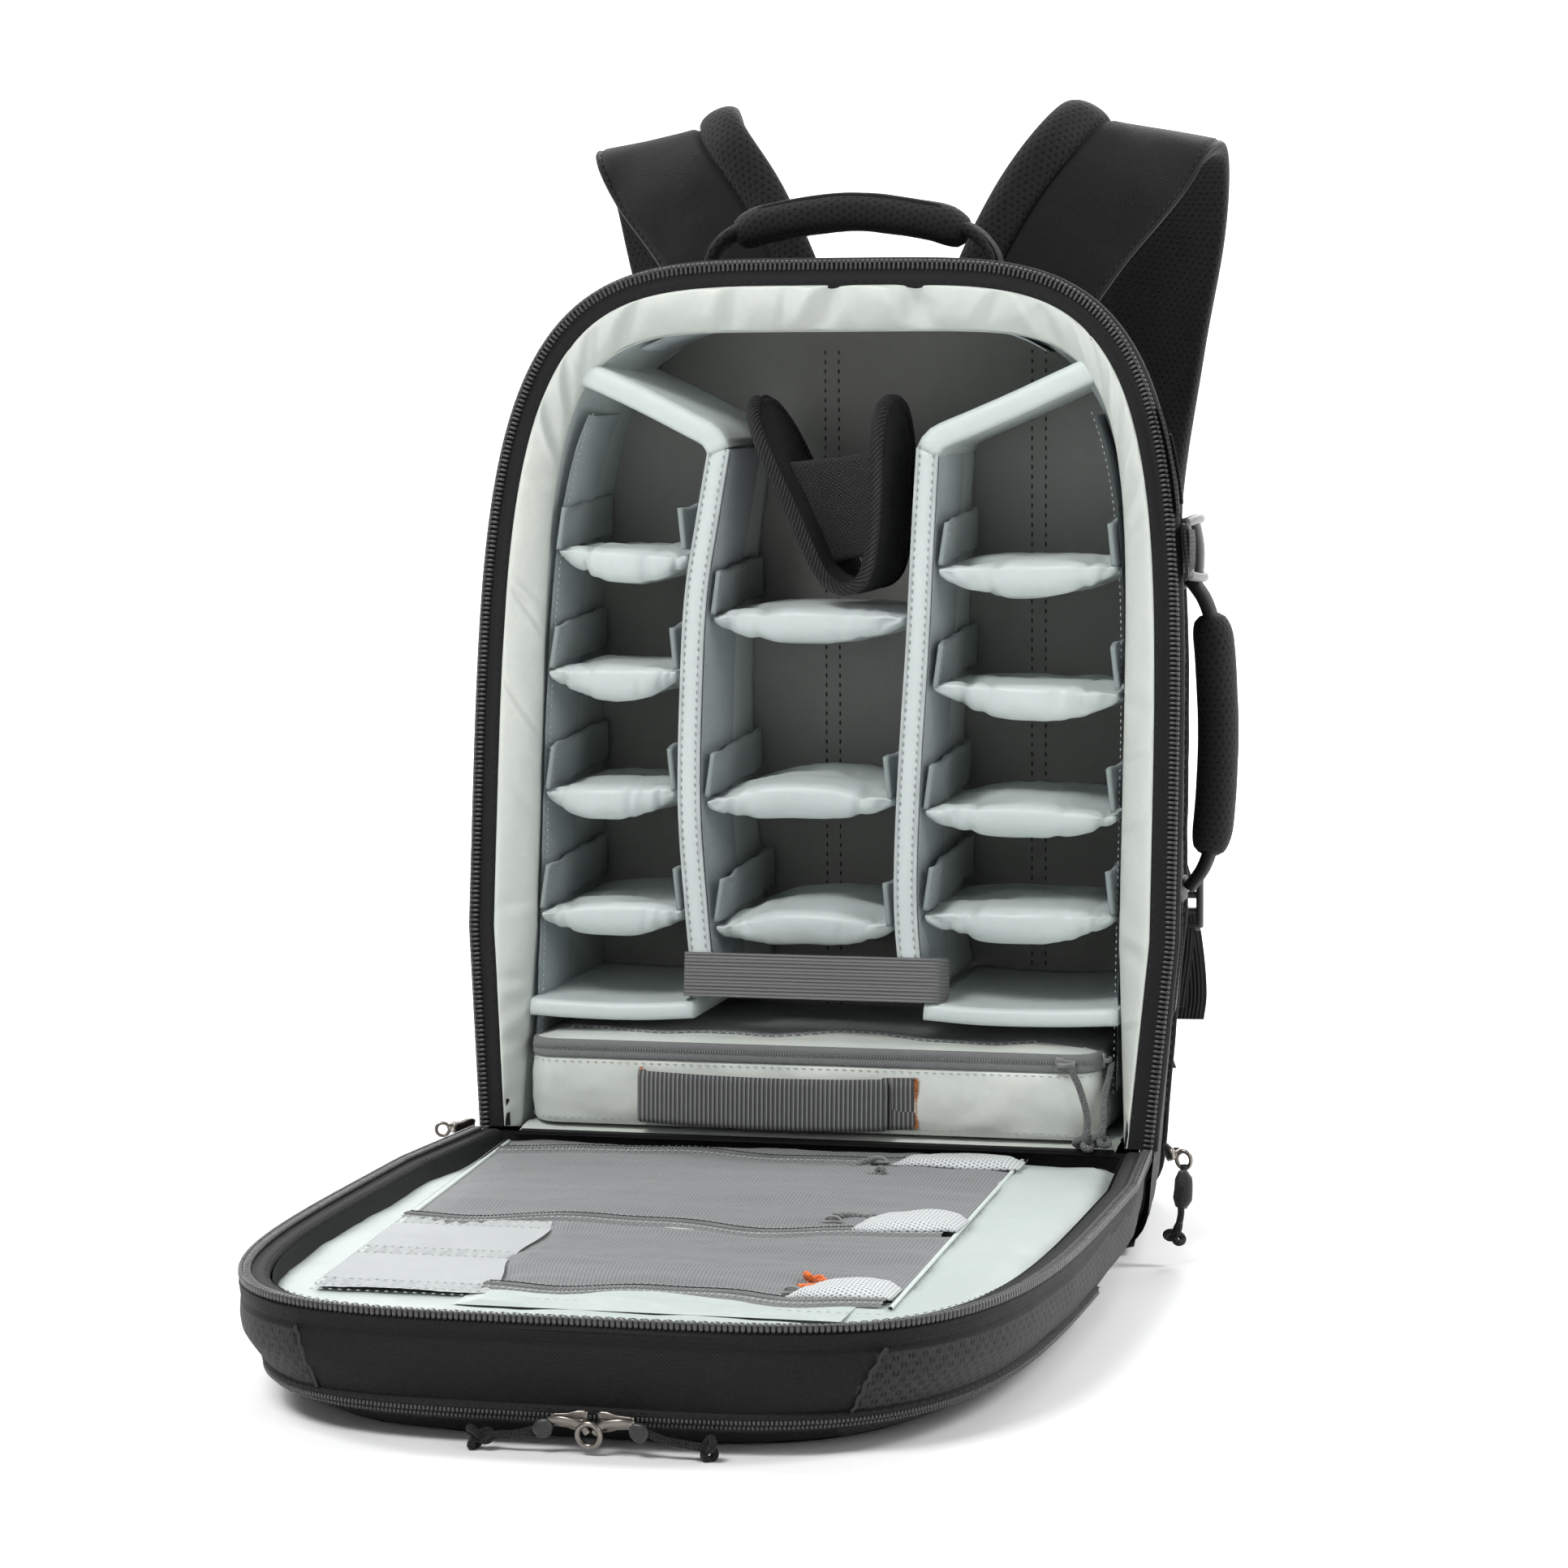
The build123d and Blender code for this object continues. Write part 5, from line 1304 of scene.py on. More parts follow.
# soft top: a crowned mesh with pale cloth showing along its front edge
ct = np.array([(CX0 + CX1) / 2, (CY0 + CY1) / 2])
rows = []
q1, _ = case_ring(1.2, 13.0)
for v in np.linspace(0, 1, 20):
    k = 1 - v
    Q = np.stack([ct[0] + (q1[:, 0] - ct[0]) * k, ct[1] + (q1[:, 1] - ct[1]) * k, np.full(len(q1), 92.5)], -1)
    h = 3.6 * (1 - k ** 6) ** 0.6
    sag = fbm_arr(Q, 0.016, 31.0, 3) * 3.0 * (1 - k ** 5)
    Q[:, 2] += np.clip(h + sag - 0.6 * (1 - k ** 3), -1.0, 5.2)
    rows.append(Q)
G = np.stack(rows, 1)


def top_mat(i, j):
    x, y, _ = G[i, j]
    edge_ = CY0 + 17 + 5.5 * math.sin(x * 0.035 + 0.6) + 3 * math.sin(x * 0.09) + 10 * math.exp(-((x - 112) / 16) ** 2)
    return 1 if y < edge_ and abs(x) < 142 else 0


piece(grid("case_mesh_top", G, "greymesh", closed_u=True, mats=["greymesh", "lining_cream"], mfun=top_mat), "accessory_case", "case_top")
xs_ = np.linspace(-128, 104, 90)
ye = CY0 + 17.3 + 5.5 * np.sin(xs_ * 0.035 + 0.6) + 3 * np.sin(xs_ * 0.09) + 10 * np.exp(-((xs_ - 112) / 16) ** 2)
Gf = G.reshape(-1, 3)
from mathutils.kdtree import KDTree
kd = KDTree(len(Gf))
for i, p in enumerate(Gf):
    kd.insert((p[0], p[1], 0), i)
kd.balance()


def top_z(x, y):
    hits = kd.find_n((x, y, 0), 4)
    wsum = sum(1 / (h[2] + 0.5) for h in hits)
    return sum(Gf[h[1]][2] / (h[2] + 0.5) for h in hits) / wsum


pe_ = np.array([(x, y, top_z(x, y) + 0.4) for x, y in zip(xs_, ye)])
stitches("case_top_stitch", pe_, (0, 0, 1), "threadpale", "accessory_case", length=3.0, gap=1.2, w=0.9, h=0.8)
piece(grid("case_top_fold", tube_grid(resample(pe_ + np.array([0, 1.4, 0.1]), step=3), (0, 0, 1), 1.3, 0.9, 10), "greymesh", closed_v=True), "accessory_case")

# webbing handle
hp = catmull([(-80.0, YC - 1.2), (-85.0, YC - 2.0), (-86.6, YC - 4.2), (-83, YC - 6.4), (-62, YC - 8.0), (-20, YC - 8.8), (16, YC - 8.2), (33, YC - 6.6), (36.4, YC - 4.2), (33.0, YC - 2.4), (38, YC - 1.7), (50.0, YC - 1.6)], 8)
hp = resample(hp, step=2.0)
zc = 67.0 + 1.4 * np.sin((hp[:, 0] + 86) / 136 * math.pi) * -1
ribbon("case_strap", np.stack([hp[:, 0], hp[:, 1], zc], -1), (0, 0.05, 1), 25.0, "webgrey", "accessory_case", t=1.5, rep="case_handle", slot="grey_webbing", nw=10)
ribbon("case_strap_end", np.array([(x, YC - 1.9, 67.0) for x in np.linspace(38, 49.4, 8)]), (0, 0, 1), 24.5, "webgrey", "accessory_case", t=1.3)
for k, (x, z0_, z1_) in enumerate(((50.2, 55.5, 79.0), (-85.6, 76.0, 80.6))):
    zs = np.linspace(z0_, z1_, max(6, int((z1_ - z0_) / 0.75)))
    Pz = np.array([(x + 0.3 * (i % 2), YC - 2.4 if k == 0 else YC - 4.4, z) for i, z in enumerate(zs)])
    T_ = np.tile([1.0, 0, 0.15], (len(zs), 1)); S_ = np.tile([0, 0, 1.0], (len(zs), 1)); U_2 = np.tile([0, -1.0, 0], (len(zs), 1))
    piece(scatter("case_bartack%d" % k, Pz, T_, S_, U_2, (3.2, 0.9, 1.1), "orange", SV, SF), "accessory_case")


def slider(name, c, ax, out, body, rep=(), mat="gunmetal", L=11.0, W=8.0, H=4.2, ring=True):
    """a zip slider: two wings and a bridge over the top. ax = along the zip, out = away from the cloth (mm)"""
    c, ax, out = (np.asarray(v, float) for v in (c, ax, out))
    ax /= np.linalg.norm(ax); out /= np.linalg.norm(out)
    sd = np.cross(out, ax)
    rows = []
    for u in np.linspace(0, 1, 12):                      # the body, waisted
        wd = W / 2 * (1 - 0.30 * u ** 1.5) * (0.80 + 0.20 * math.sin(math.pi * min(1, u * 1.6 + 0.15)))
        th = H * 0.36 * (0.7 + 0.3 * math.sin(math.pi * u))
        b = np.linspace(0, 2 * np.pi, 16, endpoint=False)
        cs, sn = np.sign(np.cos(b)) * np.abs(np.cos(b)) ** 0.45, np.sign(np.sin(b)) * np.abs(np.sin(b)) ** 0.45
        rows.append(c + ax * L * (u - 0.5) + out * (H * 0.10) + cs[:, None] * wd * sd + sn[:, None] * th * out)
    a = grid(name + "_b", np.stack(rows), mat, closed_v=True, cap0=True, cap1=True)
    br = catmull([c + ax * L * -0.42 + out * H * 0.3, c + ax * L * -0.30 + out * H * 0.85, c + ax * 0 + out * H * 1.02, c + ax * L * 0.28 + out * H * 0.8, c + ax * L * 0.42 + out * H * 0.3], 6)
    b_ = grid(name + "_r", tube_grid(br, sd, W * 0.10, W * 0.17, 10, 3.0), mat, closed_v=True, cap0=True, cap1=True)
    objs = [a, b_]
    o = join(name, objs)
    me = o.data
    me.polygons.foreach_set("use_smooth", np.ones(len(me.polygons), bool))
    return piece(o, body, rep)


def ring_piece(name, c, axis, r, rr, mat, body, rep=(), stretch=1.0, n=36):
    c, axis = np.asarray(c, float), np.asarray(axis, float)
    axis /= np.linalg.norm(axis)
    e1 = np.cross(axis, (0.1, 0.2, 1)); e1 /= np.linalg.norm(e1)
    e2 = np.cross(axis, e1)
    t = np.linspace(0, 2 * np.pi, n, endpoint=False)
    b = np.linspace(0, 2 * np.pi, 10, endpoint=False)
    rad = np.cos(t)[:, None] * e1 + np.sin(t)[:, None] * e2 * stretch
    G = c + rad[:, None, :] * (r + rr * np.cos(b))[None, :, None] + np.sin(b)[None, :, None] * rr * axis
    return piece(grid(name, G, mat, closed_u=True, closed_v=True), body, rep)


slider("case_slider_f", (122.5, YC - 1.6, 88.2), (1, 0, 0), (0, -1, 0), "case_slider_a", "case_slider_front", mat="plasticgrey", L=9.5, W=7.5, H=3.2)
slider("case_slider_s", (137.6, YC + 18.5, 88.2), (0, 1, 0), (1, 0, 0), "case_slider_b", "case_slider_side", mat="plasticgrey", L=9.5, W=7.5, H=3.2)

# ------------------------------------------------------------------ lid
SEC = [(0.5, 173, 163.5, 422.5, 4.52), (20, 172, 160.5, 423, 4.45), (38, 162, 151, 421, 4.1), (50, 147, 138, 408, 3.8)]


def lid_sec(d, off=0.0, M_=260, t0=4.0):
    ds = [s[0] for s in SEC]
    W, W0, H, N = (float(np.interp(d, ds, [s[k] for s in SEC])) for k in (1, 2, 3, 4))
    return outline(W=W, W0=W0, HS=97.85, H=H, N=N, s0=t0, M_=M_, off=off)


LIDN = 300
dgrid = np.array([2.2, 3.5, 5.0, 8.0, 8.9, 10.0, 13.0, 17.0, 21.0, 25.0, 29.0, 32.0, 34.0, 36.0, 38.0, 40.0, 42.0, 44.0, 46.5, 48.5, 49.6])
secs = [lid_sec(d, M_=LIDN) for d in dgrid]
Gd = np.stack([L3(s[0][:, 0], s[0][:, 1], d) for s, d in zip(secs, dgrid)], 1)
nout = secs[5][1]
t_out = secs[5][0][:, 1]
zmin = 50 - np.clip(37 * (1 - (t_out - 4) / 225.0), 0, 37)
dmax = np.clip(zmin, 13.6, 49.7)
G = np.zeros((LIDN, 24, 3))
Dm = np.zeros((LIDN, 24))
for i in range(LIDN):
    dd = 2.2 + (dmax[i] - 2.2) * np.linspace(0, 1, 24)
    Dm[i] = dd
    for k in range(3):
        G[i, :, k] = np.interp(dd, dgrid, Gd[i, :, k])
    bul = 0.9 * np.sin(np.pi * np.clip((dd - 9) / 24, 0, 1)) - 1.1 * np.exp(-((dd - 8.2) / 0.9) ** 2) + 0.5 * np.exp(-((dd - 5.5) / 1.5) ** 2)
    e = np.clip((dd - 46) / 4, 0, 1) ** 2 * -3.5 * (1 if dmax[i] > 48 else 0)
    G[i, :, 0] += nout[i, 0] * (bul + e)
    G[i, :, 1] -= nout[i, 1] * (bul + e)
    G[i, :, 2] = np.maximum(G[i, :, 2], 0.4)
w2 = fbm_arr(G, 0.018, 41.0) * 0.8
G[..., 0] += nout[:, None, 0] * w2
G[..., 1] -= nout[:, None, 1] * w2


def lid_mat(i, j):
    x, t, d = G[i, j, 0], HY - G[i, j, 1], Dm[i, j]
    if d < 8.5:
        return 2
    if t > 300 and -114.5 + 12 * d / 38 < x < 130 - 20 * d / 38:
        return 0
    return 1


piece(grid("lid_wall", G, "ballistic", mats=["ballistic", "charcoal", "ballistic"], mfun=lid_mat, flip=True), "lid", ("lid_shell", "front_pocket"))
for nm, xa, xb in (("l", -114.5, -102.5), ("r", 130.0, 110.0)):
    pts = []
    for d in np.linspace(8.5, 33.5, 14):
        s_, n_ = lid_sec(d, 1.2, M_=600)
        xw = xa + (xb - xa) * d / 38
        k = [i for i in range(600) if s_[i, 1] > 300]
        i = min(k, key=lambda i: abs(s_[i, 0] - xw))
        pts.append(L3(s_[i, 0], s_[i, 1], d))
    pp_ = resample(np.array(pts), step=1.2)
    piece(grid("lid_seam_" + nm, tube_grid(pp_, (0, -1, 0), 0.9, 0.7, 8), "threadblack", closed_v=True), "lid")
# underside
G2 = np.zeros((60, 50, 3))
for j, t in enumerate(np.linspace(4, 405, 50)):
    dz = min(50 - 37 * (1 - (t - 4) / 225.0), 49.8) if t < 229 else 49.8
    s_, _ = lid_sec(dz, -2.1 if t > 229 else -0.3, M_=400)
    half_ = s_[:200]
    hw = float(np.interp(t, half_[:, 1], half_[:, 0]))
    G2[:, j] = L3(np.linspace(-1, 1, 60) * hw, t, dz)
G2[..., 2] = np.maximum(G2[..., 2], 0.25)
piece(grid("lid_underside", G2, "ballistic"), "lid")
# second zip round the front pocket
sA, nA = lid_sec(38.0, 0.0, M_=500)
kk = np.where(sA[:, 1] > 150)[0]
pr_ = [(-1.0, 33.4), (1.1, 34.2), (1.7, 35.6), (1.6, 37.2), (1.2, 37.7), (1.2, 38.3), (1.6, 38.8), (1.7, 40.6), (1.1, 41.9), (-1.0, 42.6)]
rows = []
for o, d in pr_:
    s_, n_ = lid_sec(d, o + 0.6, M_=500)
    rows.append(L3(s_[kk, 0], s_[kk, 1], d))
piece(grid("front_zip_tape", np.stack(rows, 1), "tape", flip=True), "lid", "front_pocket_zip")
for d, nm in ((36.9, "u"), (39.1, "d")):
    s_, n_ = lid_sec(d, 2.4, M_=500)
    teeth_run("front_zip_teeth_" + nm, L3(s_[kk, 0], s_[kk, 1], d), np.stack([n_[kk, 0], -n_[kk, 1], 0 * n_[kk, 0]], -1), (0, 0, 1), (1.1, 1.6, 1.7), 1.75, "teeth", "lid")
for d, nm in ((34.4, "a"), (41.6, "b")):
    s_, n_ = lid_sec(d, 1.9, M_=500)
    stitches("front_zip_stitch_" + nm, L3(s_[kk, 0], s_[kk, 1], d), np.stack([n_[kk, 0], -n_[kk, 1], 0 * n_[kk, 0]], -1), "threadblack", "lid", w=0.6, h=0.5)

# inside of the lid: black inner wall, pale tray
pI, nI = outline(M_=300, off=-8.0, s0=5.0)
G = np.stack([L3(pI[:, 0] - nI[:, 0] * a, pI[:, 1] - nI[:, 1] * a, d) for a, d in ((0.0, 1.6), (-0.5, 4.0), (0.5, 7.0), (1.5, 10.0), (5.0, 13.5), (12.0, 14.5))], 1)
piece(grid("lid_inner_wall", G, "tape", flip=True), "lid")


def border(t, side):
    if side < 0:
        return -151.0 + (t + 18) * 0.0714
    return 104.0 + 0.030 * t


G = np.zeros((120, 110, 3))
pT, nT = outline(M_=600, off=-7.0)
hT = pT[:300]
tv = np.linspace(5.0, 408.6, 110)
for j, t in enumerate(tv):
    hw = float(np.interp(t, hT[:, 1], hT[:, 0]))
    xl, xr = -hw + 1.6, hw - 10.0 * math.exp(-((t - 190) / 90) ** 2) - 1.5
    u = np.linspace(0, 1, 120)
    X = xl + (xr - xl) * u
    dist = np.minimum.reduce([(X - xl), (xr - X), np.full(120, 409.0 - t), np.full(120, 4 + t * 1.0)])
    far_ = np.clip((t - 372.0) / 36.0, 0, 1)
    dist = np.minimum.reduce([(X - xl), (xr - X), np.full(120, 4 + t * 1.0)]) + 30 * far_
    G[:, j] = L3(X, t, 6.8 + np.where(u < 0.5, 2.4, 6.5) * (1 - np.clip(dist / 13.0, 0, 1) ** 0.6) - 4.6 * far_ ** 0.8)
f = fbm_arr(G, 0.022, 51.0, 3)
G[..., 2] += f * 1.3 - 0.4
G[..., 2] = np.minimum(G[..., 2], np.where(HY - G[..., 1] > 372, 48.2, 43.9))
near_ = HY - G[..., 1] < 24
G[..., 2] = np.where(near_, np.maximum(G[..., 2], 50 - 11.2 + 0.0 * G[..., 2]), G[..., 2])
piece(grid("lid_lining", G, "lid_lining_painted_shade", flip=False), "lid", "lid_padding")


def wave(x, t0, a=6.0, ph=0.0, L=120.0):
    return t0 + a * np.sin(2 * np.pi * (np.asarray(x) + ph) / L) + 0.35 * a * np.sin(2 * np.pi * (np.asarray(x) - ph) / (L * 0.43))


Z1 = lambda x: wave(x, 17.0, 6.0, 30, 150)
Z2 = lambda x: wave(x, 190.0, 8.0, 10, 150)
Z3 = lambda x: wave(x, 331.0, 5.0, 60, 110)


def mesh_panel(name, f0, f1, xl, xr, rep, seed, lift=1.6, mat="greymesh"):
    nu, nv = 100, 44
    G = np.zeros((nu, nv, 3))
    for j, v in enumerate(np.linspace(0, 1, nv)):
        u = np.linspace(0, 1, nu)
        for _ in range(2):
            tm = 0.0
        xa = np.array([xl(0) if False else 0.0])
        x_ = u
        ta = f0(-20.0) * (1 - v) + f1(-20.0) * v
        X = xl(ta) + (xr(ta) - xl(ta)) * u
        T = f0(X) * (1 - v) + f1(X) * v
        X = xl(T) + (xr(T) - xl(T)) * u
        e = np.clip(np.minimum(np.minimum(u, 1 - u) / 0.06, min(v, 1 - v) / 0.10), 0, 1)
        G[:, j] = L3(X, T, 6.3)
        G[:, j, 2] += e * lift
    e2 = np.clip((G[..., 2] - (HZ - 6.3)) / lift, 0, 1)
    D = np.stack([G[..., 0] * 0.55 + G[..., 1] * 0.2, G[..., 1] * 1.3, G[..., 0] * 0], -1)
    G[..., 2] += e2 * fbm_arr(D, 0.022, seed, 4) * 2.2
    G[..., 2] = np.clip(G[..., 2], 42.9, 47.6)
    return piece(grid(name, G, mat, flip=False), "lid", rep)


BL, BR = lambda t: border(np.asarray(t), -1), lambda t: border(np.asarray(t), 1)
mesh_panel("pocket_strip_hinge", lambda x: 3.0 + 0 * np.asarray(x), lambda x: Z1(x) - 1.0, BL, BR, (), 61.0, lift=0.8)
mesh_panel("pocket_mesh_near", lambda x: Z1(x) + 11, lambda x: Z2(x) - 1.0, BL, BR, "lid_pocket_near", 62.0)
edgeL = lambda t: -72.0 + (np.asarray(t) - 205) * 0.10 + 3 * np.sin((np.asarray(t) - 205) * 0.06)
mesh_panel("pocket_mesh_middle", lambda x: Z2(x) + 12, lambda x: Z3(x) - 1.0, edgeL, BR, "lid_pocket_middle", 63.0)
# outermost strip of pale cloth beyond the third zip
mesh_panel("pocket_strip_far", lambda x: Z3(x) + 11.5, lambda x: 372.0 + 0 * np.asarray(x), lambda t: -60.0 + 0 * np.asarray(t), lambda t: 100.0 + 0 * np.asarray(t), "lid_pocket_far", 64.0, lift=0.8, mat="lid_lining_painted_shade")
for nm, Z, xl, xr in (("1", Z1, -146, 60), ("2", Z2, -137, 70), ("3", Z3, -57, 76)):
    X = np.linspace(xl, xr + 34, 150)
    T = Z(X)
    rows = [L3(X, T + o, 6.3 - h) for o, h in ((-1.4, 0.0), (-0.4, 1.3), (1.5, 1.7), (5.5, 1.9), (9.0, 1.6), (11.0, 1.3), (12.4, 0.0))]
    G = np.stack(rows, 1)
    piece(grid("pocket_zip_tape" + nm, G, "greyzip", flip=True), "lid")
    sl = resample(L3(X, T - 0.4, 4.9), step=3)
    piece(grid("pocket_zip_slit" + nm, tube_grid(sl, (0, 0, 1), 0.8, 0.5, 8), "tape", closed_v=True), "lid")
    # coil ridges of the reversed zip
    cl = L3(X, T + 5.6, 4.35)
    teeth_run("pocket_zip_coil" + nm, cl, np.tile([0, -1.0, 0], (len(cl), 1)), (0, 0, 1), (0.9, 5.2, 0.8), 1.7, "greycoil", "lid")
    for o, h in ((-2.2, 5.2), (11.6, 4.9)):
        stitches("pocket_zip_stitch%s_%d" % (nm, o > 0), L3(X, T + o, h - 0.3), (0, 0, 1), "threadpale", "lid", length=1.9, gap=1.3, w=1.0, h=0.8)
# vent-mesh garages over the zip ends
for k, (xa, xb, tb, ta) in enumerate(((48, 108, 36.0, -2.0), (64, 110, 193.0, 146.0), (70, 112, 336.0, 300.0))):
    G = np.zeros((40, 16, 3))
    for j, v in enumerate(np.linspace(0, 1, 16)):
        u = np.linspace(0, 1, 40)
        arch = np.sin(np.pi * np.clip(u * 0.86, 0, 1)) ** 0.7
        X = xa + (xb - xa) * u
        T = tb + 3 * np.sin(u * 3 + k) - (tb - max(ta, 4.0)) * arch * v
        e = np.clip(min(v, 1 - v) / 0.22, 0, 1) ** 0.7 * np.clip(np.minimum(u, 1 - u) / 0.12, 0, 1)
        G[:, j] = L3(X, T, 5.2)
        G[:, j, 2] += 2.6 * e
    G[..., 2] += fbm_arr(G, 0.06, 71.0 + k) * 0.6
    g_ = grid("garage_%d" % k, G, "whitemesh", flip=True)
    thicken(g_, 0.8)
    piece(g_, "lid")
    stitches("garage_stitch_%d" % k, G[:, 0] + np.array([0, 0.8, 0.8]), (0, 0, 1), "threadpale", "lid", length=2.0, gap=1.2, w=0.9, h=0.8)
# pen loops: pale elastic gathered in rows
G = np.zeros((70, 70, 3))
for j, v in enumerate(np.linspace(0, 1, 70)):
    t = 205.0 + 150.0 * v
    u = np.linspace(0, 1, 70)
    xl, xr = float(border(t, -1)) - 1, float(edgeL(t)) + 4
    X = xl + (xr - xl) * u
    gath = sum(math.exp(-((t - c_) / 5.5) ** 2) for c_ in (213, 279, 346))
    puff_ = abs(math.sin(math.pi * (t - 213) / 66.5)) ** 0.7
    G[:, j] = L3(X, t + 1.3 * gath * np.sin(X * 1.1), 5.6)
    G[:, j, 2] += 1.3 * puff_ + gath * (0.75 * np.sin(X * 0.9 + 0.7 * math.sin(t * 0.9)) - 0.2)
G[..., 2] += fbm_arr(G, 0.05, 81.0) * 0.5
piece(grid("pen_loops", G, "penloop", flip=False), "lid", "lid_organiser")
for c_ in (213, 279, 346):
    for o in (-6.5, 6.5):
        xs2 = np.linspace(float(border(c_, -1)), float(edgeL(c_)), 40)
        stitches("pen_stitch_%d_%d" % (c_, o > 0), L3(xs2, c_ + o, 4.7), (0, 0, 1), "threadpale", "lid", length=2.2, gap=1.4, w=0.7, h=0.7)
# seams of the border
for nm, fn in (("l", BL), ("r", BR)):
    T = np.linspace(6, 345, 120)
    X = fn(T)
    piece(grid("border_seam_" + nm, tube_grid(resample(L3(X, T, 5.9), step=4), (0, 0, 1), 1.0, 0.8, 8), "lining", closed_v=True), "lid")
    stitches("border_stitch_" + nm, L3(X + (-2.6 if nm == "l" else 2.6), T, 5.75), (0, 0, 1), "threadpale", "lid", length=2.4, gap=1.6, w=0.7, h=0.6)
stitches("border_stitch_far", L3(np.linspace(-125, 112, 90), 358.0 + 0 * np.linspace(-125, 112, 90), 5.6), (0, 0, 1), "threadpale", "lid", length=2.4, gap=1.6, w=0.7, h=0.6)
for nm, c_, b_, nd in (("1", (40.5, 31.5), "pocket_slider_1", "pocket_slider_near"), ("2", (52.5, 179.5), "pocket_slider_2", "pocket_slider_middle"), ("3", (70.5, 329.5), "pocket_slider_3", "pocket_slider_far")):
    slider("pocket_pull_" + nm, tuple(L3(c_[0], c_[1], 4.6)), (1, 0, 0), (0, 0, 1), b_, nd, mat="plasticgrey", L=8.5, W=6.0, H=2.4)

# front pocket sliders with the joining ring
for sg, xc, b_, nd in ((-1, 5.0, "front_slider_a", "front_slider_left"), (1, 23.6, "front_slider_b", "front_slider_right")):
    slider("front_pull_%s" % ("l" if sg < 0 else "r"), (xc, YZP - 2.6, 12.4), (sg, 0, 0), (0, -1, 0), b_, nd, L=14.5, W=8.6, H=3.6)
    arm = catmull([(xc + sg * 8, YZP - 5.6, 12.5), (xc + sg * 2, YZP - 6.9, 13.2), (xc - sg * 5, YZP - 6.6, 11.5), (xc - sg * 8.0, YZP - 6.0, 8.0)], 6)
    piece(grid("front_arm_%s" % ("l" if sg < 0 else "r"), tube_grid(arm, (0, -1, 0), 1.5, 0.8, 10, 3), "gunmetal", closed_v=True, cap0=True, cap1=True), b_)
    blk = catmull([(xc + sg * 7, YZP - 5.5, 11.6), (xc + sg * 10, YZP - 6.0, 9.4), (xc + sg * 13, YZP - 6.2, 7.4)], 5)
    piece(grid("front_tab_%s" % ("l" if sg < 0 else "r"), tube_grid(blk, (0, -1, 0), np.array([2.0, 2.6, 3.2, 3.6, 3.8, 3.9, 3.8, 3.6, 3.3, 2.9, 2.2][:len(blk)]), 1.7, 12, 2.6), "plasticblack", closed_v=True, cap0=True, cap1=True), b_)
ring_piece("front_ring", (13.6, YZP - 6.6, 7.6), (0.05, 1, 0.1), 4.6, 1.25, "gunmetal", "front_slider_a")

# ------------------------------------------------------------------ handles
def padded_grip(name, path, up, r, body, rep, ry=None, mat="spacer"):
    p = resample(catmull(path, 12), step=2.2)
    a = np.r_[0, np.cumsum(np.linalg.norm(np.diff(p, axis=0), axis=1))]
    e = np.minimum(a, a[-1] - a)
    k = 0.50 + 0.50 * np.sqrt(np.clip(1 - (1 - np.clip(e / 14.0, 0, 1)) ** 2, 0, 1))
    G = tube_grid(p, up, r * k, (ry or r) * k, 30, 2.15)
    G += (fbm_arr(G, 0.05, 15.0) * 0.5)[..., None] * np.array([0.3, 0.3, 1.0])
    o = grid(name, G, mat, closed_v=True, cap0=True, cap1=True)
    return piece(o, body, rep), p


_, gp = padded_grip("grip_top", [(-58, 12, 482.0), (-40, 12, 488.6), (0, 12, 493.5), (40, 12, 488.6), (58, 12, 482.0)], (0, 1, 0), 9.6, "top_handle", "top_handle_grip", ry=11.5)
for o_ in (-1, 1):
    q_ = gp + np.array([0, -6.0, 7.9 if o_ > 0 else -7.6])
    piece(grid("grip_top_seam%d" % (o_ > 0), tube_grid(resample(q_[6:-6], step=3), (0, -1, 0), 1.5, 1.3, 10), "strapcloth", closed_v=True, cap0=True, cap1=True), "top_handle")
for sg in (-1, 1):
    pth = catmull([(sg * 46, 12, 487.5), (sg * 58, 12, 484.5), (sg * 66, 12, 478.5), (sg * 70.6, 12, 470.5), (sg * 71.0, 12, 463.6)], 8)
    piece(grid("top_foot_%s" % ("r" if sg > 0 else "l"), tube_grid(resample(pth, step=2), (0, 1, 0), 3.6, 9.5, 20, 2.6), "spacer", closed_v=True, cap0=True, cap1=True), "top_handle", "top_handle_webbing" if sg > 0 else ())
    ribbon("top_foot_tape_%s" % ("r" if sg > 0 else "l"), resample(pth[8:], step=2) + np.array([sg * 3.2, 0, 0.6]), (0, 1, 0), 15.0, "webblack", "top_handle", t=1.2)
    rbox("top_mount_%s" % ("r" if sg > 0 else "l"), (sg * 71 - 9, 1, 459.5), (sg * 71 + 7, 23, 463.4), "webblack", bevel=1.2)

_, gs = padded_grip("grip_side", [(178.7, 2, 182), (181.5, 2, 200), (183.4, 2, 240), (181.5, 2, 280), (178.7, 2, 298)], (0, 1, 0), 9.8, "side_handle", "side_handle_grip", ry=12.0)
for sgz in (-1, 1):
    z0_ = 240 + sgz * 52
    pth = catmull([(180.5, 2, z0_), (178.9, 2, 240 + sgz * 59), (176.0, 2, 240 + sgz * 66), (172.6, 2, 240 + sgz * 71), (169.6, 2, 240 + sgz * 75)], 8)
    piece(grid("side_foot_%d" % (sgz > 0), tube_grid(resample(pth, step=2), (0, 1, 0), 3.3, 9.0, 20, 2.6), "strapcloth", closed_v=True, cap0=True, cap1=True), "side_handle", "side_handle_webbing" if sgz > 0 else ())
    rbox("side_mount_%d" % (sgz > 0), (160.0, -9, 240 + sgz * 76 - 6), (167.2, 13, 240 + sgz * 76 + 6), "webblack", bevel=1.2)


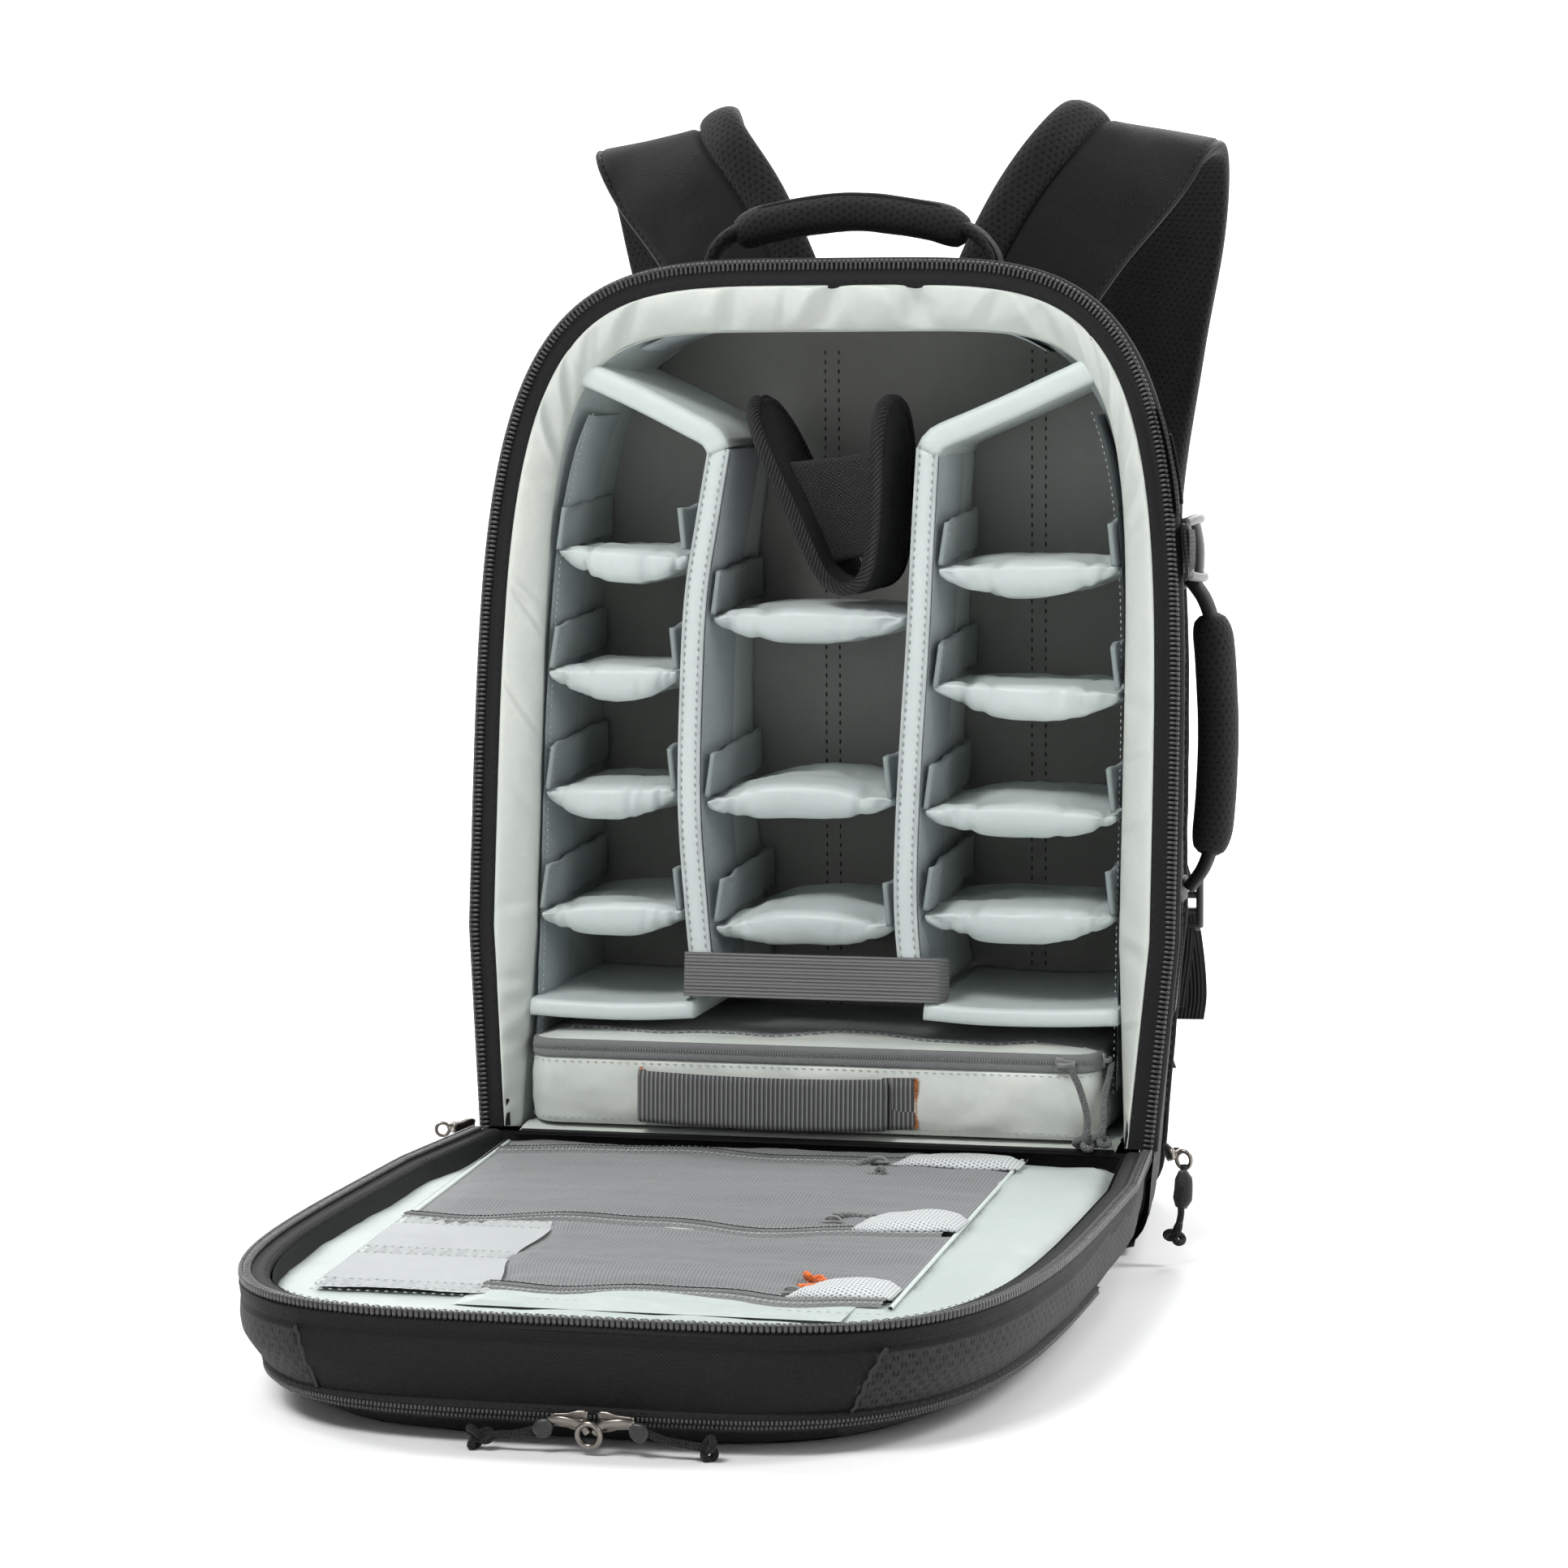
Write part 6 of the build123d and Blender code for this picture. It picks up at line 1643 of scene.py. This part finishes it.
def sx(y, z, off=0.0):
    s = (z - HZ) / CL
    yf = HY + max(s, 0) * SL
    f = (y - yf) / (84.0 - yf)
    w_ = 159.63 + 8.37 * min(max(s, 0), 97.85) / 97.85
    if s > 97.85:
        w_ = 168.0 * (1 - ((s - 97.85) / (416.9 - 97.85)) ** 4.521) ** (1 / 4.521)
    return w_ + 6.6 - 20.0 * f + off


# webbing and buckle on the right side
def patch(name, y0, y1, z0, z1, off, mat, rep=(), body=BODY, t=1.5, wav=0.4):
    G = np.zeros((16, 24, 3))
    for i, a in enumerate(np.linspace(0, 1, 16)):
        for j, b in enumerate(np.linspace(0, 1, 24)):
            y, z = y0 + (y1 - y0) * a, z0 + (z1 - z0) * b
            G[i, j] = (sx(y, z, off) + wav * math.sin(3 * b + 2 * a), y, z)
    o = grid(name, G, mat)
    thicken(o, t, 0)
    return piece(o, body, rep)


patch("side_web_mid", -52, -22, 318, 343, 3.2, "webblack", "side_webbing")
patch("side_web_up", -52, -30, 348, 398, 1.2, "webdark", wav=0.2)
patch("side_web_up2", -24, -2, 352, 385, 3.2, "webblack")
patch("side_web_low", -58, -35, 112, 165, 1.6, "webdark", wav=0.3)
patch("side_web_rear", 30, 58, 319, 342, 6.2, "webblack", "buckle_webbing_rear")
# buckle: a curved grey frame with two openings and a plug
def sheetpoint(y, z, off):
    return np.array([sx(y, z, off), y, z])


fr = []
for y, o_ in ((-25, 4.2), (-18, 8.0), (-9, 11.0), (-3, 10.4), (2.6, 8.0)):
    fr.append((y, o_))
fr = catmull(fr, 6)
for k, z in enumerate((318.0, 343.0)):
    pth = np.array([sheetpoint(y, z + (1.0 if k else -1.0) * math.sin((y + 25) / 28 * math.pi) * 1.6, o_) for y, o_ in fr])
    piece(grid("buckle_rail%d" % k, tube_grid(pth, (1, 0, 0), 2.2, 2.6, 14, 3.0), "plasticgrey", closed_v=True, cap0=True, cap1=True), BODY, "buckle_socket" if k == 0 else ())
for k, (y, o_) in enumerate(((-24.2, 4.6), (-12.0, 9.6), (1.6, 8.6))):
    pth = np.array([sheetpoint(y, z, o_ + 1.2 * math.sin((z - 318) / 25 * math.pi)) for z in np.linspace(318, 343, 16)])
    piece(grid("buckle_bar%d" % k, tube_grid(pth, (1, 0, 0), 2.3, 1.8, 12, 3.0), "plasticgrey", closed_v=True, cap0=True, cap1=True), BODY)
for k, z in enumerate((321.5, 339.5)):
    pth = np.array([sheetpoint(y, z, 7.0 + 1.0 * math.sin((y - 3) / 26 * math.pi)) for y in np.linspace(3.9, 28, 16)])
    piece(grid("plug_prong%d" % k, tube_grid(pth, (1, 0, 0), 2.2, 2.0, 12, 3.0), "plasticgrey", closed_v=True, cap0=True, cap1=True), "buckle_male", "buckle_plug" if k == 0 else ())
for k, y in enumerate((12.0, 20.0, 28.0)):
    pth = np.array([sheetpoint(y, z, 8.0) for z in np.linspace(320, 341, 12)])
    piece(grid("plug_bar%d" % k, tube_grid(pth, (1, 0, 0), 1.8, 1.8, 12, 3.0), "plasticgrey", closed_v=True, cap0=True, cap1=True), "buckle_male")
# webbing through the buckle, standing off the side
pth = np.array([sheetpoint(y, 330.5, o_) for y, o_ in ((-34, 4.4), (-28, 6.4), (-22, 7.4), (-14, 7.0), (-8, 6.2))])
ribbon("buckle_web", resample(catmull(pth, 6), step=1.5), (0, 0, 1), 19.0, "webblack", t=1.4)

# ------------------------------------------------------------------ shoulder straps
C0 = [(60, 93.5, 424), (66, 95, 450), (88, 101, 490), (110, 110, 519), (122, 128, 533), (125, 152, 524), (122, 170, 488), (112, 176, 430), (104, 168, 350), (110, 147, 270), (122, 128, 205)]
W0_ = [(0.97, 0, -0.15), (0.96, 0.02, -0.26), (0.93, 0.05, -0.36), (0.92, 0.12, -0.33), (0.94, 0.15, -0.22), (0.96, 0.15, -0.12), (0.98, 0.12, 0), (0.99, 0.10, 0.05), (1, 0, 0.05), (1, 0, -0.1), (1, 0, -0.15)]
wid = [66, 70, 76, 78, 78, 78, 76, 74, 70, 64, 48]
thk = [7, 9, 12, 13, 13, 13, 13, 13, 13, 12, 10]
allp = resample(catmull(np.hstack([np.array(C0, float), np.array(W0_, float), np.array(wid, float)[:, None], np.array(thk, float)[:, None]]), 14), step=None, n=170)
for sg, tag, body in ((-1, "left", "strap_left"), (1, "right", "strap_right")):
    p = allp[:, :3] * [sg, 1, 1]
    wd = allp[:, 3:6] * [sg, 1, 1]
    tg = np.gradient(p, axis=0); tg /= np.linalg.norm(tg, axis=1)[:, None]
    wd = wd - (wd * tg).sum(1)[:, None] * tg
    wd /= np.linalg.norm(wd, axis=1)[:, None]
    nn = np.cross(tg, wd) * (1 if sg > 0 else -1)
    # make the normal point to the outer face of the loop
    ctr = p.mean(0)
    sgn = np.sign(((p - ctr) * nn).sum(1).mean())
    nn = nn * sgn
    Wd, Th = allp[:, 6], allp[:, 7]
    endk = np.clip(np.minimum(np.arange(170), 169 - np.arange(170)) / 6.0, 0.35, 1)
    Th = Th * endk
    # section: 0..1 outer face from the outside edge to the roll, the mesh roll at the inner edge, then the mesh underside
    a = np.linspace(0, 1, 26)
    sec = []
    for v in a:                                         # woven outer face, gently crowned, from x=+0.5 to x=-0.20
        x_ = 0.5 - 0.71 * v
        sec.append((x_, 0.32 + 0.16 * math.sin(math.pi * v) ** 0.7 - (0.22 if v > 0.97 or v < 0.02 else 0.0), 0))
    for v in np.linspace(0, 1, 14):                     # rolled mesh edge
        an = math.radians(165 - 255 * v)
        sec.append((-0.355 - 0.0 + 0.150 * math.cos(math.radians(20 + 250 * v)), 0.16 + 0.56 * math.sin(math.radians(20 + 250 * v)), 1))
    for v in np.linspace(0, 1, 22):                     # mesh underside
        x_ = -0.30 + 0.80 * v
        sec.append((x_, -0.44 + 0.05 * math.cos(6 * v), 1))
    sec.append((0.515, -0.18, 1))
    sec.append((0.53, 0.08, 0))
    sec = np.array(sec)
    G = p[:, None, :] + sec[None, :, :1] * Wd[:, None, None] * wd[:, None, :] + sec[None, :, 1:2] * Th[:, None, None] * nn[:, None, :]
    f = fbm_arr(G, 0.018, 91.0 + sg) * 1.6
    G = G + f[..., None] * nn[:, None, :] * 0.8
    ms = sec[:, 2]
    o = grid("strap_body_" + tag, G, "strapcloth", closed_v=True, cap0=True, cap1=True, mats=["strapcloth", "spacer"], mfun=lambda i, j: int(ms[j]), flip=(sg * sgn > 0))
    md = o.modifiers.new("sub", "SUBSURF"); md.levels = md.render_levels = 1
    piece(o, body, "shoulder_strap_" + tag)
    for x_, h_, nm in ((0.485, 0.30, "out"), (-0.215, 0.30, "in"), (0.505, -0.10, "edge")):
        pth = p + wd * (x_ * Wd)[:, None] + nn * (h_ * Th + 0.6)[:, None]
        stitches("strap_stitch_%s_%s" % (nm, tag), pth[3:-3], nn[3:-3].copy(), "threadgrey" if nm == "edge" else "threadblack", body, length=2.6, gap=1.6, w=0.7, h=0.6)
    # piping on the outer edge
    pth = resample((p + wd * (0.50 * Wd)[:, None] + nn * (0.12 * Th)[:, None])[2:-2], step=4)
    piece(grid("strap_piping_" + tag, tube_grid(pth, (0, 0.3, 1), 1.7, 1.7, 10), "webblack", closed_v=True, cap0=True, cap1=True), body)
    # daisy webbing down the outer face
    k0, k1 = 92, 160
    pth = (p + nn * (0.52 * Th + 0.9)[:, None] + wd * (0.12 * Wd)[:, None])[k0:k1]
    ribbon("strap_daisy_" + tag, resample(pth, step=4), resample(wd[k0:k1], n=len(resample(pth, step=4))), 20.0, "webblack", body, t=1.4)
    # lower webbing, ladder buckle and the tail that goes to the base
    wp_ = catmull([(sg * 126, 124, 199), (sg * 132, 117, 186), (sg * 138, 111, 172), (sg * 143, 107.5, 158)], 8)
    ribbon("strap_web_up_" + tag, wp_, (1, 0, -0.15 * sg), 25.0, "webblack", body, t=1.6, rep="strap_webbing_" + tag, slot="black_webbing")
    wp2 = catmull([(sg * 145, 101, 132), (sg * 144.4, 99.5, 120), (sg * 143, 96, 106), (sg * 141.5, 92.5, 93)], 8)
    ribbon("strap_web_low_" + tag, wp2, (1, 0, 0), 25.0, "webblack", body, t=1.6)
    tail = catmull([(sg * 145, 108, 142), (sg * 147, 112, 130), (sg * 149, 114, 112), (sg * 150, 113, 96), (sg * 149, 110, 84)], 8)
    ribbon("strap_tail_" + tag, tail, (1, 0.1 * sg, 0), 24.0, "webblack", body, t=1.5)
    for k, dz in enumerate((-11.5, -4, 4.5, 11.5)):
        lx = np.linspace(-15.5, 15.5, 14)
        pth = np.array([(sg * 144.5 + x_, 104 - 1.4 * math.cos(x_ / 15.5 * 1.4) + (1.5 if k in (1, 2) else 0), 144.5 + dz) for x_ in lx])
        piece(grid("ladder_%s%d" % (tag, k), tube_grid(pth, (0, 1, 0), 1.9 if k in (1, 2) else 2.3, 2.4, 12, 3), "plasticblack", closed_v=True, cap0=True, cap1=True), body, "strap_adjuster_" + tag if k == 0 else ())
    for k, dx in enumerate((-15.2, 15.2)):
        pth = np.array([(sg * 144.5 + dx, 104.0, z) for z in np.linspace(132.5, 156.5, 12)])
        piece(grid("ladder_side_%s%d" % (tag, k), tube_grid(pth, (0, 1, 0), 1.9, 3.0, 12, 3), "plasticblack", closed_v=True, cap0=True, cap1=True), body)
    # sewn anchors on the back
    nm = "anchor_top_" + tag
    rbox(nm, (27 if sg > 0 else -93, 84.4, 400), (93 if sg > 0 else -27, 91.6, 416), "strapcloth", bevel=2.6, rep="strap_anchors" if sg > 0 else ())
    ribbon("anchor_load_" + tag, catmull([(sg * 60, 91.5, 404), (sg * 60, 92.5, 414), (sg * 61, 93.4, 424)], 6), (1, 0, 0), 46.0, "webblack", t=1.6)
    tri = np.array([[(sg * (136.5 + (14.0 * (1 - 0.85 * v)) * u), 85.0 + 2.2 * math.sin(math.pi * v) + 0.8, 62.5 + 31 * v) for u in np.linspace(-1, 1, 10)] for v in np.linspace(0, 1, 12)])
    a_ = grid("anchor_low_" + tag, tri, "webblack")
    thicken(a_, 3.4, 0)
    piece(a_, BODY)
# small adjuster seen under the top handle
rbox("lifter_buckle", (-34.5, 40, 462.6), (-20.5, 58, 466.0), "plasticblack", bevel=1.1)
ring_piece("lifter_ring", (-24, 40.0, 466.6), (0.1, 1, 0.5), 4.4, 1.1, "plasticblack", BODY, stretch=0.6)
ribbon("lifter_web", catmull([(-88, 60, 461.0), (-60, 56, 462.6), (-34, 50, 464.0)], 6), (0, 1, 0.1), 16.0, "webblack", t=1.3)
ribbon("hang_loop", catmull([(10, 74, 459.5), (-4, 72, 463), (-20, 70, 464.5), (30, 72, 463.0), (44, 74, 459.5)][0:1] + [(14, 72, 463.0), (24, 71, 464.8), (38, 72, 463.4), (44, 74, 459.5)], 6), (0, 1, 0), 12.0, "webblack", t=1.3)

# ------------------------------------------------------------------ back pads
def cushion(name, x0, x1, z0, z1, y0, y1, rep, seed, mat="spacer", r=18):
    nu, nv = 60, 80
    G = np.zeros((nu, nv, 3))
    cx, cz = (x0 + x1) / 2, (z0 + z1) / 2
    for i, a in enumerate(np.linspace(-1, 1, nu)):
        for j, b in enumerate(np.linspace(-1, 1, nv)):
            k = max(abs(a), abs(b))
            X = cx + (x1 - x0) / 2 * a * (1 - 0.10 * b ** 4)
            Z = cz + (z1 - z0) / 2 * b * (1 - 0.04 * a ** 4)
            h = (1 - abs(a) ** 5) * (1 - abs(b) ** 9)
            gro = 0.0
            for c_ in (-0.34, 0.34):
                gro += math.exp(-((b - c_) * (z1 - z0) / 2 / 2.6) ** 2)
            G[i, j] = (X, y0 + (y1 - y0) * max(h, 0) ** 0.45 - 3.0 * gro * max(h, 0) ** 0.3, Z)
    G[..., 1] += np.clip(fbm_arr(G, 0.03, seed), -1, 0.2) * 1.2 * ((G[..., 1] - y0) / (y1 - y0))
    return piece(grid(name, G, mat, flip=False), BODY, rep)


cushion("pad_right", 24, 100, 170, 392, 83.8, 98.0, "back_pads", 1.0)
cushion("pad_left", -100, -24, 170, 392, 83.8, 98.0, (), 2.0)
cushion("pad_lumbar", -105, 105, 55, 150, 83.8, 100.0, (), 3.0)

# ------------------------------------------------------------------ main sliders, pull, gusset
for sg in (1, -1):
    slider("main_slider_%s" % ("r" if sg > 0 else "l"), (sg * 173.5, -86.5, 49.4), (sg * 0.35, -1, 0.1), (sg, 0.15, 0.25), BODY, "main_sliders" if sg > 0 else (), L=15.5, W=9.0, H=5.0)
ring_piece("main_d_ring", (181.3, -91.5, 47.6), (0.25, 1, 0.15), 3.6, 1.0, "gunmetal", "main_pull", stretch=1.15)
tabp = catmull([(181.4, -94.2, 43.0), (181.9, -95.6, 37.0), (181.6, -96.6, 30.5), (181.0, -98.0, 26.0)], 6)
piece(grid("main_pull_tab", tube_grid(tabp, (0, -1, 0), np.interp(np.linspace(0, 1, len(tabp)), [0, 0.2, 0.7, 1], [2.0, 4.2, 4.6, 2.6]), 2.2, 14, 2.8), "plasticblack", closed_v=True, cap0=True, cap1=True), "main_pull")
ring_piece("left_pull_ring", (-183.0, -90.0, 48.6), (-0.3, 1, 0.1), 3.2, 0.9, "gunmetal", BODY)
# sewn gusset between base and lid
G = np.zeros((70, 14, 3))
for j, v in enumerate(np.linspace(0, 1, 14)):
    y = -78.5 - 11.5 * v
    z = 48.6 - 1.6 * math.sin(math.pi * v) - 0.6 * v
    G[:, j] = np.stack([np.linspace(-146 - 6 * v, 146 + 6 * v, 70), np.full(70, y), np.full(70, z)], -1)
gus = grid("gusset_cloth", G, "tape", flip=True)
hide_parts("hinge_gusset")
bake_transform(gus)
# pale cloth from the floor of the compartment to the sill
G = np.zeros((70, 8, 3))
for j, v in enumerate(np.linspace(0, 1, 8)):
    G[:, j] = np.stack([np.linspace(-147, 147, 70), np.full(70, -62.0 - 18.0 * v), np.full(70, 50.2 - 2.4 * v ** 2)], -1)
piece(grid("sill_cloth", G, "lining_cream", flip=False), BODY)
SLOTMAT = {"black_fabric": "ballistic", "lining": "lining", "foam": "lining", "back_lining": "tricot", "spacer_mesh": "spacer3", "black_zip": "tape", "grey_webbing": "webgrey",
           "black_webbing": "webblack", "grey_mesh": "greymesh", "white_mesh": "whitemesh", "gunmetal": "gunmetal", "grey_cord": "cordgrey", "orange_cord": "cordorange",
           "black_cord": "cordblack", "grey_plastic": "plasticgrey", "black_plastic": "plasticblack"}

# ------------------------------------------------------------------ stage
def stage():
    m = NT("floor_white")
    obj = m.coords(False)
    n1 = m.noise(obj, 3.0, 2.0)
    c = m.ramp(n1, [(0.3, (0.90, 0.90, 0.905)), (0.7, (0.93, 0.93, 0.93))])
    fm = m.done(c, 0.75, None)
    me = bpy.data.meshes.new("floor")
    pr = [(-6.0, -0.0006), (2.0, -0.0006)] + [(2.0 + 1.5 * math.sin(a), 1.5 - 1.5 * math.cos(a) - 0.0006) for a in np.linspace(0, math.pi / 2, 24)[1:]] + [(3.5, 7.0)]
    vs = [(x_, y_, z_) for y_, z_ in pr for x_ in (-8, 8)]
    me.from_pydata(vs, [], [(2 * i, 2 * i + 1, 2 * i + 3, 2 * i + 2) for i in range(len(pr) - 1)])
    me.materials.append(fm)
    me.polygons.foreach_set("use_smooth", np.ones(len(me.polygons), bool))
    fl = link("floor", me)
    wd = scene.world or bpy.data.worlds.new("world")
    scene.world = wd
    wd.use_nodes = True
    bg = wd.node_tree.nodes.get("Background") or wd.node_tree.nodes.new("ShaderNodeBackground")
    bg.inputs[0].default_value = (0.93, 0.95, 0.98, 1)
    bg.inputs[1].default_value = 0.24

    def area(nm, loc, tgt, size, power, sy=None):
        ld = bpy.data.lights.new(nm, "AREA")
        ld.shape = "RECTANGLE"
        ld.size = size
        ld.size_y = sy or size
        ld.energy = power
        o = bpy.data.objects.new(nm, ld)
        scene.collection.objects.link(o)
        o.location = loc
        o.rotation_euler = (Vector(tgt) - Vector(loc)).to_track_quat("-Z", "Y").to_euler()
    area("key", (-0.7, -1.5, 2.2), (0, -0.2, 0.15), 0.9, 40)
    area("fill", (1.9, -1.2, 1.0), (0, -0.1, 0.25), 1.1, 9)
    area("rim", (0.3, 1.9, 1.8), (0, 0.1, 0.35), 1.2, 24)
    area("front", (-0.5, -3.2, 0.9), (0, -0.1, 0.2), 1.2, 7)
    area("backdrop_a", (-2.6, 0.9, 2.6), (-0.3, 3.6, 0.9), 1.6, 150)
    area("backdrop_b", (2.6, 0.9, 2.6), (0.3, 3.6, 0.9), 1.6, 150)


stage()
